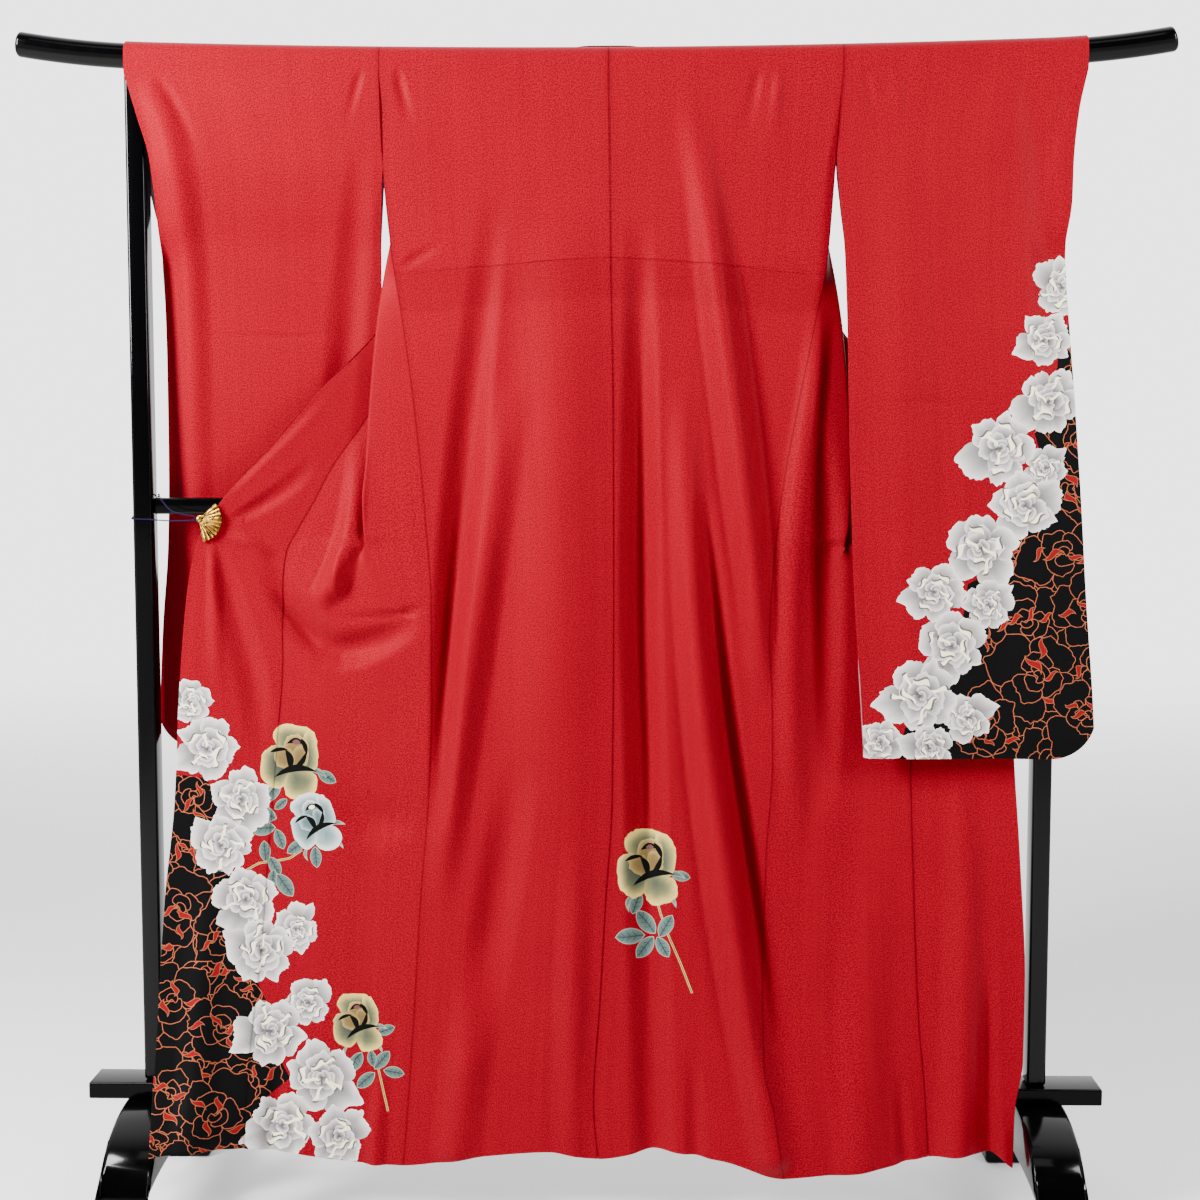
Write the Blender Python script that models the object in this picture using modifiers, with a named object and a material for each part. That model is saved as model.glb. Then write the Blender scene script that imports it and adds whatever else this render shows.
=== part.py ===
"""A long-sleeved formal robe (furisode) hung over a black lacquered stand, seen from its back.

The robe's back faces -Y, +X is to the viewer's right and +Z is up. The stand's feet rest on Z = 0.
Every length is in metres. Places across the robe (the x columns) are measured from its centre back
line at the rod, and depths (the y columns) from the middle plane of the stand, with -Y towards the
viewer. Each table has a row for each height, seam or fold, and smooth curves join the rows.
"""

import math
from collections import namedtuple

import bmesh
import bpy
import numpy as np
from mathutils import Matrix, Vector

# Cloth
CLOTH = 0.0016          # wall: silk with its lining
SEAM_GAP = 0.0004       # between two sewn pieces
SIDE_GAP = 0.0009       # the same where they meet at an angle
ROBE_X = 0.020          # the robe hangs a little to the right of the stand's middle
COLLAR_WIDTH = 0.055
COLLAR_BEHIND = 0.0040  # the collar is folded back behind the front's free edge
COLLAR_LEAN = 0.20      # how fast its loose edge draws away from the front
COLLAR_FOOT_Z = 1.060   # its lower ends, above the clips
COLLAR_BLEND = 0.020    # height under the rod over which it takes up the front's slope
COLLAR_ON_ROD = 0.0012  # clear of the body's cloth over the rod
COLLAR_NECK_ROWS = 0.35 # spacing of the collar's rows at the neck, against an even one
POINT_WIDTH = 0.004     # of the overlap's upper point
WRIST_END_Z = 1.410     # the wrist opening ends here, and the sleeve's outer edge is sewn below it
WRIST_CLOSES = 0.060    # height over which it closes
SEWN_EDGE = 0.18        # share of the sleeve's width over which its two layers close up
SEWN_FOOT = 0.035       # height over which they close up at the bottom
CORNER = 0.060          # radius of the sleeve's outer bottom corner

# Stand
ROD_RADIUS = 0.0175
ROD_AXIS_Z = 1.6345     # at the middle
ROD_HALF = 0.799
ROD_BOW = 0.0252        # rise per metre squared
ROD_TIP_FROM = 0.620
ROD_TIP_BOW = 0.367     # further rise per metre squared beyond ROD_TIP_FROM
POST_X = 0.635
POST_WIDE = 0.027
POST_DEEP = 0.035
POST_ROUND = 0.005
SADDLE_DROP = 0.008     # the posts' tops lie this far under the rod's axis
BAR_Z = 1.021
BAR_TALL = 0.023
BAR_DEEP = 0.018
PLANK_HALF = 0.726
PLANK_DEEP = 0.060
PLANK_TALL = 0.024
FOOT_X = 0.638
FOOT_WIDE = 0.070
FOOT_HALF = 0.245
FOOT_TALL = 0.168
ARCH_HALF = 0.175
ARCH_TALL = 0.0935
REST_GAP = 0.0003       # between pieces of wood that stand on each other

# The clips, each a small fan of brass on the robe's free edge
CLIP_Z = 1.004
FAN_RADIUS = 0.031
FAN_ROOT = 0.006
FAN_RIBS = 10
FAN_RIB_LIFT = 0.0006
FAN_WALL = 0.0012
FAN_UP = 43.0           # degrees above level
FAN_DOWN = -82.0
JAW_LONG = 0.020
JAW_TALL = 0.010
JAW_WALL = 0.0015
JAW_HINGE = 0.003       # how far the spring runs out beyond the fan's pivot
JAW_BEND = 0.004        # thickness of the bend there
JAW_SHORT = 0.004       # its near leaf ends this far before the cloth's edge
CLIP_OUTSIDE = 0.014    # from the cloth's edge out to the hinge
CLIP_CLEAR = 0.0012     # between the clip's metal and the cloth
THREAD = 0.0022
THREAD_OUTSIDE = 0.0055 # from the clip's hinge out to the thread's knot

# Mesh steps
BACK_COLUMNS = 11
OKUMI_COLUMNS = 4
COLLAR_COLUMNS = 6
COLLAR_ROWS = 48
CREST_ROWS = 4
BODY_HEIGHTS = (
    1.6345, 1.565, 1.500, 1.445, 1.392, 1.335, 1.270, 1.205, 1.140, 1.088, 1.052, 1.022,
    0.992, 0.962, 0.920, 0.850, 0.760, 0.660, 0.550, 0.430, 0.310, 0.200, 0.100,
)
POINT_ROW = 4           # the body's row at which the overlap begins
SLEEVE_HEIGHTS = (
    1.6345, 1.580, 1.520, 1.450, 1.380, 1.300, 1.220, 1.130, 1.030, 0.930, 0.830, 0.750, 0.700, 0.670,
)
ROD_STEPS = 22
ARCH_STEPS = 14
FRONT_LINES = (0.0, 0.26, 0.28, 0.30, 0.32, 0.34, 0.58, 0.60, 0.62, 0.64, 0.66, 1.0)
FRONT_ACROSS = (
    0.0, 0.10, 0.19, 0.26, 0.28, 0.30, 0.32, 0.34, 0.42,
    0.50, 0.58, 0.60, 0.62, 0.64, 0.66, 0.76, 0.88, 1.0,
)
TURN_ANGLES = (-90.0, -45.0, 0.0, 45.0, 90.0)
TURN = 0.0032           # radius of the bends at the front's fold and tuck
TURN_FADE = 0.008       # a fold that laps less than this bends less
SLEEVE_ACROSS = (0.0, 0.17, 0.34, 0.51, 0.67, 0.82, 0.88, 0.93, 0.97, 1.0)

CLOTH_RADIUS = ROD_RADIUS + 0.0009 + CLOTH / 2

Seam = namedtuple("Seam", "z x y")
Front = namedtuple("Front", "z out tuck okumi y_out y_tuck y_okumi")
Sleeve = namedtuple("Sleeve", "z inner outer back front front_outer")
Hem = namedtuple("Hem", "x z")
Fold = namedtuple("Fold", "x z lift reach")
Step = namedtuple("Step", "x y z")

# Seams of the back: place and depth at each height
CENTRE_SEAM = [
    Seam(1.620, 0.002, -0.0193),
    Seam(1.500, 0.004, -0.024),
    Seam(1.330, 0.006, -0.034),
    Seam(1.170, 0.009, -0.040),
    Seam(0.890, 0.010, -0.045),
    Seam(0.610, 0.008, -0.048),
    Seam(0.465, -0.001, -0.050),
    Seam(0.320, -0.009, -0.052),
    Seam(0.175, -0.018, -0.055),
    Seam(0.090, -0.011, -0.058),
]
SIDE_SEAM = {
    "left": [
        Seam(1.620, -0.314, -0.0193),
        Seam(1.485, -0.309, -0.021),
        Seam(1.380, -0.299, -0.024),
        Seam(1.263, -0.281, -0.030),
        Seam(1.168, -0.268, -0.034),
        Seam(1.003, -0.252, -0.039),
        Seam(0.892, -0.245, -0.042),
        Seam(0.750, -0.245, -0.045),
        Seam(0.610, -0.250, -0.046),
        Seam(0.465, -0.262, -0.048),
        Seam(0.323, -0.271, -0.051),
        Seam(0.177, -0.281, -0.056),
        Seam(0.080, -0.289, -0.060),
    ],
    "right": [
        Seam(1.620, 0.324, -0.0193),
        Seam(1.497, 0.3145, -0.021),
        Seam(1.355, 0.303, -0.026),
        Seam(1.262, 0.285, -0.031),
        Seam(1.168, 0.266, -0.035),
        Seam(1.031, 0.242, -0.040),
        Seam(0.940, 0.232, -0.042),
        Seam(0.837, 0.226, -0.044),
        Seam(0.750, 0.231, -0.045),
        Seam(0.660, 0.232, -0.046),
        Seam(0.530, 0.224, -0.048),
        Seam(0.310, 0.220, -0.052),
        Seam(0.240, 0.221, -0.056),
        Seam(0.173, 0.235, -0.064),
        Seam(0.063, 0.252, -0.080),
    ],
}
SLEEVE_SEWN_TO = {"left": 1.485, "right": 1.497}
ARMHOLE_FOOT = {"left": 1.385, "right": 1.357}

# Above the armhole's foot by this much, the front's edge is on the body's side of the seam's line
ARMHOLE_TURN = 0.040

# The front's edge at the armhole, from the far side of the rod round to the top of the side seam
FRONT_ARMHOLE_Y = [(1.620, 0.0193), (1.500, 0.017), (1.430, 0.000)]

# The front body's section: an outer fold, the tuck under it and the overlap's seam
FRONT = {
    "left": [
        Front(1.654, -0.275, -0.190, -0.040, 0.0193, 0.0193, 0.0193),
        Front(1.646, -0.275, -0.190, -0.064, 0.0193, 0.0193, 0.0193),
        Front(1.6345, -0.275, -0.190, -0.090, 0.0193, 0.0193, 0.0193),
        Front(1.500, -0.270, -0.205, -0.172, 0.022, 0.028, 0.034),
        Front(1.390, -0.301, -0.200, -0.240, -0.006, 0.004, 0.015),
        Front(1.260, -0.321, -0.213, -0.285, -0.0235, -0.012, 0.000),
        Front(1.150, -0.331, -0.262, -0.333, -0.0290, -0.020, -0.011),
        Front(1.075, -0.336, -0.292, -0.385, -0.0320, -0.0245, -0.017),
        Front(1.030, -0.340, -0.310, -0.409, -0.0345, -0.0275, -0.021),
        Front(0.990, -0.339, -0.324, -0.432, -0.0360, -0.0295, -0.0235),
        Front(0.955, -0.335, -0.349, -0.449, -0.0375, -0.0330, -0.027),
        Front(0.900, -0.316, -0.388, -0.455, -0.040, -0.038, -0.032),
        Front(0.810, -0.316, -0.386, -0.454, -0.042, -0.040, -0.036),
        Front(0.690, -0.318, -0.392, -0.463, -0.042, -0.041, -0.040),
        Front(0.536, -0.330, -0.404, -0.476, -0.044, -0.045, -0.046),
        Front(0.377, -0.343, -0.418, -0.489, -0.048, -0.051, -0.056),
        Front(0.245, -0.352, -0.430, -0.503, -0.052, -0.058, -0.070),
        Front(0.100, -0.362, -0.438, -0.511, -0.057, -0.068, -0.090),
    ],
    "right": [
        Front(1.654, 0.280, 0.190, 0.044, 0.0193, 0.0193, 0.0193),
        Front(1.646, 0.280, 0.190, 0.066, 0.0193, 0.0193, 0.0193),
        Front(1.6345, 0.280, 0.190, 0.092, 0.0193, 0.0193, 0.0193),
        Front(1.500, 0.272, 0.205, 0.172, 0.022, 0.028, 0.034),
        Front(1.390, 0.3045, 0.200, 0.240, -0.006, 0.004, 0.015),
        Front(1.260, 0.326, 0.220, 0.290, -0.0245, -0.013, -0.001),
        Front(1.150, 0.335, 0.262, 0.335, -0.0300, -0.021, -0.012),
        Front(1.060, 0.338, 0.290, 0.385, -0.0325, -0.025, -0.017),
        Front(1.000, 0.337, 0.312, 0.415, -0.0345, -0.028, -0.021),
        Front(0.965, 0.329, 0.335, 0.424, -0.0358, -0.0305, -0.025),
        Front(0.930, 0.306, 0.370, 0.428, -0.0370, -0.033, -0.028),
        Front(0.837, 0.296, 0.365, 0.430, -0.0385, -0.036, -0.033),
        Front(0.669, 0.298, 0.363, 0.426, -0.040, -0.036, -0.034),
        Front(0.530, 0.295, 0.364, 0.430, -0.042, -0.038, -0.038),
        Front(0.310, 0.296, 0.369, 0.440, -0.050, -0.044, -0.042),
        Front(0.173, 0.308, 0.380, 0.452, -0.062, -0.054, -0.046),
        Front(0.085, 0.320, 0.388, 0.457, -0.070, -0.061, -0.050),
    ],
}

# The overlap's free edge, drawn out to each side by its clip
FREE_EDGE = {
    "left": [
        Seam(1.400, -0.2400, 0.0150),
        Seam(1.260, -0.323, -0.004),
        Seam(1.177, -0.404, -0.024),
        Seam(1.116, -0.455, -0.030),
        Seam(1.022, -0.542, -0.0385),
        Seam(0.968, -0.572, -0.040),
        Seam(0.890, -0.588, -0.042),
        Seam(0.750, -0.599, -0.050),
        Seam(0.607, -0.606, -0.056),
        Seam(0.463, -0.621, -0.064),
        Seam(0.317, -0.628, -0.082),
        Seam(0.230, -0.629, -0.108),
        Seam(0.142, -0.618, -0.182),
    ],
    "right": [
        Seam(1.400, 0.2400, 0.0150),
        Seam(1.260, 0.328, -0.005),
        Seam(1.150, 0.420, -0.022),
        Seam(1.060, 0.500, -0.030),
        Seam(1.000, 0.543, -0.034),
        Seam(0.900, 0.553, -0.036),
        Seam(0.750, 0.565, -0.037),
        Seam(0.669, 0.569, -0.040),
        Seam(0.530, 0.579, -0.044),
        Seam(0.350, 0.588, -0.050),
        Seam(0.240, 0.587, -0.052),
        Seam(0.170, 0.576, -0.056),
        Seam(0.091, 0.573, -0.064),
    ],
}

# The sleeves: edges across, the depth of the back and front layers, and the front layer's own edge
SLEEVE = {
    "left": [
        Sleeve(1.620, -0.3140, -0.667, -0.0193, 0.0195, -0.667),
        Sleeve(1.563, -0.3120, -0.650, -0.0225, 0.0215, -0.660),
        Sleeve(1.500, -0.3095, -0.633, -0.0215, 0.0225, -0.652),
        Sleeve(1.440, -0.3125, -0.628, -0.0130, 0.0245, -0.640),
        Sleeve(1.380, -0.3160, -0.626, 0.0000, 0.0280, -0.628),
        Sleeve(1.260, -0.3170, -0.625, 0.0110, 0.0350, -0.625),
        Sleeve(1.150, -0.3160, -0.626, 0.0160, 0.0390, -0.626),
        Sleeve(1.050, -0.3150, -0.628, 0.0210, 0.0430, -0.628),
        Sleeve(0.950, -0.3130, -0.633, 0.0270, 0.0470, -0.633),
        Sleeve(0.850, -0.3120, -0.642, 0.0290, 0.0480, -0.642),
        Sleeve(0.668, -0.3100, -0.652, 0.0300, 0.0460, -0.652),
    ],
    "right": [
        Sleeve(1.620, 0.3240, 0.657, -0.0193, 0.0195, 0.655),
        Sleeve(1.565, 0.3200, 0.645, -0.0230, 0.0225, 0.628),
        Sleeve(1.500, 0.3147, 0.637, -0.0310, 0.0140, 0.585),
        Sleeve(1.436, 0.3190, 0.633, -0.0420, -0.0030, 0.580),
        Sleeve(1.380, 0.3240, 0.625, -0.0510, -0.0200, 0.590),
        Sleeve(1.320, 0.3260, 0.626, -0.0610, -0.0360, 0.608),
        Sleeve(1.260, 0.3275, 0.629, -0.0690, -0.0490, 0.626),
        Sleeve(1.168, 0.3290, 0.636, -0.0760, -0.0570, 0.636),
        Sleeve(1.020, 0.3340, 0.648, -0.0780, -0.0590, 0.648),
        Sleeve(0.894, 0.3400, 0.657, -0.0780, -0.0600, 0.657),
        Sleeve(0.756, 0.3510, 0.669, -0.0770, -0.0610, 0.669),
        Sleeve(0.675, 0.3560, 0.674, -0.0760, -0.0620, 0.674),
    ],
}

# Height of the hem along the whole lower edge
HEM = [
    Hem(-0.618, 0.142),
    Hem(-0.585, 0.139),
    Hem(-0.511, 0.120),
    Hem(-0.420, 0.101),
    Hem(-0.360, 0.090),
    Hem(-0.289, 0.086),
    Hem(-0.189, 0.098),
    Hem(-0.078, 0.106),
    Hem(-0.011, 0.097),
    Hem(0.071, 0.110),
    Hem(0.161, 0.100),
    Hem(0.252, 0.078),
    Hem(0.391, 0.089),
    Hem(0.457, 0.101),
    Hem(0.541, 0.110),
    Hem(0.573, 0.091),
]

# Folds of the body: lift is towards the viewer, reach is to each side of the fold's line
BODY_FOLDS = {
    "back_plateau": [
        Fold(-0.070, 1.450, 0.000, 0.070),
        Fold(-0.060, 1.200, 0.010, 0.080),
        Fold(-0.065, 0.900, 0.013, 0.090),
        Fold(-0.075, 0.600, 0.010, 0.095),
        Fold(-0.065, 0.200, 0.000, 0.080),
    ],
    "left_hollow": [
        Fold(-0.150, 1.460, 0.000, 0.025),
        Fold(-0.174, 1.280, -0.007, 0.030),
        Fold(-0.196, 1.100, -0.014, 0.034),
        Fold(-0.213, 0.920, -0.017, 0.032),
        Fold(-0.226, 0.720, -0.012, 0.026),
        Fold(-0.236, 0.550, 0.000, 0.020),
    ],
    "left_ridge": [
        Fold(-0.130, 1.200, 0.000, 0.035),
        Fold(-0.155, 1.040, 0.009, 0.036),
        Fold(-0.183, 0.860, 0.014, 0.038),
        Fold(-0.212, 0.660, 0.013, 0.036),
        Fold(-0.238, 0.450, 0.000, 0.030),
    ],
    "left_low_hollow": [
        Fold(-0.118, 0.680, 0.000, 0.035),
        Fold(-0.148, 0.500, -0.011, 0.040),
        Fold(-0.172, 0.360, -0.010, 0.038),
        Fold(-0.190, 0.240, 0.000, 0.030),
    ],
    "left_low_ridge": [
        Fold(-0.165, 0.420, 0.000, 0.035),
        Fold(-0.190, 0.280, 0.010, 0.040),
        Fold(-0.214, 0.110, 0.009, 0.042),
    ],
    "centre_low_ridge": [
        Fold(-0.042, 0.560, 0.000, 0.025),
        Fold(-0.048, 0.320, 0.007, 0.032),
        Fold(-0.050, 0.100, 0.004, 0.032),
    ],
    "centre_hollow": [
        Fold(0.046, 1.420, 0.000, 0.024),
        Fold(0.046, 1.200, -0.015, 0.030),
        Fold(0.047, 0.900, -0.023, 0.034),
        Fold(0.054, 0.670, -0.022, 0.035),
        Fold(0.060, 0.400, -0.016, 0.036),
        Fold(0.068, 0.100, -0.013, 0.036),
    ],
    "right_ridge": [
        Fold(0.112, 1.590, 0.000, 0.028),
        Fold(0.140, 1.420, 0.011, 0.034),
        Fold(0.160, 1.270, 0.018, 0.037),
        Fold(0.185, 1.080, 0.021, 0.036),
        Fold(0.206, 0.900, 0.015, 0.030),
        Fold(0.220, 0.750, 0.000, 0.022),
    ],
    "right_low_ridge": [
        Fold(0.104, 1.200, 0.000, 0.028),
        Fold(0.112, 1.020, 0.010, 0.030),
        Fold(0.122, 0.850, 0.016, 0.032),
        Fold(0.140, 0.680, 0.021, 0.035),
        Fold(0.170, 0.480, 0.024, 0.039),
        Fold(0.203, 0.280, 0.020, 0.040),
        Fold(0.234, 0.110, 0.012, 0.040),
    ],
    "right_low_hollow": [
        Fold(0.132, 1.040, 0.000, 0.020),
        Fold(0.148, 0.880, -0.010, 0.023),
        Fold(0.166, 0.720, -0.014, 0.024),
        Fold(0.192, 0.540, -0.014, 0.025),
        Fold(0.216, 0.340, -0.007, 0.022),
        Fold(0.226, 0.230, 0.000, 0.020),
    ],
    "left_flap_roll": [
        Fold(-0.344, 1.120, 0.000, 0.022),
        Fold(-0.357, 1.000, 0.008, 0.025),
        Fold(-0.380, 0.920, 0.012, 0.027),
        Fold(-0.408, 0.880, 0.000, 0.022),
    ],
    "left_flap_pocket": [
        Fold(-0.478, 0.960, 0.000, 0.026),
        Fold(-0.436, 0.870, -0.010, 0.032),
        Fold(-0.373, 0.820, -0.014, 0.034),
        Fold(-0.305, 0.840, -0.008, 0.030),
        Fold(-0.262, 0.875, 0.000, 0.022),
    ],
    "left_flap_sag": [
        Fold(-0.420, 0.660, 0.000, 0.040),
        Fold(-0.335, 0.580, -0.010, 0.048),
        Fold(-0.272, 0.565, 0.000, 0.030),
    ],
    "left_clip_crease": [
        Fold(-0.546, 0.965, 0.000, 0.016),
        Fold(-0.524, 0.880, -0.008, 0.024),
        Fold(-0.496, 0.770, -0.006, 0.028),
        Fold(-0.482, 0.660, 0.000, 0.026),
    ],
    "left_hem_wave": [
        Fold(-0.555, 0.520, 0.000, 0.030),
        Fold(-0.570, 0.320, 0.010, 0.036),
        Fold(-0.572, 0.130, 0.012, 0.036),
    ],
    "right_flap_ridge": [
        Fold(0.296, 1.300, 0.000, 0.020),
        Fold(0.284, 1.190, 0.008, 0.026),
        Fold(0.266, 1.050, 0.010, 0.028),
        Fold(0.256, 0.880, 0.008, 0.028),
        Fold(0.258, 0.700, 0.006, 0.026),
        Fold(0.270, 0.540, 0.000, 0.022),
    ],
    "right_flap_hollow": [
        Fold(0.298, 1.140, 0.000, 0.020),
        Fold(0.307, 0.950, -0.009, 0.030),
        Fold(0.305, 0.700, -0.007, 0.030),
        Fold(0.300, 0.580, 0.000, 0.024),
    ],
    "right_hem_wave": [
        Fold(0.375, 0.560, 0.000, 0.040),
        Fold(0.365, 0.330, 0.007, 0.050),
        Fold(0.360, 0.090, 0.009, 0.050),
    ],
    "right_overlap_ridge": [
        Fold(0.492, 0.700, 0.000, 0.028),
        Fold(0.503, 0.460, 0.008, 0.034),
        Fold(0.496, 0.100, 0.012, 0.036),
    ],
    "right_overlap_hollow": [
        Fold(0.540, 0.400, 0.000, 0.018),
        Fold(0.537, 0.240, -0.008, 0.020),
        Fold(0.545, 0.100, -0.009, 0.022),
    ],
}
SLEEVE_FOLDS = {
    "left": {
        "roll": [
            Fold(-0.640, 1.610, 0.000, 0.022),
            Fold(-0.606, 1.530, 0.006, 0.030),
            Fold(-0.592, 1.420, 0.008, 0.034),
            Fold(-0.590, 1.200, 0.007, 0.034),
            Fold(-0.592, 0.900, 0.000, 0.030),
        ],
        "hollow": [
            Fold(-0.340, 1.520, 0.000, 0.020),
            Fold(-0.354, 1.380, -0.005, 0.030),
            Fold(-0.370, 1.240, -0.006, 0.034),
            Fold(-0.390, 1.050, 0.000, 0.030),
        ],
        "low_ridge": [
            Fold(-0.470, 1.100, 0.000, 0.040),
            Fold(-0.480, 0.880, 0.004, 0.050),
            Fold(-0.490, 0.680, 0.003, 0.050),
        ],
    },
    "right": {
        "edge_hollow": [
            Fold(0.570, 1.620, 0.000, 0.025),
            Fold(0.592, 1.500, -0.005, 0.034),
            Fold(0.596, 1.360, -0.004, 0.036),
            Fold(0.600, 1.200, 0.000, 0.030),
        ],
        "long_ridge": [
            Fold(0.400, 1.560, 0.000, 0.040),
            Fold(0.405, 1.300, 0.004, 0.050),
            Fold(0.415, 0.980, 0.004, 0.055),
            Fold(0.430, 0.680, 0.002, 0.055),
        ],
        "low_hollow": [
            Fold(0.520, 1.150, 0.000, 0.040),
            Fold(0.535, 0.900, -0.004, 0.050),
            Fold(0.540, 0.680, -0.003, 0.050),
        ],
    },
}

# The thread's way from the clip's ring round the post and back, for the left; the right is mirrored
THREAD_ROUTE = [
    Step(-0.566, -0.0390, 1.0020),
    Step(-0.590, -0.0320, 1.0010),
    Step(-0.617, -0.0220, 1.0020),
    Step(-0.625, -0.0195, 1.0025),
    Step(-0.644, -0.0195, 1.0030),
    Step(-0.6495, -0.0170, 1.0035),
    Step(-0.6504, -0.0100, 1.0050),
    Step(-0.6504, 0.0100, 1.0120),
    Step(-0.6490, 0.0175, 1.0160),
    Step(-0.6430, 0.0195, 1.0190),
    Step(-0.6270, 0.0195, 1.0280),
    Step(-0.6205, 0.0180, 1.0340),
    Step(-0.6175, 0.0110, 1.0370),
    Step(-0.6130, -0.0100, 1.0370),
    Step(-0.6030, -0.0240, 1.0270),
    Step(-0.5860, -0.0340, 1.0130),
    Step(-0.5660, -0.0400, 1.0070),
]
THREAD_POINTS = 44


def monotone(knots, values, at):
    """Values at the places asked for, on a smooth curve that never swings past its knots.

    The last axis of values runs along the knots, which rise, and the curve is held level past both ends.
    """
    knots = np.asarray(knots, float)
    values = np.asarray(values, float)
    at = np.clip(np.asarray(at, float), knots[0], knots[-1])
    gap = np.diff(knots)
    slope = np.diff(values, axis=-1) / gap
    before, after = slope[..., :-1], slope[..., 1:]
    same_way = before * after > 0
    total = np.where(same_way, before + after, 1.0)
    inner = np.where(same_way, 2 * before * after / total, 0.0)
    tangent = np.concatenate([slope[..., :1], inner, slope[..., -1:]], axis=-1)
    cell = np.clip(np.searchsorted(knots, at, side="right") - 1, 0, len(gap) - 1)
    t = (at - knots[cell]) / gap[cell]
    lower, upper = values[..., cell], values[..., cell + 1]
    rise, fall = tangent[..., cell] * gap[cell], tangent[..., cell + 1] * gap[cell]
    return (
        lower * (2 * t**3 - 3 * t**2 + 1)
        + rise * (t**3 - 2 * t**2 + t)
        + upper * (3 * t**2 - 2 * t**3)
        + fall * (t**3 - t**2)
    )


def column(rows, name, z):
    """One named column of a table with a row for each height, at the heights z."""
    ordered = sorted(rows, key=lambda row: row.z)
    return monotone([row.z for row in ordered], [getattr(row, name) for row in ordered], z)


def ease(share):
    """0 to 1 with a soft start and end."""
    share = np.clip(share, 0.0, 1.0)
    return share * share * (3 - 2 * share)


def fold_line(rows, pieces=4):
    """The fold's rows with smooth ones between them."""
    steps = np.linspace(0, len(rows) - 1, pieces * (len(rows) - 1) + 1)
    columns = [monotone(range(len(rows)), values, steps) for values in zip(*rows)]
    return [Fold(*values) for values in zip(*columns)]


def lift(folds, x, z):
    """How far the folds carry the cloth towards the viewer at each place (x, z)."""
    total = np.zeros(np.broadcast(x, z).shape)
    for rows in folds.values():
        nearest = np.full(total.shape, 1.0)
        height = np.zeros(total.shape)
        line = fold_line(rows)
        for a, b in zip(line, line[1:]):
            run, drop = b.x - a.x, b.z - a.z
            share = np.clip(((x - a.x) * run + (z - a.z) * drop) / (run**2 + drop**2), 0, 1)
            reach = a.reach + share * (b.reach - a.reach)
            away = np.hypot(x - a.x - share * run, z - a.z - share * drop) / reach
            closer = away < nearest
            nearest = np.where(closer, away, nearest)
            height = np.where(closer, a.lift + share * (b.lift - a.lift), height)
        total += height * np.cos(math.pi / 2 * nearest) ** 2
    return total


def rod_axis(x):
    """Height of the rod's axis at a place x of the stand."""
    beyond = np.maximum(np.abs(x) - ROD_TIP_FROM, 0.0)
    return ROD_AXIS_Z + ROD_BOW * np.square(x) + ROD_TIP_BOW * np.square(beyond)


def hem_height(x):
    return monotone([row.x for row in HEM], [row.z for row in HEM], x)


def hang(across, x_at, foot_at, heights, side):
    """Points of a cloth that goes over the rod and hangs, as arrays of x, y, z by row and column.

    x_at(across, z) gives the place, foot_at(x) the lower edge's height, heights the rows' own before
    they are fitted between the rod and the lower edge, and side is -1 towards the viewer and 1 beyond
    the rod. Depths are left on the rod's tangent, for the caller to change below the rod's axis. Also
    returned is which rows those are.
    """
    heights = np.array(heights)[:, None]
    down = (heights[0] - heights) / (heights[0] - heights[-1])
    z = ROD_AXIS_Z + (0.1 - ROD_AXIS_Z) * down + 0 * across[None, :]
    for _ in range(4):
        x = x_at(across[None, :], z)
        top = rod_axis(x + ROBE_X)
        z = top + (foot_at(x) - top) * down
    crest_gap = SEAM_GAP / 2 / CLOTH_RADIUS
    turn = np.linspace(crest_gap, math.pi / 2, CREST_ROWS + 1)[:-1, None]
    over_z = z[:1] + CLOTH_RADIUS * np.cos(turn)
    over_x = x_at(across[None, :], over_z)
    over_y = side * CLOTH_RADIUS * np.sin(turn) + 0 * over_x
    x = np.concatenate([over_x, x])
    y = np.concatenate([over_y, np.full(z.shape, side * CLOTH_RADIUS)])
    z = np.concatenate([over_z, z])
    down = np.concatenate([np.zeros((CREST_ROWS, 1)), down])
    return x, y, z, down > 0


def back_points(side):
    """A back panel, from the centre seam across to the side seam."""
    sign = -1 if side == "left" else 1
    across = np.linspace(0, 1, BACK_COLUMNS + 1)

    def x_at(u, z):
        inner = column(CENTRE_SEAM, "x", z) + sign * SEAM_GAP / 2
        gap = np.where(z > ARMHOLE_FOOT[side] + ARMHOLE_TURN, SEAM_GAP, SIDE_GAP)
        outer = column(SIDE_SEAM[side], "x", z) - sign * gap / 2
        return inner + (outer - inner) * u

    x, y, z, below = hang(across, x_at, hem_height, BODY_HEIGHTS, -1)
    inner, outer = column(CENTRE_SEAM, "y", z), column(SIDE_SEAM[side], "y", z)
    depth = inner + (outer - inner) * across[None, :] - lift(BODY_FOLDS, x, z)
    return x, np.where(below, depth, y), z


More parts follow.
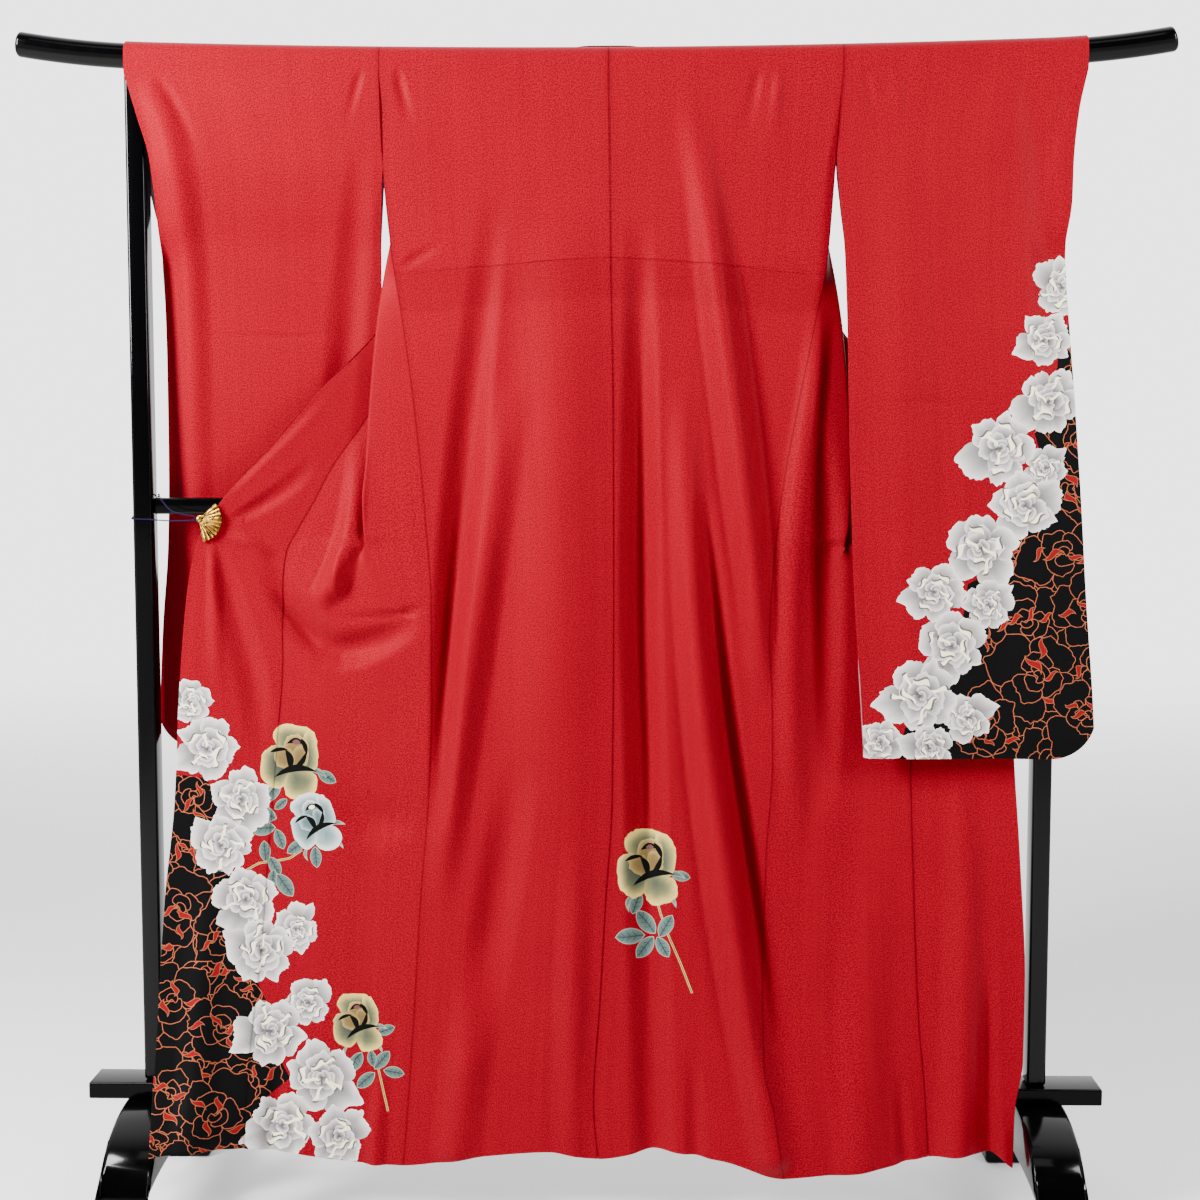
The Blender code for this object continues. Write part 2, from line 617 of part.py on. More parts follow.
def front_section(side, z):
    """Places and depths of the front body's lines at each height: side seam, fold, tuck, overlap's seam.

    The fold and the tuck are half circles where the cloth laps over itself, and run out flat below.
    """
    foot = ARMHOLE_FOOT[side]
    seam_y = column(SIDE_SEAM[side], "y", z)
    armhole = [(foot, float(column(SIDE_SEAM[side], "y", foot)))] + FRONT_ARMHOLE_Y[::-1]
    armhole_y = monotone([row[0] for row in armhole], [row[1] for row in armhole], z)
    sign = -1 if side == "left" else 1
    free = z > foot + ARMHOLE_TURN
    seam = column(SIDE_SEAM[side], "x", z) + sign * np.where(free, -SEAM_GAP, SIDE_GAP) / 2
    out, tuck, okumi = (column(FRONT[side], name, z) for name in ("out", "tuck", "okumi"))
    y_out, y_tuck, y_okumi = (column(FRONT[side], "y_" + name, z) for name in ("out", "tuck", "okumi"))
    ways = [np.clip(run / TURN_FADE, -1, 1) for run in (out - seam, tuck - out, okumi - tuck)]
    x, y = [seam], [np.where(z > foot, armhole_y, seam_y)]
    for place, depth, before, after in ((out, y_out, *ways[:2]), (tuck, y_tuck, *ways[1:])):
        bend = TURN * np.maximum(0.0, -before * after)
        for angle in TURN_ANGLES:
            out_of = TURN * (1 - math.cos(math.radians(angle)))
            x.append(place + out_of * (after if angle > 0 else -before))
            y.append(depth + bend * math.sin(math.radians(angle)))
    return np.stack(x + [okumi], axis=-1), np.stack(y + [y_okumi], axis=-1)


def front_points(side):
    """A front body panel, from the side seam through its fold and tuck to the overlap's seam."""
    across = np.array(FRONT_ACROSS)

    def x_at(u, z):
        places, _ = front_section(side, z)
        every = [monotone(FRONT_LINES, places[:, k], across[k]) for k in range(len(across))]
        return np.stack(every, axis=-1)

    x, y, z, below = hang(across, x_at, hem_height, BODY_HEIGHTS, 1)
    _, depths = front_section(side, z)
    every = [monotone(FRONT_LINES, depths[:, k], across[k]) for k in range(len(across))]
    depth = np.stack(every, axis=-1) - lift(BODY_FOLDS, x, z)
    return x, np.where(below, depth, y), z


def overlap_depth(side, share, z):
    """Depth of the overlap at a share of its width, before its folds."""
    inner, outer = column(FRONT[side], "y_okumi", z), column(FREE_EDGE[side], "y", z)
    return inner + (outer - inner) * share


def okumi_points(side):
    """An overlap panel, from its seam on the front body to the free edge, on the body's own rows."""
    sign = -1 if side == "left" else 1
    across = np.linspace(0, 1, OKUMI_COLUMNS + 1)

    def x_at(u, z):
        inner = column(FRONT[side], "okumi", z) + sign * SIDE_GAP
        outer = column(FREE_EDGE[side], "x", z)
        outer = np.where(sign * (outer - inner) < POINT_WIDTH, inner + sign * POINT_WIDTH, outer)
        return inner + (outer - inner) * u

    x, _, z, _ = hang(across, x_at, hem_height, BODY_HEIGHTS, 1)
    x, z = x[CREST_ROWS + POINT_ROW:], z[CREST_ROWS + POINT_ROW:]
    return x, overlap_depth(side, across[None, :], z) - lift(BODY_FOLDS, x, z), z


def sleeve_points(side, layer):
    """One layer of a sleeve, from the armhole across to the wrist's edge."""
    sign = -1 if side == "left" else 1
    rows = SLEEVE[side]
    outer_name = "outer" if layer == "back" else "front_outer"
    across = np.array(SLEEVE_ACROSS)
    foot = min(row.z for row in rows)

    def x_at(u, z):
        sewn = z > SLEEVE_SEWN_TO[side]
        inner = np.where(sewn, column(SIDE_SEAM[side], "x", z), column(rows, "inner", z))
        inner = inner + sign * SEAM_GAP / 2
        return inner + (column(rows, outer_name, z) - inner) * u

    def foot_at(x):
        edge = sign * float(column(rows, "outer", foot))
        into = np.clip((sign * x - (edge - CORNER)) / CORNER, 0.0, 1.0)
        return foot + CORNER * (1 - np.sqrt(1 - np.square(into)))

    x, y, z, below = hang(across, x_at, foot_at, SLEEVE_HEIGHTS, -1 if layer == "back" else 1)
    back, front = column(rows, "back", z), column(rows, "front", z)
    middle = (back + front) / 2
    under_wrist = ease((WRIST_END_Z - z) / WRIST_CLOSES)
    closed_side = ease((across[None, :] - 1 + SEWN_EDGE) / SEWN_EDGE) * under_wrist
    closed = np.maximum(closed_side, ease((foot_at(x) + SEWN_FOOT - z) / SEWN_FOOT))
    way = -1 if layer == "back" else 1
    sewn = middle + way * (CLOTH + SEAM_GAP) / 2
    loose = back if layer == "back" else front
    depth = loose + (sewn - loose) * closed - lift(SLEEVE_FOLDS[side], x, z)
    return x, np.where(below, depth, y), z


def free_edge(side, z):
    """Place and depth of the front's free edge, above the overlap's point too."""
    above = z > FREE_EDGE[side][0].z
    x = np.where(above, column(FRONT[side], "okumi", z), column(FREE_EDGE[side], "x", z))
    y = np.where(above, column(FRONT[side], "y_okumi", z), column(FREE_EDGE[side], "y", z))
    return x, y - lift(BODY_FOLDS, x, z)


def neck_edge(side):
    """Places, drops from the rod's crest and depths along the front's free edge, from the collar's foot up."""
    heights = np.linspace(COLLAR_FOOT_Z, ROD_AXIS_Z, 60)
    x, y = free_edge(side, heights)
    turn = np.linspace(math.pi / 2, 0.1, 8)[1:]
    over_x = column(FRONT[side], "okumi", ROD_AXIS_Z + CLOTH_RADIUS * np.cos(turn))
    x = np.concatenate([x, over_x])
    y = np.concatenate([y, np.full(turn.shape, CLOTH_RADIUS)])
    quarter = CLOTH_RADIUS * math.pi / 2
    return x, np.concatenate([quarter + ROD_AXIS_Z - heights, CLOTH_RADIUS * turn]), y


def collar_points():
    """The collar, from its left foot up to the neck, along it on the rod and down to its right foot."""
    left, right = neck_edge("left"), neck_edge("right")
    path = [np.concatenate([a, b[::-1]]) for a, b in zip(left, right)]
    run = np.concatenate([[0], np.cumsum(np.hypot(np.diff(path[0]), np.diff(path[1])))])
    even = np.linspace(-1, 1, COLLAR_ROWS)
    spread = COLLAR_NECK_ROWS * even + (1 - COLLAR_NECK_ROWS) * even * np.abs(even)
    at = run[-1] / 2 * (1 + spread)
    px, pd, py = (np.interp(at, run, values) for values in path)
    smooth = np.array([1, 2, 1]) / 4
    padded = [np.pad(values, 1, mode="reflect", reflect_type="odd") for values in (px, pd)]
    px, pd = (np.convolve(values, smooth, mode="valid") for values in padded)
    along_x, along_d = np.gradient(px), np.gradient(pd)
    length = np.hypot(along_x, along_d)
    wide = np.linspace(0, COLLAR_WIDTH, COLLAR_COLUMNS + 1)[None, :]
    x = px[:, None] - (along_d / length)[:, None] * wide
    fall = np.maximum(pd[:, None] + (along_x / length)[:, None] * wide, CLOTH)
    quarter = CLOTH_RADIUS * math.pi / 2
    turn = np.minimum(fall, quarter) / CLOTH_RADIUS
    radius = CLOTH_RADIUS + CLOTH + COLLAR_ON_ROD
    z = rod_axis(x + ROBE_X) + radius * np.cos(turn) - np.maximum(fall - quarter, 0.0)
    on_rod = radius * np.sin(turn)
    behind = py[:, None] + COLLAR_BEHIND + COLLAR_LEAN * wide
    low = ease((fall - quarter) / COLLAR_BLEND)
    return x, on_rod + (behind - on_rod) * low, z


def material(name, colour, roughness, metallic=0.0):
    made = bpy.data.materials.new(name)
    made.use_nodes = True
    shader = made.node_tree.nodes["Principled BSDF"]
    shader.inputs["Base Color"].default_value = (*colour, 1.0)
    shader.inputs["Roughness"].default_value = roughness
    shader.inputs["Metallic"].default_value = metallic
    made.diffuse_color = (*colour, 1.0)
    return made


def keep(mesh, name, finish, place=(0.0, 0.0, 0.0)):
    """A named piece in the object's collection, under its empty."""
    piece = bpy.data.objects.new(name, mesh)
    piece.location = place
    mesh.materials.append(finish)
    bpy.data.collections["furisode_on_stand"].objects.link(piece)
    piece.parent = bpy.data.objects["furisode_origin"]
    return piece


def cloth(name, points, finish, wall=CLOTH):
    """A sheet through the given rows and columns of points, with its wall on both sides of them."""
    x, y, z = points
    rows, columns = x.shape
    form = bmesh.new()
    bmesh.ops.create_grid(form, x_segments=columns - 1, y_segments=rows - 1, size=0.5)
    for vertex in form.verts:
        i = round((vertex.co.y + 0.5) * (rows - 1))
        j = round((vertex.co.x + 0.5) * (columns - 1))
        vertex.co = Vector((x[i, j] + ROBE_X, y[i, j], z[i, j]))
    mesh = bpy.data.meshes.new(name)
    form.to_mesh(mesh)
    form.free()
    mesh.shade_smooth()
    piece = keep(mesh, name, finish)
    solid = piece.modifiers.new("wall", "SOLIDIFY")
    solid.thickness = wall
    solid.offset = 0.0
    solid.use_quality_normals = True
    return piece


def block(name, size, centre, finish, rounded=0.0, steps=2):
    form = bmesh.new()
    bmesh.ops.create_cube(form, size=1.0, matrix=Matrix.Diagonal((*size, 1.0)))
    mesh = bpy.data.meshes.new(name)
    form.to_mesh(mesh)
    form.free()
    piece = keep(mesh, name, finish, centre)
    if rounded:
        bevel = piece.modifiers.new("rounded", "BEVEL")
        bevel.width = rounded
        bevel.segments = steps
    return piece


def tube(name, points, radius, finish, sides):
    """A round bar along a line of points, with both ends closed."""
    curve = bpy.data.curves.new(name, "CURVE")
    curve.dimensions = "3D"
    curve.bevel_depth = radius
    curve.bevel_resolution = sides
    curve.use_fill_caps = True
    spline = curve.splines.new("POLY")
    spline.points.add(len(points) - 1)
    for place, point in zip(spline.points, points):
        place.co = (*point, 1.0)
    piece = bpy.data.objects.new(name, curve)
    curve.materials.append(finish)
    bpy.data.collections["furisode_on_stand"].objects.link(piece)
    piece.parent = bpy.data.objects["furisode_origin"]
    return piece


def as_mesh(piece):
    """The piece with its modifiers applied, and a curve made a welded mesh."""
    graph = bpy.context.evaluated_depsgraph_get()
    mesh = bpy.data.meshes.new_from_object(piece.evaluated_get(graph))
    form = bmesh.new()
    form.from_mesh(mesh)
    bmesh.ops.remove_doubles(form, verts=form.verts, dist=0.00001)
    bmesh.ops.recalc_face_normals(form, faces=form.faces)
    form.to_mesh(mesh)
    form.free()
    return mesh


def arch_outline():
    """The foot's side view: a low arch with a lower one cut out of it."""
    def half_round(half, tall, power):
        turns = np.linspace(0, math.pi, 2 * ARCH_STEPS + 1)
        y = half * np.sign(np.cos(turns)) * np.abs(np.cos(turns)) ** (2 / power)
        return list(zip(y, tall * np.sin(turns) ** (2 / power)))

    outer = half_round(FOOT_HALF, FOOT_TALL, 3.0)
    inner = half_round(ARCH_HALF, ARCH_TALL, 2.5)
    return outer + inner[::-1]


def foot(name, sign, finish):
    """A flat outline in the side view, as thick as the foot is wide."""
    curve = bpy.data.curves.new(name, "CURVE")
    curve.dimensions = "2D"
    curve.fill_mode = "BOTH"
    curve.extrude = FOOT_WIDE / 2
    spline = curve.splines.new("POLY")
    outline = arch_outline()
    spline.points.add(len(outline) - 1)
    for place, (y, z) in zip(spline.points, outline):
        place.co = (y, z, 0.0, 1.0)
    spline.use_cyclic_u = True
    flat = bpy.data.objects.new(name + "_outline", curve)
    bpy.context.scene.collection.objects.link(flat)
    mesh = as_mesh(flat)
    mesh.transform(Matrix(((0, 0, 1, 0), (1, 0, 0, 0), (0, 1, 0, 0), (0, 0, 0, 1))))
    bpy.data.objects.remove(flat)
    return keep(mesh, name, finish, (sign * FOOT_X, 0.0, 0.0))


def post(name, sign, finish):
    """A square post whose top is hollowed to take the rod."""
    foot_z = FOOT_TALL + PLANK_TALL + 2 * REST_GAP
    top_z = float(rod_axis(POST_X)) - SADDLE_DROP
    size = (POST_WIDE, POST_DEEP, top_z - foot_z)
    piece = block(name, size, (sign * POST_X, 0.0, (top_z + foot_z) / 2), finish)
    bevel = piece.modifiers.new("rounded", "BEVEL")
    bevel.width = POST_ROUND
    bevel.segments = 3
    bevel.limit_method = "ANGLE"
    bevel.affect = "EDGES"
    form = bmesh.new()
    bmesh.ops.create_cone(
        form,
        cap_ends=True,
        segments=24,
        radius1=ROD_RADIUS + 2 * REST_GAP,
        radius2=ROD_RADIUS + 2 * REST_GAP,
        depth=3 * POST_WIDE,
        matrix=Matrix.Rotation(math.pi / 2, 4, "Y"),
    )
    mesh = bpy.data.meshes.new(name + "_saddle")
    form.to_mesh(mesh)
    form.free()
    cutter = bpy.data.objects.new(name + "_saddle", mesh)
    slope = 2 * ROD_BOW * POST_X + 2 * ROD_TIP_BOW * (POST_X - ROD_TIP_FROM)
    cutter.location = (sign * POST_X, 0.0, float(rod_axis(POST_X)))
    cutter.rotation_euler = (0.0, -sign * math.atan(slope), 0.0)
    cutter.hide_render = True
    cutter.display_type = "WIRE"
    bpy.data.collections["cutters"].objects.link(cutter)
    cut = piece.modifiers.new("saddle", "BOOLEAN")
    cut.operation = "DIFFERENCE"
    cut.solver = "EXACT"
    cut.object = cutter
    return piece


def rod(finish):
    places = np.linspace(-ROD_HALF, ROD_HALF, 2 * ROD_STEPS + 1)
    points = [(x, 0.0, float(rod_axis(x))) for x in places]
    return tube("rod", points, ROD_RADIUS, finish, 10)


def fan(name, sign, pivot, finish):
    """The clip's face: a fan of pleated brass, spread from its pivot over the cloth."""
    steps = 2 * FAN_RIBS
    form = bmesh.new()
    bmesh.ops.create_grid(form, x_segments=steps, y_segments=2, size=0.5)
    for vertex in form.verts:
        rib = round((vertex.co.x + 0.5) * steps)
        out = FAN_ROOT + (vertex.co.y + 0.5) * (FAN_RADIUS - FAN_ROOT)
        angle = math.radians(FAN_DOWN + (FAN_UP - FAN_DOWN) * rib / steps)
        raised = FAN_RIB_LIFT * (1 if rib % 2 else -1) * out / FAN_RADIUS
        vertex.co = Vector((-sign * out * math.cos(angle), -raised, out * math.sin(angle)))
    mesh = bpy.data.meshes.new(name)
    form.to_mesh(mesh)
    form.free()
    piece = keep(mesh, name, finish, pivot)
    solid = piece.modifiers.new("wall", "SOLIDIFY")
    solid.thickness = FAN_WALL
    solid.offset = 0.0
    return piece


def jaw(name, sign, pivot, front_y, back_y, finish):
    """The clip's spring: one bent strip from under the fan round the cloth's edge to its far side."""
    reach = CLIP_OUTSIDE + JAW_LONG
    outline = [
        (-JAW_HINGE, front_y),
        (CLIP_OUTSIDE - JAW_SHORT, front_y),
        (CLIP_OUTSIDE - JAW_SHORT, front_y + JAW_WALL),
        (JAW_BEND - JAW_HINGE, front_y + JAW_WALL),
        (JAW_BEND - JAW_HINGE, back_y),
        (reach, back_y),
        (reach, back_y + JAW_WALL),
        (-JAW_HINGE, back_y + JAW_WALL),
    ]
    curve = bpy.data.curves.new(name, "CURVE")
    curve.dimensions = "2D"
    curve.fill_mode = "BOTH"
    curve.extrude = JAW_TALL / 2
    spline = curve.splines.new("POLY")
    spline.points.add(len(outline) - 1)
    for place, (out, depth) in zip(spline.points, outline):
        place.co = (-sign * out, depth - pivot[1], 0.0, 1.0)
    spline.use_cyclic_u = True
    flat = bpy.data.objects.new(name + "_outline", curve)
    bpy.context.scene.collection.objects.link(flat)
    mesh = as_mesh(flat)
    bpy.data.objects.remove(flat)
    return keep(mesh, name, finish, pivot)


def clip(side, brass, purple):
    """The fan, its spring and the thread that ties them to the post."""
    sign = -1 if side == "left" else 1
    edge_x, edge_y = (float(value) for value in free_edge(side, np.array(CLIP_Z)))
    pivot_x = edge_x + ROBE_X + sign * CLIP_OUTSIDE
    face_y = edge_y - CLOTH / 2 - CLIP_CLEAR - FAN_WALL
    fan("clip_%s_fan" % side, sign, (pivot_x, face_y, CLIP_Z), brass)
    front_y = face_y + FAN_WALL / 2 + FAN_RIB_LIFT + SEAM_GAP
    gripped = 1 - JAW_LONG / abs(edge_x - float(column(FRONT[side], "okumi", CLIP_Z)))
    back_y = float(overlap_depth(side, gripped, CLIP_Z)) + CLOTH / 2 + 2 * CLIP_CLEAR
    jaw("clip_%s_spring" % side, sign, (pivot_x, face_y, CLIP_Z), front_y, back_y, brass)
    run = np.arange(len(THREAD_ROUTE))
    fine = np.linspace(0, len(THREAD_ROUTE) - 1, THREAD_POINTS)
    x, y, z = (monotone(run, values, fine) for values in zip(*THREAD_ROUTE))
    ring, clear = THREAD_ROUTE[0].x, THREAD_ROUTE[1].x
    start = -abs(pivot_x) - THREAD_OUTSIDE
    share = np.clip((x - ring) / (clear - ring), 0.0, 1.0)
    x = np.where(share < 1, start + (clear - start) * share, x)
    tube("thread_%s" % side, [(float(-sign * a), b, c) for a, b, c in zip(x, y, z)], THREAD / 2, purple, 2)


def stand(lacquer):
    rod(lacquer)
    for side, sign in (("left", -1), ("right", 1)):
        foot("foot_" + side, sign, lacquer)
        post("post_" + side, sign, lacquer)
    long = 2 * (POST_X - POST_WIDE / 2 - REST_GAP)
    block("crossbar", (long, BAR_DEEP, BAR_TALL), (0.0, 0.0, BAR_Z), lacquer, 0.003)
    plank_z = FOOT_TALL + REST_GAP + PLANK_TALL / 2
    block("plank", (2 * PLANK_HALF, PLANK_DEEP, PLANK_TALL), (0.0, 0.0, plank_z), lacquer, 0.004)


def robe(silk):
    for side in ("left", "right"):
        cloth("back_" + side, back_points(side), silk)
        cloth("front_" + side, front_points(side), silk)
        cloth("okumi_" + side, okumi_points(side), silk)
        for layer in ("back", "front"):
            cloth("sleeve_%s_%s" % (side, layer), sleeve_points(side, layer), silk)
    cloth("collar", collar_points(), silk)


def main():
    for old in list(bpy.data.objects):
        bpy.data.objects.remove(old, do_unlink=True)
    for name in ("furisode_on_stand", "cutters"):
        made = bpy.data.collections.new(name)
        bpy.context.scene.collection.children.link(made)
    origin = bpy.data.objects.new("furisode_origin", None)
    bpy.data.collections["furisode_on_stand"].objects.link(origin)
    lacquer = material("black_lacquer", (0.012, 0.012, 0.013), 0.12)
    silk = material("red_satin", (0.62, 0.020, 0.030), 0.42)
    brass = material("gilt_brass", (0.72, 0.50, 0.18), 0.30, 1.0)
    purple = material("purple_thread", (0.10, 0.02, 0.22), 0.60)
    stand(lacquer)
    robe(silk)
    for side in ("left", "right"):
        clip(side, brass, purple)


main()
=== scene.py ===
"""The looks of a long-sleeved formal robe hung over a black lacquered stand, seen from its back.

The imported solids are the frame. Each cut piece of the robe is a thin sheet on its solid's form, with
finer creases, its print drawn into the mesh as petals, and a satin finish. The stand, the clips and the
threads are modelled again with round edges. Lengths are in metres. Places across the robe are measured
from its centre back line, and -Y is towards the viewer.
"""

import logging
import math
from dataclasses import dataclass, field
from enum import Enum
from typing import Callable, Iterable, NamedTuple, Sequence

import bmesh
import bpy
import numpy as np
from mathutils import Euler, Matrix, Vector
from mathutils.geometry import delaunay_2d_cdt


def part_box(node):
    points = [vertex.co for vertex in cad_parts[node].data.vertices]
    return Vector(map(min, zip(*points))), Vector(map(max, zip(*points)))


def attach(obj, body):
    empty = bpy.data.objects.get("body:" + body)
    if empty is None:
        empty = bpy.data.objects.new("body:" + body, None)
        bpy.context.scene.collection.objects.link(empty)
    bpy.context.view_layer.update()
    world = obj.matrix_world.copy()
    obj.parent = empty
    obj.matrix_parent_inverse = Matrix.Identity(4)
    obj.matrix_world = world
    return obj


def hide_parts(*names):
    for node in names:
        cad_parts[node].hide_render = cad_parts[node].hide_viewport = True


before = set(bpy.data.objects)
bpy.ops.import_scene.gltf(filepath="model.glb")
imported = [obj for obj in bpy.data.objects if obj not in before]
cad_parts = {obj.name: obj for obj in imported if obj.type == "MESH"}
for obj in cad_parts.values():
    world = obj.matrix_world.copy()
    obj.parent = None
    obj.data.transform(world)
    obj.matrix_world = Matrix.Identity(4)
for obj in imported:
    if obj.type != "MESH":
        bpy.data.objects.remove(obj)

LOG = logging.getLogger("furisode")
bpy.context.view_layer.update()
BODY = "root"

Colour = tuple[float, float, float]
Array = np.ndarray
Pair = tuple[Array, Array]
Rule = Callable[[Array], Array]
Laid = tuple[Array, Rule, bool, Array]
Line = Sequence[tuple[float, float]]
Chance = np.random.RandomState
Material = bpy.types.Material


class Side(Enum):
    """The half of the robe or stand, as the viewer sees it."""

    LEFT = "left"
    RIGHT = "right"

    @property
    def sign(self) -> int:
        """-1 on the left and 1 on the right."""
        return -1 if self is Side.LEFT else 1


class Layer(Enum):
    """Which of a sleeve's two layers, the one towards the viewer or the one beyond the rod."""

    BACK = "back"
    FRONT = "front"


class Style(Enum):
    """How a printed flower is drawn."""

    WHITE = "white"
    LINE = "line"
    GOLD = "gold"
    PALE = "pale"


class Seam(NamedTuple):
    """Place and depth of a seam or edge at a height."""

    z: float
    x: float
    y: float


class Front(NamedTuple):
    """The front body's lines at a height: outer fold, tuck and overlap's seam, with their depths."""

    z: float
    out: float
    tuck: float
    okumi: float
    y_out: float
    y_tuck: float
    y_okumi: float


class Cuff(NamedTuple):
    """A sleeve's edges at a height, the depths of its layers and the front layer's own edge."""

    z: float
    inner: float
    outer: float
    back: float
    front: float
    front_outer: float


class Hem(NamedTuple):
    """Height of the lower edge at a place."""

    x: float
    z: float


class Fold(NamedTuple):
    """A point on a fold's line: lift towards the viewer and reach to each side."""

    x: float
    z: float
    lift: float
    reach: float


class Step(NamedTuple):
    """A point that a thread passes."""

    x: float
    y: float
    z: float


def table(kind: type, *rows: Sequence[float]) -> list:
    """Rows of one kind from rows written in millimetres."""
    return [kind(*(round(value / 1000, 6) for value in row)) for row in rows]


def fold_table(**lines: Sequence[Sequence[float]]) -> dict[str, list[Fold]]:
    """Named folds from points written in millimetres."""
    return {name: table(Fold, *rows) for name, rows in lines.items()}


# Sizes shared with the solids
ROBE_X = 0.020
CLOTH = 0.0016
ROD_RADIUS = 0.0175
ROD_AXIS_Z = 1.6345
ROD_HALF = 0.799
ROD_BOW = 0.0252
ROD_TIP_FROM = 0.620
ROD_TIP_BOW = 0.367
CLOTH_RADIUS = ROD_RADIUS + 0.0009 + CLOTH / 2
FOOT_EDGE_Z = 0.1
TURN = 0.0032  # radius of the front's two turns
TURN_FADE = 0.008
TURN_ANGLES = (-90.0, -45.0, 0.0, 45.0, 90.0)
FRONT_LINES = (0.0, 0.26, 0.28, 0.30, 0.32, 0.34, 0.58, 0.60, 0.62, 0.64, 0.66, 1.0)
ARMHOLE_TURN = 0.040
WRIST_END_Z = 1.410
WRIST_CLOSES = 0.060
SEWN_EDGE = 0.18
SEWN_FOOT = 0.035
CORNER = 0.060
POINT_START = 0.158  # share of the drop at which the overlap begins
CLIP_Z = 1.004
PLY_RADIUS = 0.00062
PLY_OFF = 0.00048  # of a ply's middle from the thread's
PLY_LAY = 0.0052  # length in which the plies turn once round each other
PLY_GAP = 0.0002  # from the thread's first point to its box

# The sheets that are seen
SHEET = 0.0014
MEETING = SHEET - 0.0002  # between the middles of two sheets, whose round edges press together
SEAM_LAP = 0.0004  # that each edge of the side seam reaches past that
FAR_INSET = 0.0035  # that the far sleeve layer's free edge lies back from the near one's
FAR_SHOWS = 0.79  # height below which it doesn't
CREST = 0.019  # share of a piece's length that lies over the rod
CREASE_GAIN = 1.15  # how many times deeper the sheets' folds are than the tables say
RIDGE_GAIN = 1.30
HOLLOW_GAIN = 1.15
SLEEVE_GAIN = 1.25
SEAM_LINE_AND_SHADE = 0.40  # how far a seam darkens the cloth in its line: partly its dark join, partly painted shade in its groove
SEAM_HALF = 0.0008
SEAM_SHADE = 0.05  # painted shade beside it
SEAM_REACH = 0.006
USUAL_DEPTH = -0.05  # of the cloth, from which a pixel's own is found
CROWDED = 0.0016  # cell of the cloth that holds the print's points or one of the mesh's own
MERGED = 0.00004  # distance under which points of the print are one

CENTRE_SEAM = table(
    Seam,
    (1620, 2, -19.3), (1500, 4, -24), (1330, 6, -34), (1170, 9, -40), (890, 10, -45), (610, 8, -48),
    (465, -1, -50), (320, -9, -52), (175, -18, -55), (90, -11, -58),
)
SIDE_SEAM = {
    Side.LEFT: table(
        Seam,
        (1620, -314, -19.3), (1485, -309, -21), (1380, -299, -24), (1263, -281, -30), (1168, -268, -34),
        (1003, -252, -39), (892, -245, -42), (750, -245, -45), (610, -250, -46), (465, -262, -48),
        (323, -271, -51), (177, -281, -56), (80, -289, -60),
    ),
    Side.RIGHT: table(
        Seam,
        (1620, 324, -19.3), (1497, 314.5, -21), (1355, 303, -26), (1262, 285, -31), (1168, 266, -35),
        (1031, 242, -40), (940, 232, -42), (837, 226, -44), (750, 231, -45), (660, 232, -46),
        (530, 224, -48), (310, 220, -52), (240, 221, -56), (173, 235, -64), (63, 252, -80),
    ),
}
SLEEVE_SEWN_TO = {Side.LEFT: 1.485, Side.RIGHT: 1.497}
ARMHOLE_FOOT = {Side.LEFT: 1.385, Side.RIGHT: 1.357}
FRONT_ARMHOLE_Y = [(1.620, 0.0193), (1.500, 0.017), (1.430, 0.000)]
FRONT = {
    Side.LEFT: table(
        Front,
        (1654, -275, -190, -40, 19.3, 19.3, 19.3), (1646, -275, -190, -64, 19.3, 19.3, 19.3),
        (1634.5, -275, -190, -90, 19.3, 19.3, 19.3), (1500, -270, -205, -172, 22, 28, 34),
        (1390, -301, -200, -240, -6, 4, 15), (1260, -321, -213, -285, -23.5, -12, 0),
        (1150, -331, -262, -333, -29, -20, -11), (1075, -336, -292, -385, -32, -24.5, -17),
        (1030, -340, -310, -409, -34.5, -27.5, -21), (990, -339, -324, -432, -36, -29.5, -23.5),
        (955, -335, -349, -449, -37.5, -33, -27), (900, -316, -388, -455, -40, -38, -32),
        (810, -316, -386, -454, -42, -40, -36), (690, -318, -392, -463, -42, -41, -40),
        (536, -330, -404, -476, -44, -45, -46), (377, -343, -418, -489, -48, -51, -56),
        (245, -352, -430, -503, -52, -58, -70), (100, -362, -438, -511, -57, -68, -90),
    ),
    Side.RIGHT: table(
        Front,
        (1654, 280, 190, 44, 19.3, 19.3, 19.3), (1646, 280, 190, 66, 19.3, 19.3, 19.3),
        (1634.5, 280, 190, 92, 19.3, 19.3, 19.3), (1500, 272, 205, 172, 22, 28, 34),
        (1390, 304.5, 200, 240, -6, 4, 15), (1260, 326, 220, 290, -24.5, -13, -1),
        (1150, 335, 262, 335, -30, -21, -12), (1060, 338, 290, 385, -32.5, -25, -17),
        (1000, 337, 312, 415, -34.5, -28, -21), (965, 329, 335, 424, -35.8, -30.5, -25),
        (930, 306, 370, 428, -37, -33, -28), (837, 296, 365, 430, -38.5, -36, -33),
        (669, 298, 363, 426, -40, -36, -34), (530, 295, 364, 430, -42, -38, -38),
        (310, 296, 369, 440, -50, -44, -42), (173, 308, 380, 452, -62, -54, -46),
        (85, 320, 388, 457, -70, -61, -50),
    ),
}
FREE_EDGE = {
    Side.LEFT: table(
        Seam,
        (1400, -240, 15), (1260, -323, -4), (1177, -404, -24), (1116, -455, -30), (1022, -542, -38.5),
        (968, -572, -40), (890, -588, -42), (750, -599, -50), (607, -606, -56), (463, -621, -64),
        (317, -628, -82), (230, -629, -108), (142, -618, -182),
    ),
    Side.RIGHT: table(
        Seam,
        (1400, 240, 15), (1260, 328, -5), (1150, 420, -22), (1060, 500, -30), (1000, 543, -34),
        (900, 553, -36), (750, 565, -37), (669, 569, -40), (530, 579, -44), (350, 588, -50),
        (240, 587, -52), (170, 576, -56), (91, 573, -64),
    ),
}
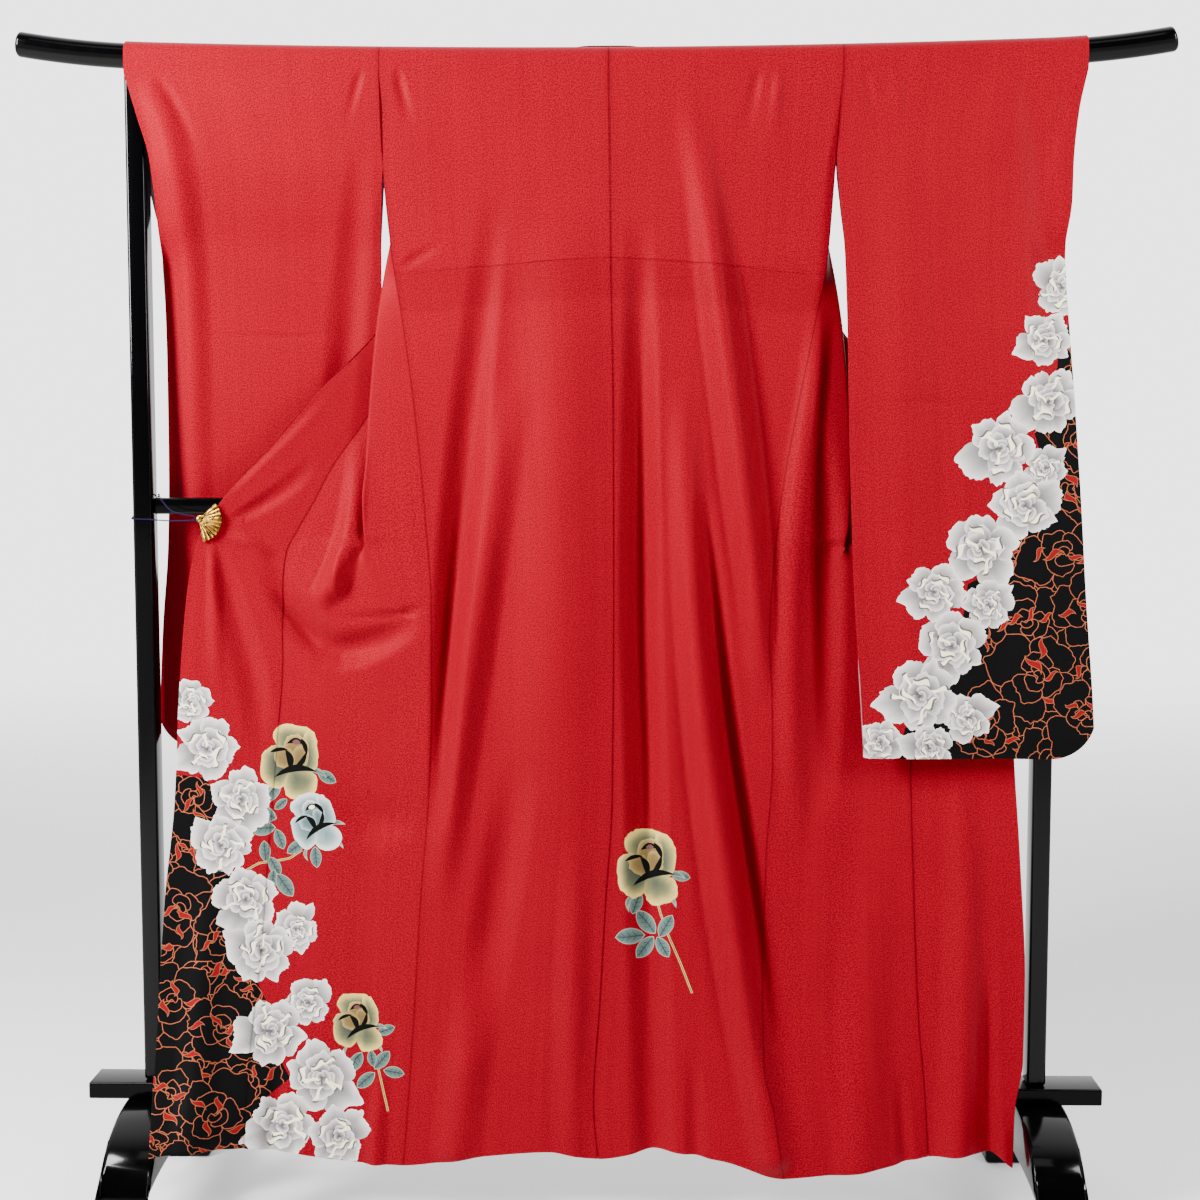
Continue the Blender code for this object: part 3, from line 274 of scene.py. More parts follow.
SLEEVE = {
    Side.LEFT: table(
        Cuff,
        (1620, -314, -667, -19.3, 19.5, -667), (1563, -312, -650, -22.5, 21.5, -660),
        (1500, -309.5, -633, -21.5, 22.5, -652), (1440, -312.5, -628, -13, 24.5, -640),
        (1380, -316, -626, 0, 28, -628), (1260, -317, -625, 11, 35, -625), (1150, -316, -626, 16, 39, -626),
        (1050, -315, -628, 21, 43, -628), (950, -313, -633, 27, 47, -633), (850, -312, -642, 29, 48, -642),
        (668, -310, -652, 30, 46, -652),
    ),
    Side.RIGHT: table(
        Cuff,
        (1620, 324, 657, -19.3, 19.5, 655), (1565, 320, 645, -23, 22.5, 628),
        (1500, 314.7, 637, -31, 14, 585), (1436, 319, 633, -42, -3, 580), (1380, 324, 625, -51, -20, 590),
        (1320, 326, 626, -61, -36, 608), (1260, 327.5, 629, -69, -49, 626), (1168, 329, 636, -76, -57, 636),
        (1020, 334, 648, -78, -59, 648), (894, 340, 657, -78, -60, 657), (756, 351, 669, -77, -61, 669),
        (675, 356, 674, -76, -62, 674),
    ),
}
HEM = table(
    Hem,
    (-618, 142), (-585, 139), (-511, 120), (-420, 101), (-360, 90), (-289, 86), (-189, 98), (-78, 106),
    (-11, 97), (71, 110), (161, 100), (252, 78), (391, 89), (457, 101), (541, 110), (573, 91),
)
BODY_FOLDS = fold_table(
    back_plateau=(
        (-70, 1450, 0, 70), (-60, 1200, 10, 80), (-65, 900, 13, 90), (-75, 600, 10, 95), (-65, 200, 0, 80),
    ),
    left_hollow=(
        (-150, 1460, 0, 25), (-174, 1280, -7, 30), (-196, 1100, -14, 34), (-213, 920, -17, 32),
        (-226, 720, -12, 26), (-236, 550, 0, 20),
    ),
    left_ridge=(
        (-130, 1200, 0, 35), (-155, 1040, 9, 36), (-183, 860, 14, 38), (-212, 660, 13, 36),
        (-238, 450, 0, 30),
    ),
    left_low_hollow=((-118, 680, 0, 35), (-148, 500, -11, 40), (-172, 360, -10, 38), (-190, 240, 0, 30)),
    left_low_ridge=((-165, 420, 0, 35), (-190, 280, 10, 40), (-214, 110, 9, 42)),
    centre_low_ridge=((-42, 560, 0, 25), (-48, 320, 7, 32), (-50, 100, 4, 32)),
    centre_hollow=(
        (46, 1420, 0, 24), (46, 1200, -15, 30), (47, 900, -23, 34), (54, 670, -22, 35), (60, 400, -16, 36),
        (68, 100, -13, 36),
    ),
    right_ridge=(
        (112, 1590, 0, 28), (140, 1420, 11, 34), (160, 1270, 18, 37), (185, 1080, 21, 36),
        (206, 900, 15, 30), (220, 750, 0, 22),
    ),
    right_low_ridge=(
        (104, 1200, 0, 28), (112, 1020, 10, 30), (122, 850, 16, 32), (140, 680, 21, 35), (170, 480, 24, 39),
        (203, 280, 20, 40), (234, 110, 12, 40),
    ),
    right_low_hollow=(
        (132, 1040, 0, 20), (148, 880, -10, 23), (166, 720, -14, 24), (192, 540, -14, 25),
        (216, 340, -7, 22), (226, 230, 0, 20),
    ),
    left_flap_roll=((-344, 1120, 0, 22), (-357, 1000, 8, 25), (-380, 920, 12, 27), (-408, 880, 0, 22)),
    left_flap_pocket=(
        (-478, 960, 0, 26), (-436, 870, -10, 32), (-373, 820, -14, 34), (-305, 840, -8, 30),
        (-262, 875, 0, 22),
    ),
    left_flap_sag=((-420, 660, 0, 40), (-335, 580, -10, 48), (-272, 565, 0, 30)),
    left_clip_crease=((-546, 965, 0, 16), (-524, 880, -8, 24), (-496, 770, -6, 28), (-482, 660, 0, 26)),
    left_hem_wave=((-555, 520, 0, 30), (-570, 320, 10, 36), (-572, 130, 12, 36)),
    right_flap_ridge=(
        (296, 1300, 0, 20), (284, 1190, 8, 26), (266, 1050, 10, 28), (256, 880, 8, 28), (258, 700, 6, 26),
        (270, 540, 0, 22),
    ),
    right_flap_hollow=((298, 1140, 0, 20), (307, 950, -9, 30), (305, 700, -7, 30), (300, 580, 0, 24)),
    right_hem_wave=((375, 560, 0, 40), (365, 330, 7, 50), (360, 90, 9, 50)),
    right_overlap_ridge=((492, 700, 0, 28), (503, 460, 8, 34), (496, 100, 12, 36)),
    right_overlap_hollow=((540, 400, 0, 18), (537, 240, -8, 20), (545, 100, -9, 22)),
)
SLEEVE_FOLDS = {
    Side.LEFT: fold_table(
        roll=(
            (-640, 1610, 0, 22), (-606, 1530, 6, 30), (-592, 1420, 8, 34), (-590, 1200, 7, 34),
            (-592, 900, 0, 30),
        ),
        hollow=((-340, 1520, 0, 20), (-354, 1380, -5, 30), (-370, 1240, -6, 34), (-390, 1050, 0, 30)),
        low_ridge=((-470, 1100, 0, 40), (-480, 880, 4, 50), (-490, 680, 3, 50)),
    ),
    Side.RIGHT: fold_table(
        edge_hollow=((570, 1620, 0, 25), (592, 1500, -5, 34), (596, 1360, -4, 36), (600, 1200, 0, 30)),
        long_ridge=((400, 1560, 0, 40), (405, 1300, 4, 50), (415, 980, 4, 55), (430, 680, 2, 55)),
        low_hollow=((520, 1150, 0, 40), (535, 900, -4, 50), (540, 680, -3, 50)),
    ),
}
THREAD_ROUTE = table(
    Step,
    (-566, -39, 1002), (-590, -32, 1001), (-617, -22, 1002), (-625, -19.5, 1002.5), (-644, -19.5, 1003),
    (-649.5, -17, 1003.5), (-650.4, -10, 1005), (-650.4, 10, 1012), (-649, 17.5, 1016), (-643, 19.5, 1019),
    (-627, 19.5, 1028), (-620.5, 18, 1034), (-617.5, 11, 1037), (-613, -10, 1037), (-603, -24, 1027),
    (-586, -34, 1013), (-566, -40, 1007),
)

# Finer creases than the solids carry
BODY_CREASES = fold_table(
    left_pocket_crease=((-470, 905, 0, 10), (-452, 880, -3, 11), (-425, 845, -4, 13), (-402, 815, 0, 12)),
    left_level_crease=((-372, 868, 0, 10), (-330, 866, -3, 12), (-285, 872, -3.5, 11), (-252, 880, 0, 9)),
    left_bright_roll=((-372, 968, 0, 12), (-378, 930, 4, 13), (-372, 890, 0, 12)),
    left_pull_upper=((-545, 1030, 0, 10), (-500, 1075, -3, 14), (-445, 1130, -3, 16), (-395, 1180, 0, 14)),
    left_pull_middle=((-530, 1000, 0, 10), (-490, 1020, -4, 15), (-445, 1050, -3, 18), (-410, 1085, 0, 14)),
    left_pull_ridge=((-535, 985, 0, 10), (-500, 972, 4, 15), (-470, 950, 0, 14)),
    left_pull_down=((-552, 975, 0, 9), (-550, 930, 3.5, 12), (-548, 860, 3, 15), (-545, 760, 0, 16)),
    left_shoulder_gather=((-350, 1622, 0, 8), (-352, 1600, -3, 9), (-356, 1565, 0, 8)),
    left_neck_gather=((-290, 1624, 0, 9), (-284, 1598, -2.8, 11), (-270, 1545, 0, 12)),
    right_neck_gather=((208, 1624, 0, 10), (203, 1596, -3, 12), (190, 1530, 0, 14)),
    right_neck_ridge=((236, 1622, 0, 10), (234, 1590, 2.6, 12), (228, 1520, 0, 16)),
    right_side_pull=((292, 1330, 0, 10), (270, 1345, -2.2, 12), (230, 1362, 0, 12)),
    left_side_pull=((-288, 1350, 0, 10), (-262, 1366, -2.2, 12), (-225, 1384, 0, 12)),
    hem_ripple_left=((-320, 230, 0, 14), (-326, 150, 4, 18), (-330, 88, 5, 20)),
    hem_ripple_flap=((-462, 260, 0, 14), (-470, 170, -4.5, 18), (-474, 104, -5, 20)),
    hem_ripple_right=((120, 260, 0, 14), (126, 170, -4, 18), (128, 100, -5, 20)),
    hem_ripple_far_right=((415, 230, 0, 12), (420, 150, -3.5, 16), (424, 92, -4.5, 18)),
)
SLEEVE_CREASES = {
    Side.LEFT: fold_table(
        upper_rest=((-360, 1262, 0, 7), (-460, 1258, -1, 8), (-580, 1262, 0, 7)),
        gather=((-338, 1622, 0, 8), (-345, 1600, -2.6, 10), (-358, 1550, 0, 10)),
        shoulder_pull=((-628, 1618, 0, 10), (-600, 1580, -2.6, 13), (-562, 1500, 0, 14)),
        low_rest=((-400, 945, 0, 7), (-500, 940, -0.9, 8), (-600, 944, 0, 7)),
    ),
    Side.RIGHT: fold_table(
        upper_rest=((365, 1166, 0, 6), (450, 1163, -1.1, 7), (560, 1165, 0, 6)),
        low_rest=((360, 922, 0, 6), (440, 918, -1, 7), (520, 921, 0, 6)),
        gather=((350, 1622, 0, 10), (356, 1596, -2.8, 12), (372, 1530, 0, 14)),
        gather_ridge=((395, 1622, 0, 12), (398, 1590, 2.2, 14), (402, 1510, 0, 16)),
        wrist_pull=((640, 1600, 0, 10), (618, 1550, -2.6, 14), (596, 1470, 0, 16)),
    ),
}


def monotone(knots: Sequence[float], values: Array, at: Array) -> Array:
    """Values on a smooth curve that never swings past its knots.

    Args:
        knots: Rising places of the values.
        values: One value for each knot, or a row of them for each place asked for.
        at: Places asked for, held at the end values outside the knots.

    Returns:
        An array of the shape of at.
    """
    knots = np.asarray(knots, float)
    values = np.asarray(values, float)
    at = np.clip(np.asarray(at, float), knots[0], knots[-1])
    gap = np.diff(knots)
    slope = np.diff(values, axis=-1) / gap
    before, after = slope[..., :-1], slope[..., 1:]
    same_way = before * after > 0
    total = np.where(same_way, before + after, 1.0)
    inner = np.where(same_way, 2 * before * after / total, 0.0)
    tangent = np.concatenate([slope[..., :1], inner, slope[..., -1:]], axis=-1)
    cell = np.clip(np.searchsorted(knots, at, side="right") - 1, 0, len(gap) - 1)
    t = (at - knots[cell]) / gap[cell]

    def pick(found: Array, index: Array) -> Array:
        """One value of each row, or of the only row.

        Args:
            found: The values.
            index: Which of them.

        Returns:
            The values picked.
        """
        if found.ndim == 1:
            return found[index]
        return np.take_along_axis(found, index[..., None], axis=-1)[..., 0]

    return (
        pick(values, cell) * (2 * t**3 - 3 * t**2 + 1)
        + pick(tangent, cell) * gap[cell] * (t**3 - 2 * t**2 + t)
        + pick(values, cell + 1) * (3 * t**2 - 2 * t**3)
        + pick(tangent, cell + 1) * gap[cell] * (t**3 - t**2)
    )


def column(rows: Sequence[NamedTuple], name: str, z: Array) -> Array:
    """One named column of a table with a row for each height, at the heights z."""
    ordered = sorted(rows, key=lambda row: row.z)
    return monotone([row.z for row in ordered], [getattr(row, name) for row in ordered], z)


def ease(share: Array) -> Array:
    """0 to 1 with a soft start and end."""
    share = np.clip(share, 0.0, 1.0)
    return share * share * (3 - 2 * share)


def fold_line(rows: Sequence[Fold], pieces: int = 4) -> list[Fold]:
    """The fold's rows with smooth ones between them.

    Args:
        rows: Points of the fold.
        pieces: Rows made from each one.

    Returns:
        The rows.
    """
    steps = np.linspace(0, len(rows) - 1, pieces * (len(rows) - 1) + 1)
    columns = [monotone(range(len(rows)), values, steps) for values in zip(*rows)]
    return [Fold(*values) for values in zip(*columns)]


def lift(folds: dict[str, list[Fold]], x: Array, z: Array) -> Array:
    """How far the folds carry the cloth towards the viewer at each place.

    Args:
        folds: Named folds.
        x: Places across the robe.
        z: Heights.

    Returns:
        The lift at each place.
    """
    total = np.zeros(np.broadcast(x, z).shape)
    for rows in folds.values():
        line = fold_line(rows)
        reach = max(row.reach for row in line)
        near = (
            (x > min(row.x for row in line) - reach)
            & (x < max(row.x for row in line) + reach)
            & (z > min(row.z for row in line) - reach)
            & (z < max(row.z for row in line) + reach)
        )
        px, pz = x[near], z[near]
        nearest, height = np.full(px.shape, 1.0), np.zeros(px.shape)
        for a, b in zip(line, line[1:]):
            run, drop = b.x - a.x, b.z - a.z
            share = np.clip(((px - a.x) * run + (pz - a.z) * drop) / (run**2 + drop**2), 0, 1)
            reach = a.reach + share * (b.reach - a.reach)
            away = np.hypot(px - a.x - share * run, pz - a.z - share * drop) / reach
            closer = away < nearest
            nearest = np.where(closer, away, nearest)
            height = np.where(closer, a.lift + share * (b.lift - a.lift), height)
        total[near] += height * np.cos(math.pi / 2 * nearest) ** 2
    return total


def unit(ways: Array) -> Array:
    """Each row made one long."""
    return ways / np.maximum(np.linalg.norm(ways, axis=-1, keepdims=True), 1e-9)


def run_along(line: Array) -> Array:
    """Distance of each point of a line from its first."""
    return np.concatenate([[0], np.cumsum(np.linalg.norm(np.diff(line, axis=0), axis=1))])


def placed(name: str, data: bpy.types.ID) -> bpy.types.Object:
    """A new object of the scene."""
    made = bpy.data.objects.new(name, data)
    bpy.context.scene.collection.objects.link(made)
    return made


def rod_axis(x: Array) -> Array:
    """Height of the rod's axis at a place x of the stand."""
    beyond = np.maximum(np.abs(x) - ROD_TIP_FROM, 0.0)
    return ROD_AXIS_Z + ROD_BOW * np.square(x) + ROD_TIP_BOW * np.square(beyond)


def rod_point(x: float) -> Vector:
    """Point of the rod's axis at a place x of the stand."""
    return Vector((x, 0.0, float(rod_axis(np.array(x)))))


def rod_slope(x: float) -> float:
    """Angle of the rod's axis at a place x of the stand."""
    beyond = max(abs(x) - ROD_TIP_FROM, 0.0)
    return math.atan(2 * ROD_BOW * x + math.copysign(2 * ROD_TIP_BOW * beyond, x))


def hem_height(x: Array) -> Array:
    """Height of the robe's lower edge."""
    return monotone([row.x for row in HEM], [row.z for row in HEM], x)


def body_lift(x: Array, z: Array) -> Array:
    """Lift of the body's folds and finer creases together."""
    carried = lift(BODY_FOLDS, x, z) + CREASE_GAIN * lift(BODY_CREASES, x, z)
    return np.where(carried > 0, RIDGE_GAIN, HOLLOW_GAIN) * carried


@dataclass(frozen=True)
class Lens:
    """The camera that the photograph was taken with, as far as it can be told.

    Attributes:
        size: Width and height of the photograph in pixels.
        length: Focal length in millimetres.
        sensor: Sensor width in millimetres.
        place: Where it stands.
        down: Degrees it looks down.
        turn: Degrees it is turned to the left.
    """

    size: float = 1200.0
    length: float = 54.0
    sensor: float = 36.0
    place: tuple[float, float, float] = (0.010 + 2.54 * math.tan(math.radians(1.2)), -2.54, 1.097)
    down: float = 4.7
    turn: float = 1.2

    def turned(self) -> Euler:
        """The camera's rotation."""
        return Euler((math.radians(90 - self.down), 0.0, math.radians(self.turn)))

    def on_plane(self, px: Array, py: Array, depth: Array) -> Pair:
        """Place x and height z that a pixel shows at a depth y.

        Args:
            px: Pixels across.
            py: Pixels down.
            depth: Depths y.

        Returns:
            Places x and heights z.
        """
        scale = self.sensor / self.length / self.size
        half = self.size / 2
        ray = np.stack([(px - half) * scale, (half - py) * scale, -np.ones_like(px)], axis=-1)
        ray = ray @ np.array(self.turned().to_matrix()).T
        along = (depth - self.place[1]) / ray[..., 1]
        return self.place[0] + along * ray[..., 0], self.place[2] + along * ray[..., 2]


def hump(away: Array, half: float) -> Array:
    """1 at the middle of a round-topped rise, falling away over half its width."""
    return np.exp(-np.square(away / half))


def seam_line_and_shade(away: Array) -> Array:
    """Darkening at a distance in metres from a seam: its dark join, with painted shade in its groove and
    beside it.
    """
    return SEAM_LINE_AND_SHADE * hump(away, SEAM_HALF) + SEAM_SHADE * hump(away, SEAM_REACH)


@dataclass
class Panel:
    """A cut piece of the robe as a surface over two shares, u across it and w down it.

    Attributes:
        side: The half of the robe it is on.
        flat: Width and length it was cut to.
        beyond: -1 where it hangs towards the viewer and 1 where it hangs beyond the rod.
        crest: Share of w that lies over the rod.
        start: Share of the drop at which the piece begins.
        columns: Cells across the mesh.
        rows: Cells down the mesh.
        kind: What its node's name begins with.
    """

    side: Side
    flat: tuple[float, float]
    beyond: int
    crest: float = CREST
    start: float = 0.0
    columns: int = 84
    rows: int = 230
    kind: str = ""

    @property
    def name(self) -> str:
        """The node that the piece stands for."""
        return "%s_%s" % (self.kind, self.side.value)

    @property
    def outward(self) -> int:
        """1 where its right side is on the u by w side, and -1 where it is on the other."""
        return -self.side.sign

    def edges(self, z: Array) -> Pair:
        """Places of the piece's two long edges at a height."""
        raise NotImplementedError

    def across(self, u: Array, z: Array) -> Array:
        """Place of the share u at a height."""
        inner, outer = self.edges(z)
        return inner + (outer - inner) * u

    def share_at(self, x: Array, z: Array) -> Array:
        """The share u of a place, past 0 or 1 outside the piece."""
        inner, outer = self.edges(z)
        return (x - inner) / (outer - inner)

    def foot(self, x: Array) -> Array:
        """Height of the lower edge."""
        return hem_height(x)

    def depth(self, u: Array, x: Array, z: Array) -> Array:
        """Depth of the cloth below the rod's axis."""
        raise NotImplementedError

    def place(self, u: Array, w: Array) -> Array:
        """Points of the surface.

        Args:
            u: Shares across.
            w: Shares down.

        Returns:
            An array of points.
        """
        hanging = np.clip((w - self.crest) / (1 - self.crest), 0.0, 1.0)
        down = self.start + (1 - self.start) * hanging
        z = ROD_AXIS_Z + (FOOT_EDGE_Z - ROD_AXIS_Z) * down
        for _ in range(5):
            x = self.across(u, z)
            top = rod_axis(x + ROBE_X)
            z = top + (self.foot(x) - top) * down
        x = self.across(u, z)
        y = self.depth(u, x, z)
        over = w < self.crest
        if over.any():
            turn = w[over] / self.crest * math.pi / 2
            z[over] += CLOTH_RADIUS * np.cos(turn)
            x[over] = self.across(u[over], z[over])
            y[over] = self.beyond * CLOTH_RADIUS * np.sin(turn)
        return np.stack([x + ROBE_X, y, z], axis=-1)

    def shares(self, x: Array, z: Array) -> Pair:
        """The shares (u, w) of places on the hanging part.

        Args:
            x: Places across the robe.
            z: Heights.

        Returns:
            The shares u and w.
        """
        top = rod_axis(x + ROBE_X)
        down = (top - z) / (top - self.foot(x))
        w = self.crest + (1 - self.crest) * (down - self.start) / (1 - self.start)
        return self.share_at(x, z), w

    def ruler(self, u: Array) -> Array:
        """Distance across the cut cloth of a share u."""
        return u * self.flat[0]

    def unruler(self, distance: Array) -> Array:
        """The share u at a distance across the cut cloth."""
        return distance / self.flat[0]

    def shade(self, u: Array, w: Array) -> Array:
        """How far seams and tucks darken the cloth: a seam's dark join, and painted shade in the grooves and
        beside them.
        """
        return seam_line_and_shade(u * self.flat[0]) + seam_line_and_shade((1 - u) * self.flat[0])

    def lines(self) -> Array:
        """Shares u of the mesh's columns, closer at both edges."""
        near = np.array([0.0008, 0.002, 0.004]) / self.flat[0]
        return np.unique(np.concatenate([np.linspace(0, 1, self.columns + 1), near, 1 - near]))

    def levels(self) -> Array:
        """Shares w of the mesh's rows.

        Returns:
            Rising shares.
        """
        hanging = np.linspace(self.crest, 1, self.rows + 1)
        if not self.crest:
            return hanging
        return np.concatenate([np.linspace(0, self.crest, 9)[:-1], hanging])


@dataclass
class BackPanel(Panel):
    """A back panel, from the centre seam across to the side seam.

    Attributes:
        tuck: Share of the drop at which the small tuck under the shoulders lies.
        sag: How far the tuck's line falls towards the side seam.
        step: How far the cloth stands out under the tuck.
        groove: Depth of the tuck's line.
        shaded_band: Width of the band below the tuck's line where the cloth lies doubled and painted shade
            darkens it.
        dark: How far painted shade darkens the cloth along the tuck's line.
        dim: How far painted shade darkens the doubled band.
    """

    kind: str = "back"
    flat: tuple[float, float] = (0.310, 1.570)
    beyond: int = -1
    tuck: float = 0.176
    sag: float = 0.022
    step: float = 0.0005
    groove: float = 0.0008
    shaded_band: float = 0.052
    dark: float = 0.26
    dim: float = 0.09

    def edges(self, z: Array) -> Pair:
        """Places of the centre seam and the side seam."""
        inner = column(CENTRE_SEAM, "x", z) + self.side.sign * MEETING / 2
        return inner, column(SIDE_SEAM[self.side], "x", z) - self.side.sign * (MEETING / 2 - SEAM_LAP)

    def depth(self, u: Array, x: Array, z: Array) -> Array:
        """Between the seams' depths, with the body's folds and the small tuck under the shoulders.

        Args:
            u: Shares across.
            x: Places across the robe.
            z: Heights.

        Returns:
            Depths y.
        """
        inner, outer = column(CENTRE_SEAM, "y", z), column(SIDE_SEAM[self.side], "y", z)
        drop = ROD_AXIS_Z - z
        line = (ROD_AXIS_Z - FOOT_EDGE_Z) * self.tuck + self.sag * np.abs(x) / 0.3
        step = self.step * ease((drop - line) / 0.0022) * (1 - ease((drop - line) / 0.030))
        groove = self.groove * hump(drop - line, 0.0012)
        return inner + (outer - inner) * u - body_lift(x, z) - step + groove

    def shade(self, u: Array, w: Array) -> Array:
        """The seams, with painted shade at the tuck's line and on the doubled cloth below and above it.

        Args:
            u: Shares across.
            w: Shares down.

        Returns:
            Darkening of 0 to 1.
        """
        # painted shade along the tuck's line and on the doubled band below it
        away = (w - self._tuck_row()) * self.flat[1] - self.sag * u
        line = self.dark * hump(away, SEAM_HALF)
        shaded_band = self.dim * ease((away + 0.001) / 0.002) * (1 - ease((away - self.shaded_band) / 0.004))
        return np.clip(super().shade(u, w) + line + shaded_band, 0, 0.9)

    def _tuck_row(self) -> float:
        """The share w of the tuck's line."""
        return self.crest + (1 - self.crest) * self.tuck

    def levels(self) -> Array:
        """Rows with closer ones at the tuck."""
        near = self._tuck_row() + np.linspace(-0.003, 0.018, 60)
        return np.unique(np.concatenate([super().levels(), near]))


@dataclass
class FrontPanel(Panel):
    """A front body panel, from the side seam through its fold and tuck to the overlap's seam."""

    kind: str = "front"
    flat: tuple[float, float] = (0.260, 1.570)
    beyond: int = 1

    def section(self, z: Array) -> Pair:
        """Places and depths of the section's lines at each height.

        Args:
            z: Heights.

        Returns:
            Places x and depths y, with a row for each height.
        """
        rows, seam_rows, sign = FRONT[self.side], SIDE_SEAM[self.side], self.side.sign
        foot = ARMHOLE_FOOT[self.side]
        seam_y = column(seam_rows, "y", z)
        armhole = [(foot, float(column(seam_rows, "y", foot)))] + FRONT_ARMHOLE_Y[::-1]
        armhole_y = monotone([row[0] for row in armhole], [row[1] for row in armhole], z)
        turned = ease((z - foot - ARMHOLE_TURN + 0.010) / 0.020)
        seam = column(seam_rows, "x", z) + sign * (MEETING / 2 - SEAM_LAP) * (1 - 2 * turned)
        out, tuck, okumi = (column(rows, name, z) for name in ("out", "tuck", "okumi"))
        y_out, y_tuck, y_okumi = (column(rows, "y_" + name, z) for name in ("out", "tuck", "okumi"))
        ways = [np.clip(run / TURN_FADE, -1, 1) for run in (out - seam, tuck - out, okumi - tuck)]
        x, y = [seam], [np.where(z > foot, armhole_y, seam_y)]
        for place, depth, before, after in ((out, y_out, *ways[:2]), (tuck, y_tuck, *ways[1:])):
            bend = TURN * np.maximum(0.0, -before * after)
            for angle in TURN_ANGLES:
                out_of = TURN * (1 - math.cos(math.radians(angle)))
                x.append(place + out_of * (after if angle > 0 else -before))
                y.append(depth + bend * math.sin(math.radians(angle)))
        return np.stack(x + [okumi], axis=-1), np.stack(y + [y_okumi], axis=-1)

    def across(self, u: Array, z: Array) -> Array:
        """Place of the share u at a height."""
        return monotone(FRONT_LINES, self.section(z)[0], u)

    def share_at(self, x: Array, z: Array) -> Array:
        """The share u of a place on the lower part, where the cloth lies single.

        Args:
            x: Places across the robe.
            z: Heights.

        Returns:
            Shares across.
        """
        tries = np.linspace(0, 1, 81)
        places = self.side.sign * np.stack([self.across(np.full(z.shape, u), z) for u in tries])
        places = np.maximum.accumulate(places, axis=0)
        at = self.side.sign * x
        found = [np.interp(value, places[:, i], tries) for i, value in enumerate(at)]
        width = np.maximum(places[-1] - places[0], 0.05)
        past, before = np.maximum(at - places[-1], 0) / width, np.maximum(places[0] - at, 0) / width
        return np.array(found) + past - before

    def depth(self, u: Array, x: Array, z: Array) -> Array:
        """Depth of the section with the body's folds."""
        return monotone(FRONT_LINES, self.section(z)[1], u) - body_lift(x, z)

    def _rule(self) -> Array:
        """Distances across of the section's lines, with the narrow turns drawn close together."""
        steps = np.where(np.diff(FRONT_LINES) < 0.03, 0.0004, np.diff(FRONT_LINES) * self.flat[0] * 1.18)
        return np.concatenate([[0.0], np.cumsum(steps)])

    def ruler(self, u: Array) -> Array:
        """Distance across of a share u."""
        return np.interp(u, FRONT_LINES, self._rule())

    def unruler(self, distance: Array) -> Array:
        """The share u at a distance across."""
        return np.interp(distance, self._rule(), FRONT_LINES)

    def lines(self) -> Array:
        """Columns with closer ones at the fold and the tuck."""
        turns = np.concatenate([np.linspace(a, a + 0.08, 17) for a in (0.26, 0.58)])
        return np.unique(np.round(np.concatenate([super().lines(), turns]), 5))


@dataclass
class OverlapPanel(Panel):
    """An overlap panel, from its seam on the front body to the free edge."""

    kind: str = "okumi"
    flat: tuple[float, float] = (0.150, 1.300)
    beyond: int = 1
    crest: float = 0.0
    start: float = POINT_START
    columns: int = 36
    rows: int = 200

    def edges(self, z: Array) -> Pair:
        """Places of its seam and its free edge, which meet in a blunt point at the top.

        Args:
            z: Heights.

        Returns:
            Places of the inner and the outer edge.
        """
        sign = self.side.sign
        inner = column(FRONT[self.side], "okumi", z) + sign * MEETING
        outer = column(FREE_EDGE[self.side], "x", z)
        return inner, np.where(sign * (outer - inner) < 0.004, inner + sign * 0.004, outer)

    def shade(self, u: Array, w: Array) -> Array:
        """Its seam on the front."""
        return seam_line_and_shade(u * self.flat[0])

    def depth(self, u: Array, x: Array, z: Array) -> Array:
        """Between its edges' depths, with the body's folds."""
        inner, outer = column(FRONT[self.side], "y_okumi", z), column(FREE_EDGE[self.side], "y", z)
        return inner + (outer - inner) * u - body_lift(x, z)


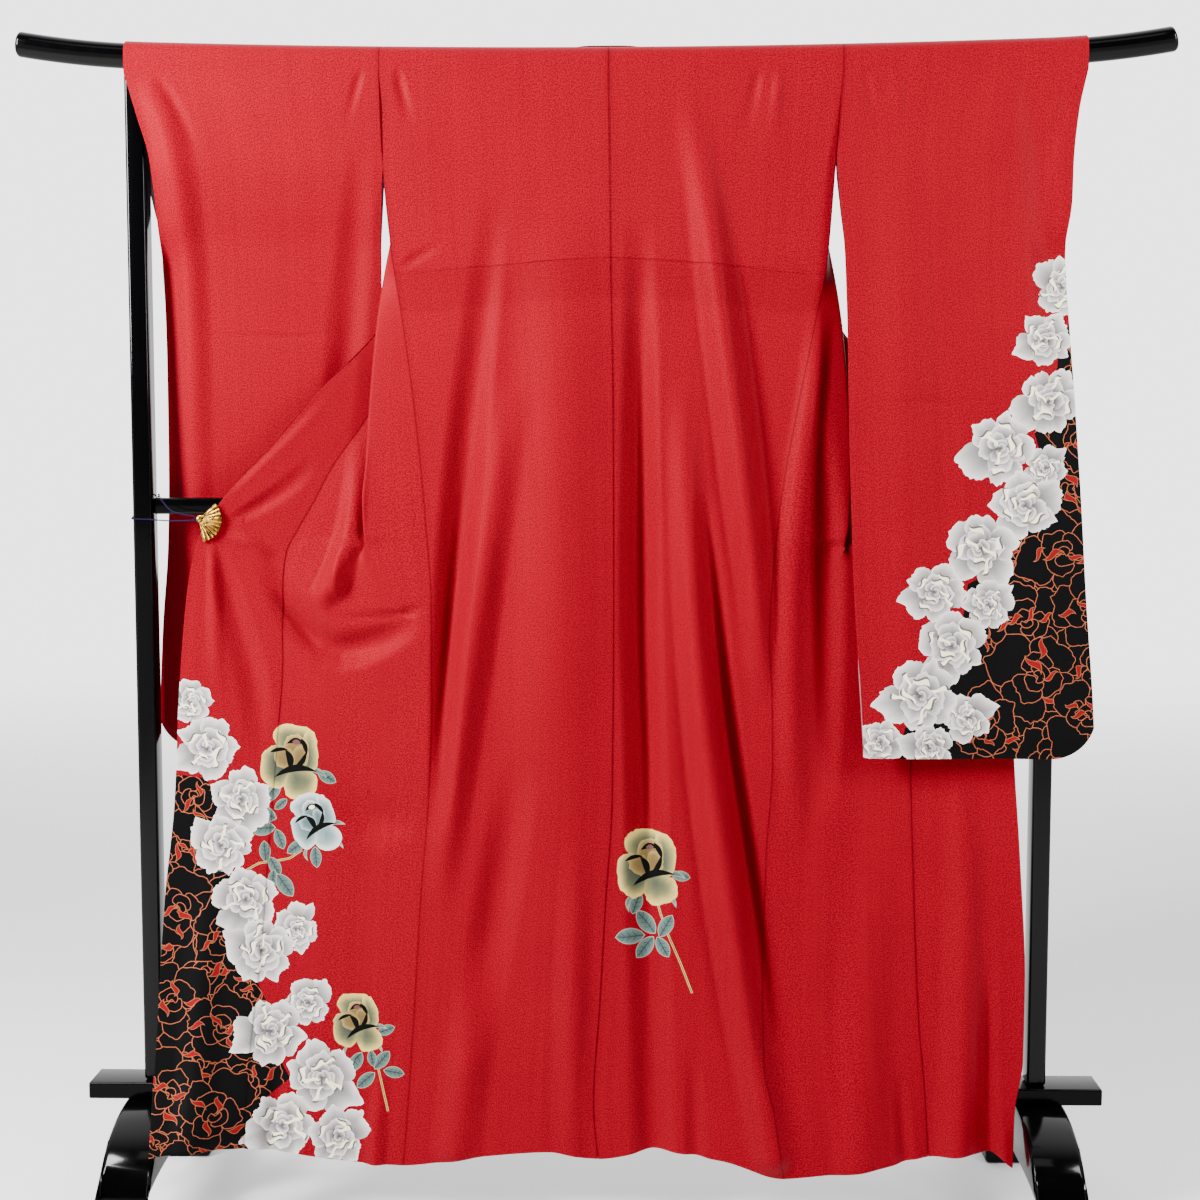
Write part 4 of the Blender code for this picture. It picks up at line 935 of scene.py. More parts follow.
@dataclass
class SleeveLayer(Panel):
    """One layer of a sleeve, from the armhole across to the wrist's edge."""

    flat: tuple[float, float] = (0.335, 0.985)
    beyond: int = -1
    crest: float = 0.031
    columns: int = 80
    rows: int = 170
    layer: Layer = Layer.BACK

    @property
    def name(self) -> str:
        """The node that the piece stands for."""
        return "sleeve_%s_%s" % (self.side.value, self.layer.value)

    @property
    def outward(self) -> int:
        """The far layer's right side is turned away."""
        return -self.side.sign if self.layer is Layer.BACK else self.side.sign

    def edges(self, z: Array) -> Pair:
        """Places of the armhole's edge and the wrist's edge.

        Args:
            z: Heights.

        Returns:
            Places of the inner and the outer edge.
        """
        rows, sign = SLEEVE[self.side], self.side.sign
        sewn = ease((z - SLEEVE_SEWN_TO[self.side] + 0.004) / 0.008)
        free = column(rows, "inner", z)
        inner = free + (column(SIDE_SEAM[self.side], "x", z) - free) * sewn
        if self.layer is Layer.FRONT:
            back_from_edge = FAR_INSET * ease((z - FAR_SHOWS) / 0.06)
            return inner + sign * (MEETING / 2 + back_from_edge), column(rows, "front_outer", z)
        return inner + sign * MEETING / 2, column(rows, "outer", z)

    def shade(self, u: Array, w: Array) -> Array:
        """The armhole's seam as far as it is sewn."""
        sewn = (ROD_AXIS_Z - SLEEVE_SEWN_TO[self.side]) / self.flat[1]
        return seam_line_and_shade(u * self.flat[0]) * (1 - ease((w - sewn) / 0.02))

    def foot(self, x: Array) -> Array:
        """The lower edge with its round corner.

        Args:
            x: Places across the robe.

        Returns:
            Heights.
        """
        rows, sign = SLEEVE[self.side], self.side.sign
        foot = min(row.z for row in rows)
        edge = sign * float(column(rows, "outer", foot))
        into = np.clip((sign * x - (edge - CORNER)) / CORNER, 0.0, 1.0)
        return foot + CORNER * (1 - np.sqrt(1 - np.square(into)))

    def depth(self, u: Array, x: Array, z: Array) -> Array:
        """The layer's depth, drawn to the other layer where the sleeve is sewn shut.

        Args:
            u: Shares across.
            x: Places across the robe.
            z: Heights.

        Returns:
            Depths y.
        """
        rows = SLEEVE[self.side]
        back, front = column(rows, "back", z), column(rows, "front", z)
        middle, way = (back + front) / 2, -1 if self.layer is Layer.BACK else 1
        under_wrist = ease((WRIST_END_Z - z) / WRIST_CLOSES)
        closed_side = ease((u - 1 + SEWN_EDGE) / SEWN_EDGE) * under_wrist
        closed = np.maximum(closed_side, ease((self.foot(x) + SEWN_FOOT - z) / SEWN_FOOT))
        loose = back if self.layer is Layer.BACK else front
        sewn = middle + way * MEETING / 2
        folds = SLEEVE_GAIN * lift(SLEEVE_FOLDS[self.side], x, z)
        return loose + (sewn - loose) * closed - folds - lift(SLEEVE_CREASES[self.side], x, z)


@dataclass
class Collar(Panel):
    """The collar band, from its left foot up over the rod at the neck and down to its right foot."""

    flat: tuple[float, float] = (0.055, 1.500)
    beyond: int = 1
    columns: int = 12
    rows: int = 220
    width: float = 0.055
    behind: float = 0.0040
    lean: float = 0.20
    foot_z: float = 1.060
    blend: float = 0.020
    on_rod: float = 0.0012
    neck_rows: float = 0.35
    steps: int = 48
    _path: list = field(default_factory=list)

    @property
    def name(self) -> str:
        """The node that the piece stands for."""
        return "collar"

    @property
    def outward(self) -> int:
        """Its right side is turned away from the viewer."""
        return 1

    def neck_edge(self, side: Side) -> tuple[Array, Array, Array]:
        """Places, drops and depths along the front's free edge, from the collar's foot up.

        Args:
            side: Which half.

        Returns:
            Places, drops and depths.
        """
        z = np.linspace(self.foot_z, ROD_AXIS_Z, 60)
        above = z > FREE_EDGE[side][0].z
        x = np.where(above, column(FRONT[side], "okumi", z), column(FREE_EDGE[side], "x", z))
        y = np.where(above, column(FRONT[side], "y_okumi", z), column(FREE_EDGE[side], "y", z))
        y = y - lift(BODY_FOLDS, x, z)
        turn = np.linspace(math.pi / 2, 0.1, 8)[1:]
        over_x = column(FRONT[side], "okumi", ROD_AXIS_Z + CLOTH_RADIUS * np.cos(turn))
        quarter = CLOTH_RADIUS * math.pi / 2
        return (
            np.concatenate([x, over_x]),
            np.concatenate([quarter + ROD_AXIS_Z - z, CLOTH_RADIUS * turn]),
            np.concatenate([y, np.full(turn.shape, CLOTH_RADIUS)]),
        )

    def path(self) -> list[Array]:
        """Places, drops, depths and the way across, at even steps along the band.

        Returns:
            One array of each.
        """
        if self._path:
            return self._path
        left, right = self.neck_edge(Side.LEFT), self.neck_edge(Side.RIGHT)
        lines = [np.concatenate([a, b[::-1]]) for a, b in zip(left, right)]
        run = np.concatenate([[0], np.cumsum(np.hypot(np.diff(lines[0]), np.diff(lines[1])))])
        even = np.linspace(-1, 1, self.steps)
        spread = self.neck_rows * even + (1 - self.neck_rows) * even * np.abs(even)
        px, pd, py = (np.interp(run[-1] / 2 * (1 + spread), run, values) for values in lines)
        padded = [np.pad(values, 1, mode="reflect", reflect_type="odd") for values in (px, pd)]
        px, pd = (np.convolve(values, np.array([1, 2, 1]) / 4, mode="valid") for values in padded)
        along_x, along_d = np.gradient(px), np.gradient(pd)
        length = np.hypot(along_x, along_d)
        self._path = [px, pd, py, -along_d / length, along_x / length]
        return self._path

    def shade(self, u: Array, w: Array) -> Array:
        """Its seam on the body."""
        return seam_line_and_shade(u * self.flat[0])

    def place(self, u: Array, w: Array) -> Array:
        """Points of the surface, u across the band and w along it.

        Args:
            u: Shares across.
            w: Shares down.

        Returns:
            An array of points.
        """
        even = np.linspace(0, 1, self.steps)
        px, pd, py, out_x, out_d = (monotone(even, values, w) for values in self.path())
        wide = u * self.width
        x = px + out_x * wide
        fall = np.maximum(pd + out_d * wide, CLOTH)
        quarter = CLOTH_RADIUS * math.pi / 2
        turn = np.minimum(fall, quarter) / CLOTH_RADIUS
        radius = CLOTH_RADIUS + CLOTH + self.on_rod
        z = rod_axis(x + ROBE_X) + radius * np.cos(turn) - np.maximum(fall - quarter, 0.0)
        on_rod = radius * np.sin(turn)
        behind = py + self.behind + self.lean * wide
        y = on_rod + (behind - on_rod) * ease((fall - quarter) / self.blend)
        return np.stack([x + ROBE_X, y, z], axis=-1)

    def levels(self) -> Array:
        """Even rows along the band."""
        return np.linspace(0, 1, self.rows + 1)


def mixed(a: Colour, b: Colour, share: Array) -> Array:
    """Colours between a and b, one for each share."""
    share = np.clip(share, 0, 1)[..., None]
    return np.array(a) * (1 - share) + np.array(b) * share


def faded(a: Colour, b: Colour, share: Array) -> Array:
    """Colours from a to b in steps that look even."""
    share = np.clip(share, 0, 1)[:, None]
    return np.array(a) ** (1 - share) * np.array(b) ** share


@dataclass
class Patch:
    """One shape of the print: its outline in units of the picture's pixels and how it is coloured.

    Attributes:
        outline: Points of the outline.
        colour: Colours at places, from the places' offsets to the shape's own origin.
        inside: Extra places inside it where the colour should be exact.
        on_ground: Whether it shows only on the black ground.
    """

    outline: Array
    colour: Rule
    inside: Array = field(default_factory=lambda: np.zeros((0, 2)))
    on_ground: bool = False


@dataclass(frozen=True)
class Inks:
    """Colours of the print."""

    white: Colour = (0.70, 0.67, 0.64)
    grey: Colour = (0.092, 0.086, 0.087)
    shadow: Colour = (0.072, 0.066, 0.067)
    cream: Colour = (0.93, 0.85, 0.60)
    black: Colour = (0.0030, 0.0030, 0.0032)
    gold_line: Colour = (0.29, 0.100, 0.042)
    red_line: Colour = (0.19, 0.0050, 0.0070)
    gold: Colour = (0.60, 0.44, 0.125)
    gold_deep: Colour = (0.030, 0.040, 0.034)
    bud: Colour = (0.46, 0.33, 0.115)
    bud_deep: Colour = (0.13, 0.085, 0.030)
    heart: Colour = (0.11, 0.045, 0.045)
    pale: Colour = (0.52, 0.58, 0.54)
    pale_deep: Colour = (0.070, 0.115, 0.115)
    leaf: Colour = (0.105, 0.155, 0.140)
    leaf_deep: Colour = (0.020, 0.042, 0.042)
    rim: Colour = (0.24, 0.27, 0.21)
    vein: Colour = (0.014, 0.022, 0.020)


INKS = Inks()


@dataclass(frozen=True)
class Whorl:
    """A ring of petals, in shares of the rose's radius.

    Attributes:
        petals: How many there are.
        start: Where they start from the middle.
        end: Where they end.
        spread: Half the angle that each spans.
        seen: Where they come out from under the next ring.
    """

    petals: int
    start: float
    end: float
    spread: float
    seen: float


WHORLS = {
    Style.WHITE: (
        Whorl(5, 0.40, 1.00, 0.78, 0.46),
        Whorl(4, 0.26, 0.66, 0.92, 0.32),
        Whorl(3, 0.14, 0.44, 1.15, 0.18),
        Whorl(2, 0.05, 0.27, 1.60, 0.08),
        Whorl(1, -0.03, 0.14, 2.70, 0.00),
    ),
    Style.LINE: (
        Whorl(4, 0.46, 1.00, 0.92, 0.5),
        Whorl(3, 0.26, 0.58, 1.15, 0.3),
        Whorl(2, 0.06, 0.34, 1.55, 0.1),
        Whorl(1, -0.02, 0.17, 2.60, 0.0),
    ),
}


@dataclass
class Flower:
    """A rose of the print.

    Attributes:
        style: How it is drawn.
        px: Place of its middle in the picture.
        py: Height of its middle in the picture.
        radius: Radius, or half its height, in the picture's pixels.
        aim: Degrees, clockwise, that its longest petal is from the right or that it leans.
        seed: Number that its own unevenness comes from.
    """

    style: Style
    px: float
    py: float
    radius: float
    aim: float
    seed: int

    @property
    def middle(self) -> Array:
        """Its middle in the picture."""
        return np.array([self.px, self.py])


class Rose(Flower):
    """A plain garden rose, drawn as rings of ragged petals round a bud."""

    def patches(self) -> list[Patch]:
        """The rose's shapes, lowest first.

        Returns:
            Its shapes.
        """
        chance = Chance(self.seed)
        lean = math.radians(self.aim)
        found: list[Patch] = []
        if self.style is Style.WHITE:
            found.append(Patch(self._disc(0.30), plain(INKS.shadow)))
        for ring, whorl in enumerate(WHORLS[self.style]):
            for k in range(whorl.petals):
                angle = lean + 2 * math.pi * (k + chance.uniform(-0.10, 0.10)) / whorl.petals
                longer = 1.22 if ring == 0 and k == 0 else 1.0
                found += self._petal(chance, ring, whorl, angle, longer)
            lean += 0.75 + chance.uniform(-0.2, 0.2)
        return found + self._curls(chance, lean)

    def _disc(self, share: float) -> Array:
        """A round outline about the middle."""
        turn = np.linspace(0, 2 * math.pi, 13)[:-1]
        return self.middle + self.radius * share * np.stack([np.cos(turn), np.sin(turn)], axis=-1)

    def _petal(
        self, chance: Chance, ring: int, whorl: Whorl, angle: float, longer: float
    ) -> list[Patch]:
        """One petal with a ragged rim, pale at the rim and dark where it comes out from under the next.

        Args:
            chance: The rose's own source of unevenness.
            ring: Number of its ring, from the outside.
            whorl: Its ring.
            angle: Way it points, in radians.
            longer: How many times as long as its ring says.

        Returns:
            Its shapes.
        """
        fine = (27, 19, 15, 13, 13)[ring]
        along = np.linspace(-1, 1, fine)
        end = whorl.end * longer * (1 + chance.uniform(-0.07, 0.07))
        tip_at, tip = chance.uniform(-0.45, 0.45), chance.uniform(0.05, 0.17) if longer == 1 else 0.16
        wave = 0.045 * np.sin(along * chance.uniform(4, 7) + chance.uniform(0, 6))
        rough = chance.normal(0, 0.020 if ring < 2 else 0.010, along.shape)
        rim = whorl.start + (end - whorl.start) * (1 - np.abs(along) ** 3.4) ** 0.5
        rim = rim * (1 + tip * hump(along - tip_at, 0.13) + wave + rough)
        turn = angle + whorl.spread * along
        ways = np.stack([np.cos(turn), np.sin(turn)], axis=-1)
        middle = self.middle
        base = self.radius * whorl.start * 0.5 * np.array([math.cos(angle), math.sin(angle)])
        outline = np.vstack([self.radius * rim[:, None] * ways, base]) + middle
        if self.style is Style.LINE:
            return self._lined(outline)
        rim_ink, base_ink = INKS.white, (INKS.grey if ring < 2 else INKS.shadow)
        edge = np.maximum(rim, 0.02) * self.radius
        seen = whorl.seen * self.radius * 0.9
        covered = chance.uniform(0.15, 0.40)

        def colour(places: Array) -> Array:
            """Colours at places.

            Args:
                places: Places in the picture.

            Returns:
                A colour for each place.
            """
            offset = places - middle
            out = np.hypot(offset[:, 0], offset[:, 1])
            round_it = np.arctan2(offset[:, 1], offset[:, 0]) - angle
            share = ((round_it + math.pi) % (2 * math.pi) - math.pi) / whorl.spread
            reach = np.interp(share, along, edge)
            bright = np.clip((out - seen) / np.maximum(reach - seen, 0.1 * self.radius), 0, 1) ** 0.85
            return faded(base_ink, rim_ink, bright * (1 - covered * ease((share - 0.15) / 0.8)))

        depths = (0.55, 0.72, 0.86, 0.95) if ring < 3 else (0.6,)
        inside = [edge[1:-1:2, None] * depth * ways[1:-1:2] for depth in depths]
        return [Patch(outline, colour, np.vstack(inside) + middle)]

    def _lined(self, outline: Array) -> list[Patch]:
        """A petal on the black ground as a gold line with a red one inside it.

        Args:
            outline: Points of its outline.

        Returns:
            Its shapes.
        """
        return [
            Patch(inset(outline, depth), plain(ink), on_ground=True)
            for depth, ink in ((0.0, INKS.gold_line), (0.62, INKS.red_line), (0.92, INKS.black))
        ]

    def _curls(self, chance: Chance, lean: float) -> list[Patch]:
        """Turned-over petal edges: cream on a white rose, red on a line one.

        Args:
            chance: The rose's own source of unevenness.
            lean: Way the first one points, in radians.

        Returns:
            Their shapes.
        """
        found = []
        for out, count in ((0.28, 2), (0.60, 2)) if self.style is Style.LINE else ((0.30, 3), (0.56, 4)):
            for k in range(count):
                angle = lean + 2 * math.pi * (k + chance.uniform(-0.25, 0.25)) / count
                found += self._curl(chance, angle, out * chance.uniform(0.85, 1.15))
            lean += 0.5
        return found

    def _curl(self, chance: Chance, angle: float, out: float) -> list[Patch]:
        """One turned-over edge, pointed at both ends and bent like a flame.

        Args:
            chance: The rose's own source of unevenness.
            angle: Way it points, in radians.
            out: Share of the radius that it is from the middle.

        Returns:
            Its shapes.
        """
        half, thick = chance.uniform(0.17, 0.28), chance.uniform(0.09, 0.14)
        slant = chance.choice([-1.0, 1.0]) * chance.uniform(0.2, 1.1)
        if self.style is Style.LINE:
            half, slant = half * 1.1, math.pi / 2 + 0.5 * slant
        along = np.linspace(-1, 1, 11)
        bend = 0.09 * np.sin(2.4 * along)
        body = thick * (1 - np.abs(along) ** 1.4) * (1 + 0.3 * np.sin(4 * along + slant))
        upper = np.stack([bend + body, half * along], axis=-1)
        lower = np.stack([bend - 0.35 * body, half * along], axis=-1)[::-1][1:-1]
        outline = self.radius * np.vstack([upper, lower]) @ turned(angle + slant) + self.middle
        outline += self.radius * out * np.array([math.cos(angle), math.sin(angle)])
        if self.style is Style.LINE:
            return [
                Patch(outline, plain(INKS.gold_line), on_ground=True),
                Patch(inset(outline, 0.5), plain(INKS.red_line), on_ground=True),
            ]
        away = outline + 0.06 * self.radius * np.array([math.cos(angle), math.sin(angle)])
        return [Patch(away, plain(INKS.grey)), Patch(outline, plain(INKS.cream))]


def turned(angle: float) -> Array:
    """The matrix that turns rows of places by an angle."""
    return np.array([[math.cos(angle), math.sin(angle)], [-math.sin(angle), math.cos(angle)]])


def inset(outline: Array, depth: float) -> Array:
    """The outline drawn inwards by a depth along its own normals.

    Args:
        outline: Points of its outline.
        depth: How far, in the outline's units.

    Returns:
        The new outline.
    """
    ahead, behind = np.roll(outline, -1, axis=0), np.roll(outline, 1, axis=0)
    way = ahead - behind
    area = np.sum(outline[:, 0] * ahead[:, 1] - ahead[:, 0] * outline[:, 1])
    way /= np.maximum(np.hypot(way[:, 0], way[:, 1]), 1e-9)[:, None]
    return outline + depth * math.copysign(1.0, area) * np.stack([-way[:, 1], way[:, 0]], axis=-1)


def plain(ink: Colour) -> Rule:
    """A colour rule that is the same everywhere."""
    return lambda places: np.tile(np.array(ink), (len(places), 1))


def rounded(corners: Line, fine: int = 5) -> Array:
    """A closed smooth line through the corners.

    Args:
        corners: Corners of its outline.
        fine: Points for each corner.

    Returns:
        Points of the line.
    """
    points = np.array(corners, float)
    before, after, beyond = (np.roll(points, -k, axis=0) for k in (-1, 1, 2))
    found = []
    for t in np.arange(fine) / fine:
        slope = (after - before) * t + (2 * before - 5 * points + 4 * after - beyond) * t**2
        found.append(points + 0.5 * (slope + (3 * (points - after) + beyond - before) * t**3))
    return np.stack(found, axis=1).reshape(-1, 2)


def crescent(ax: float, ay: float, bx: float, by: float, bow: float, thick: float) -> Array:
    """A pointed shape from one place to another, bowed to its left.

    Args:
        ax: First end across.
        ay: First end down.
        bx: Other end across.
        by: Other end down.
        bow: How far its middle bows out.
        thick: Its width.

    Returns:
        Points of its outline.
    """
    a, b = np.array([ax, ay]), np.array([bx, by])
    side = np.array([(b - a)[1], -(b - a)[0]]) / np.hypot(*(b - a))
    along = np.linspace(0, 1, 13)[:, None]
    middle = a + (b - a) * along + side * bow * 4 * along * (1 - along)
    wide = side * thick / 2 * np.sin(math.pi * along) ** 0.8
    return np.vstack([middle + wide, (middle - wide)[::-1][1:-1]])


OUTER_PETALS = (
    (
        (-0.45, -0.30), (-0.62, -0.72), (-0.34, -0.96), (0.06, -0.98),
        (0.40, -0.86), (0.44, -0.40), (0.0, -0.15),
    ),
    ((0.26, -0.80), (0.54, -0.76), (0.74, -0.34), (0.68, 0.14), (0.38, 0.28), (0.20, -0.10)),
    (
        (-0.20, -0.20), (-0.60, -0.36), (-0.80, -0.06), (-0.78, 0.52),
        (-0.44, 0.82), (-0.08, 0.68), (0.06, 0.20),
    ),
    ((0.04, 0.24), (-0.08, 0.64), (0.06, 0.96), (0.42, 1.00), (0.74, 0.78), (0.70, 0.38), (0.34, 0.18)),
)
INNER_PETALS = (
    (
        (-0.32, -0.30), (-0.20, -0.62), (0.10, -0.70), (0.36, -0.46),
        (0.40, -0.02), (0.18, 0.24), (-0.14, 0.26), (-0.36, 0.04),
    ),
    ((0.04, -0.34), (0.34, -0.36), (0.42, 0.00), (0.20, 0.26), (-0.04, 0.20)),
    ((-0.46, -0.22), (-0.14, -0.30), (0.06, -0.04), (0.00, 0.26), (-0.30, 0.22), (-0.48, 0.02)),
)
DARK_GAPS = (
    (-0.20, -0.42, 0.28, -0.46, 0.10, 0.15), (0.16, -0.62, 0.38, -0.20, 0.03, 0.13),
    (-0.62, -0.12, -0.14, -0.26, 0.05, 0.11), (-0.22, -0.26, -0.02, 0.28, 0.08, 0.19),
    (0.36, -0.28, 0.06, 0.24, 0.07, 0.14), (-0.40, 0.52, 0.70, 0.22, 0.17, 0.19),
)
SEPALS = (
    (0.38, 0.24, 1.00, 0.34, 0.10, 0.15), (-0.34, 0.72, -0.50, 1.22, -0.12, 0.12),
    (0.50, 0.74, 0.74, 1.10, 0.05, 0.11),
)


class SideRose(Flower):
    """A half-open rose from the side, in gold or in white and teal."""

    def patches(self) -> list[Patch]:
        """The rose's shapes, lowest first.

        Returns:
            Its shapes.
        """
        chance = Chance(self.seed)
        gold = self.style is Style.GOLD
        outer = (INKS.gold, INKS.gold_deep) if gold else (INKS.pale, INKS.pale_deep)
        inner = (INKS.bud, INKS.bud_deep) if gold else (INKS.white, INKS.pale_deep)
        sepals = [self._laid(crescent(*row)) for row in SEPALS]
        found = [Patch(sepal, self._rimmed(sepal, INKS.rim, INKS.leaf_deep)) for sepal in sepals]
        found += [self._petal(chance, corners, outer, 0.30) for corners in OUTER_PETALS]
        found += [self._petal(chance, corners, inner, 0.16) for corners in INNER_PETALS]
        found += [Patch(self._laid(crescent(*row)), plain(INKS.black)) for row in DARK_GAPS]
        heart = self._laid(crescent(-0.06, -0.50, 0.16, -0.50, 0.0, 0.14))
        return found + [Patch(heart, plain(INKS.heart if gold else INKS.cream))]

    def _laid(self, shape: Array) -> Array:
        """A shape of the rose at its place in the picture."""
        return self.radius * shape @ turned(math.radians(self.aim)) + self.middle

    def _petal(
        self, chance: Chance, corners: Line, inks: tuple[Colour, Colour], deep: float
    ) -> Patch:
        """One petal with a ragged rim, bright at the rim and dark inside.

        Args:
            chance: The rose's own source of unevenness.
            corners: Corners of its outline.
            inks: Colours of the rim and of the base.
            deep: Depth of the bright rim.

        Returns:
            Its shapes.
        """
        shape = rounded(np.array(corners) + chance.normal(0, 0.025, (len(corners), 2)))
        outline = self._laid(shape + chance.normal(0, 0.012, shape.shape))
        inside = np.vstack([inset(outline, self.radius * deep * share) for share in (0.35, 0.75)])
        return Patch(outline, self._rimmed(outline, *inks, self.radius * deep), inside)

    def _rimmed(self, outline: Array, rim: Colour, base: Colour, deep: float = 1.6) -> Rule:
        """A colour rule from the base's near the rose's middle to the rim's, brightest along the outline.

        Args:
            outline: Points of its outline.
            rim: Colour of the rim.
            base: Colour at the base.
            deep: Depth of the rim.

        Returns:
            The rule.
        """

        def colour(places: Array) -> Array:
            """Colours at places.

            Args:
                places: Places in the picture.

            Returns:
                A colour for each place.
            """
            away = np.hypot(*(places[:, None] - outline[None]).transpose(2, 0, 1)).min(axis=1)
            out = np.hypot(*(places - self.middle).T) / self.radius
            edge = 0.6 * (1 - np.clip(away / deep, 0, 1)) ** 1.3
            return faded(base, rim, 0.55 * np.clip((out - 0.25) / 0.65, 0, 1) + edge)

        return colour


@dataclass
class Leaf:
    """A leaf of a printed rose, with its veins."""

    px: float
    py: float
    length: float
    angle: float

    def patches(self) -> list[Patch]:
        """The blade and its vein.

        Returns:
            Its shapes.
        """
        turn = math.radians(self.angle)
        way = np.array([math.cos(turn), -math.sin(turn)])
        side = np.array([-way[1], way[0]])
        along = np.linspace(-1, 1, 9)
        wide = 0.27 * self.length * (1 - along**2) ** 0.8
        upper = along[:, None] * way * self.length / 2 + wide[:, None] * side
        lower = (along[:, None] * way * self.length / 2 - wide[:, None] * side)[::-1][1:-1]
        middle = np.array([self.px, self.py])

        def colour(places: Array) -> Array:
            """Colours at places."""
            across = (places - middle) @ side / (0.27 * self.length)
            return mixed(INKS.leaf_deep, INKS.leaf, 0.35 + 0.75 * np.abs(across))

        edge = np.vstack([upper, lower])
        veins = [strip([middle - way * self.length * 0.48, middle + way * self.length * 0.40], 0.3)]
        for place in (-0.22, 0.0, 0.2):
            root = middle + way * self.length * place
            for hand in (-1, 1):
                tip = root + way * self.length * 0.13 + side * hand * self.length * 0.17
                veins.append(strip([root, tip], 0.2))
        return [Patch(edge * 1.08 + middle, plain(INKS.rim)), Patch(edge + middle, colour)] + [
            Patch(vein, plain(INKS.vein)) for vein in veins
        ]


def strip(points: Sequence[Array], half: float) -> Array:
    """The outline of a line with a width.

    Args:
        points: Points of the line.
        half: Half its width.

    Returns:
        Points of the outline.
    """
    line = np.array(points, float)
    way = np.gradient(line, axis=0)
    way /= np.hypot(way[:, 0], way[:, 1])[:, None]
    side = np.stack([-way[:, 1], way[:, 0]], axis=-1) * half
    return np.vstack([line + side, (line - side)[::-1]])


class Bloom(NamedTuple):
    """A rose of the print by the pixel of its middle, its radius and the way its longest petal points."""

    px: float
    py: float
    radius: float
    aim: float = 0.0


class Blade(NamedTuple):
    """A leaf of the print by the pixel of its middle, its length and its direction in degrees."""

    px: float
    py: float
    length: float
    angle: float


SLEEVE_WHITE = [Bloom(*row) for row in (
    (1063, 288, 28, 215), (1044, 340, 26, 163), (1049, 401, 31, 160), (1045, 469, 21, -62),
    (1001, 448, 34, 152), (1024, 506, 33, -24), (980, 548, 34, 60), (987, 605, 23, -20),
    (935, 592, 28, 150), (952, 645, 33, 118), (967, 719, 23, -40), (921, 696, 36, 168), (879, 742, 22, 20),
    (930, 748, 23, 185),
)]
SLEEVE_LINE = [Bloom(*row) for row in (
    (1082, 372, 36, 100), (1062, 425, 34, 30), (1110, 430, 38, 200), (1030, 560, 34, 210),
    (1098, 545, 40, 250), (1002, 630, 36, 150), (1100, 665, 38, 300), (1000, 740, 40, 20),
    (1052, 760, 38, 120), (1104, 745, 36, 60), (1073, 489, 38, 75), (1063, 553, 40, 160),
    (1026, 622, 38, 330), (1089, 612, 36, 10), (1037, 677, 43, 215), (1088, 716, 36, 140),
    (985, 722, 30, 260), (1080, 440, 30, 300),
)]
SLEEVE_GROUND = [
    (1080, 300), (1066, 330), (1058, 352), (1056, 395), (1034, 432), (1040, 452), (1050, 480), (1046, 520),
    (1006, 545), (985, 575), (968, 584), (962, 625), (950, 668), (946, 700), (905, 728), (896, 775),
    (1120, 775), (1120, 300),
]
FLAP_WHITE = [Bloom(*row) for row in (
    (191, 702, 22, 200), (208, 748, 29, 150), (240, 799, 29, 60), (222, 845, 29, 205), (296, 930, 22, 290),
    (246, 898, 31, 120), (263, 950, 32, 190), (307, 1003, 23, 320), (272, 1031, 32, 165),
    (321, 1077, 34, 40), (283, 1124, 33, 150), (338, 1137, 28, 330),
)]
FLAP_LINE = [Bloom(*row) for row in (
    (160, 830, 40, 40), (200, 850, 36, 200), (160, 870, 36, 100), (160, 950, 40, 300), (206, 972, 38, 120),
    (252, 996, 34, 30), (150, 1050, 40, 80), (198, 1064, 38, 250), (248, 1080, 34, 170),
    (160, 1140, 42, 20), (246, 1140, 36, 300), (205, 1160, 38, 90), (194, 796, 34, 100),
    (179, 908, 38, 200), (226, 936, 34, 330), (172, 1000, 38, 150), (222, 1027, 37, 20),
    (170, 1092, 38, 240), (217, 1112, 38, 310),
)]
FLAP_GROUND = [
    (160, 772), (204, 778), (226, 800), (232, 850), (228, 900), (246, 960), (266, 1000), (268, 1036),
    (290, 1078), (262, 1100), (262, 1175), (130, 1185), (120, 900),
]
FLAP_STEMS = [
    [(302, 850), (290, 858), (275, 861), (259, 863), (243, 872)],
    [(366, 1048), (378, 1066), (388, 1111)],
]
FLAP_LEAVES = [Blade(*row) for row in (
    (272, 791, 26, 235), (262, 813, 30, 160), (262, 828, 26, 182), (281, 804, 15, 220), (280, 839, 20, 290),
    (296, 847, 20, 215), (316, 857, 20, 275), (265, 851, 20, 95), (275, 866, 20, 300), (273, 879, 18, 265),
    (285, 885, 26, 305), (327, 777, 20, 330), (356, 1062, 22, 240), (382, 1060, 22, 50),
    (394, 1072, 20, 350), (366, 1080, 22, 220), (386, 1030, 18, 20), (372, 1058, 16, 280),
)]
BACK_STEMS = [[(657, 900), (661, 914), (668, 934), (680, 962), (692, 993)]]
BACK_LEAVES = [Blade(*row) for row in (
    (636, 903, 22, 70), (646, 922, 28, 130), (666, 926, 24, 60), (630, 936, 28, 185), (645, 947, 26, 230),
    (663, 947, 22, 300), (681, 876, 18, 350),
)]
BACK_GOLD = [Bloom(648, 866, 38, 0)]
FLAP_GOLD = [Bloom(292, 760, 37, 8), Bloom(357, 1022, 30, -6)]
FLAP_PALE = [Bloom(314, 822, 30, -14)]


def roses(style: Style, blooms: Iterable[Bloom], seed: int) -> list[Patch]:
    """The shapes of several roses."""
    kind = SideRose if style in (Style.GOLD, Style.PALE) else Rose
    return [patch for k, b in enumerate(blooms) for patch in kind(style, *b, seed + k).patches()]


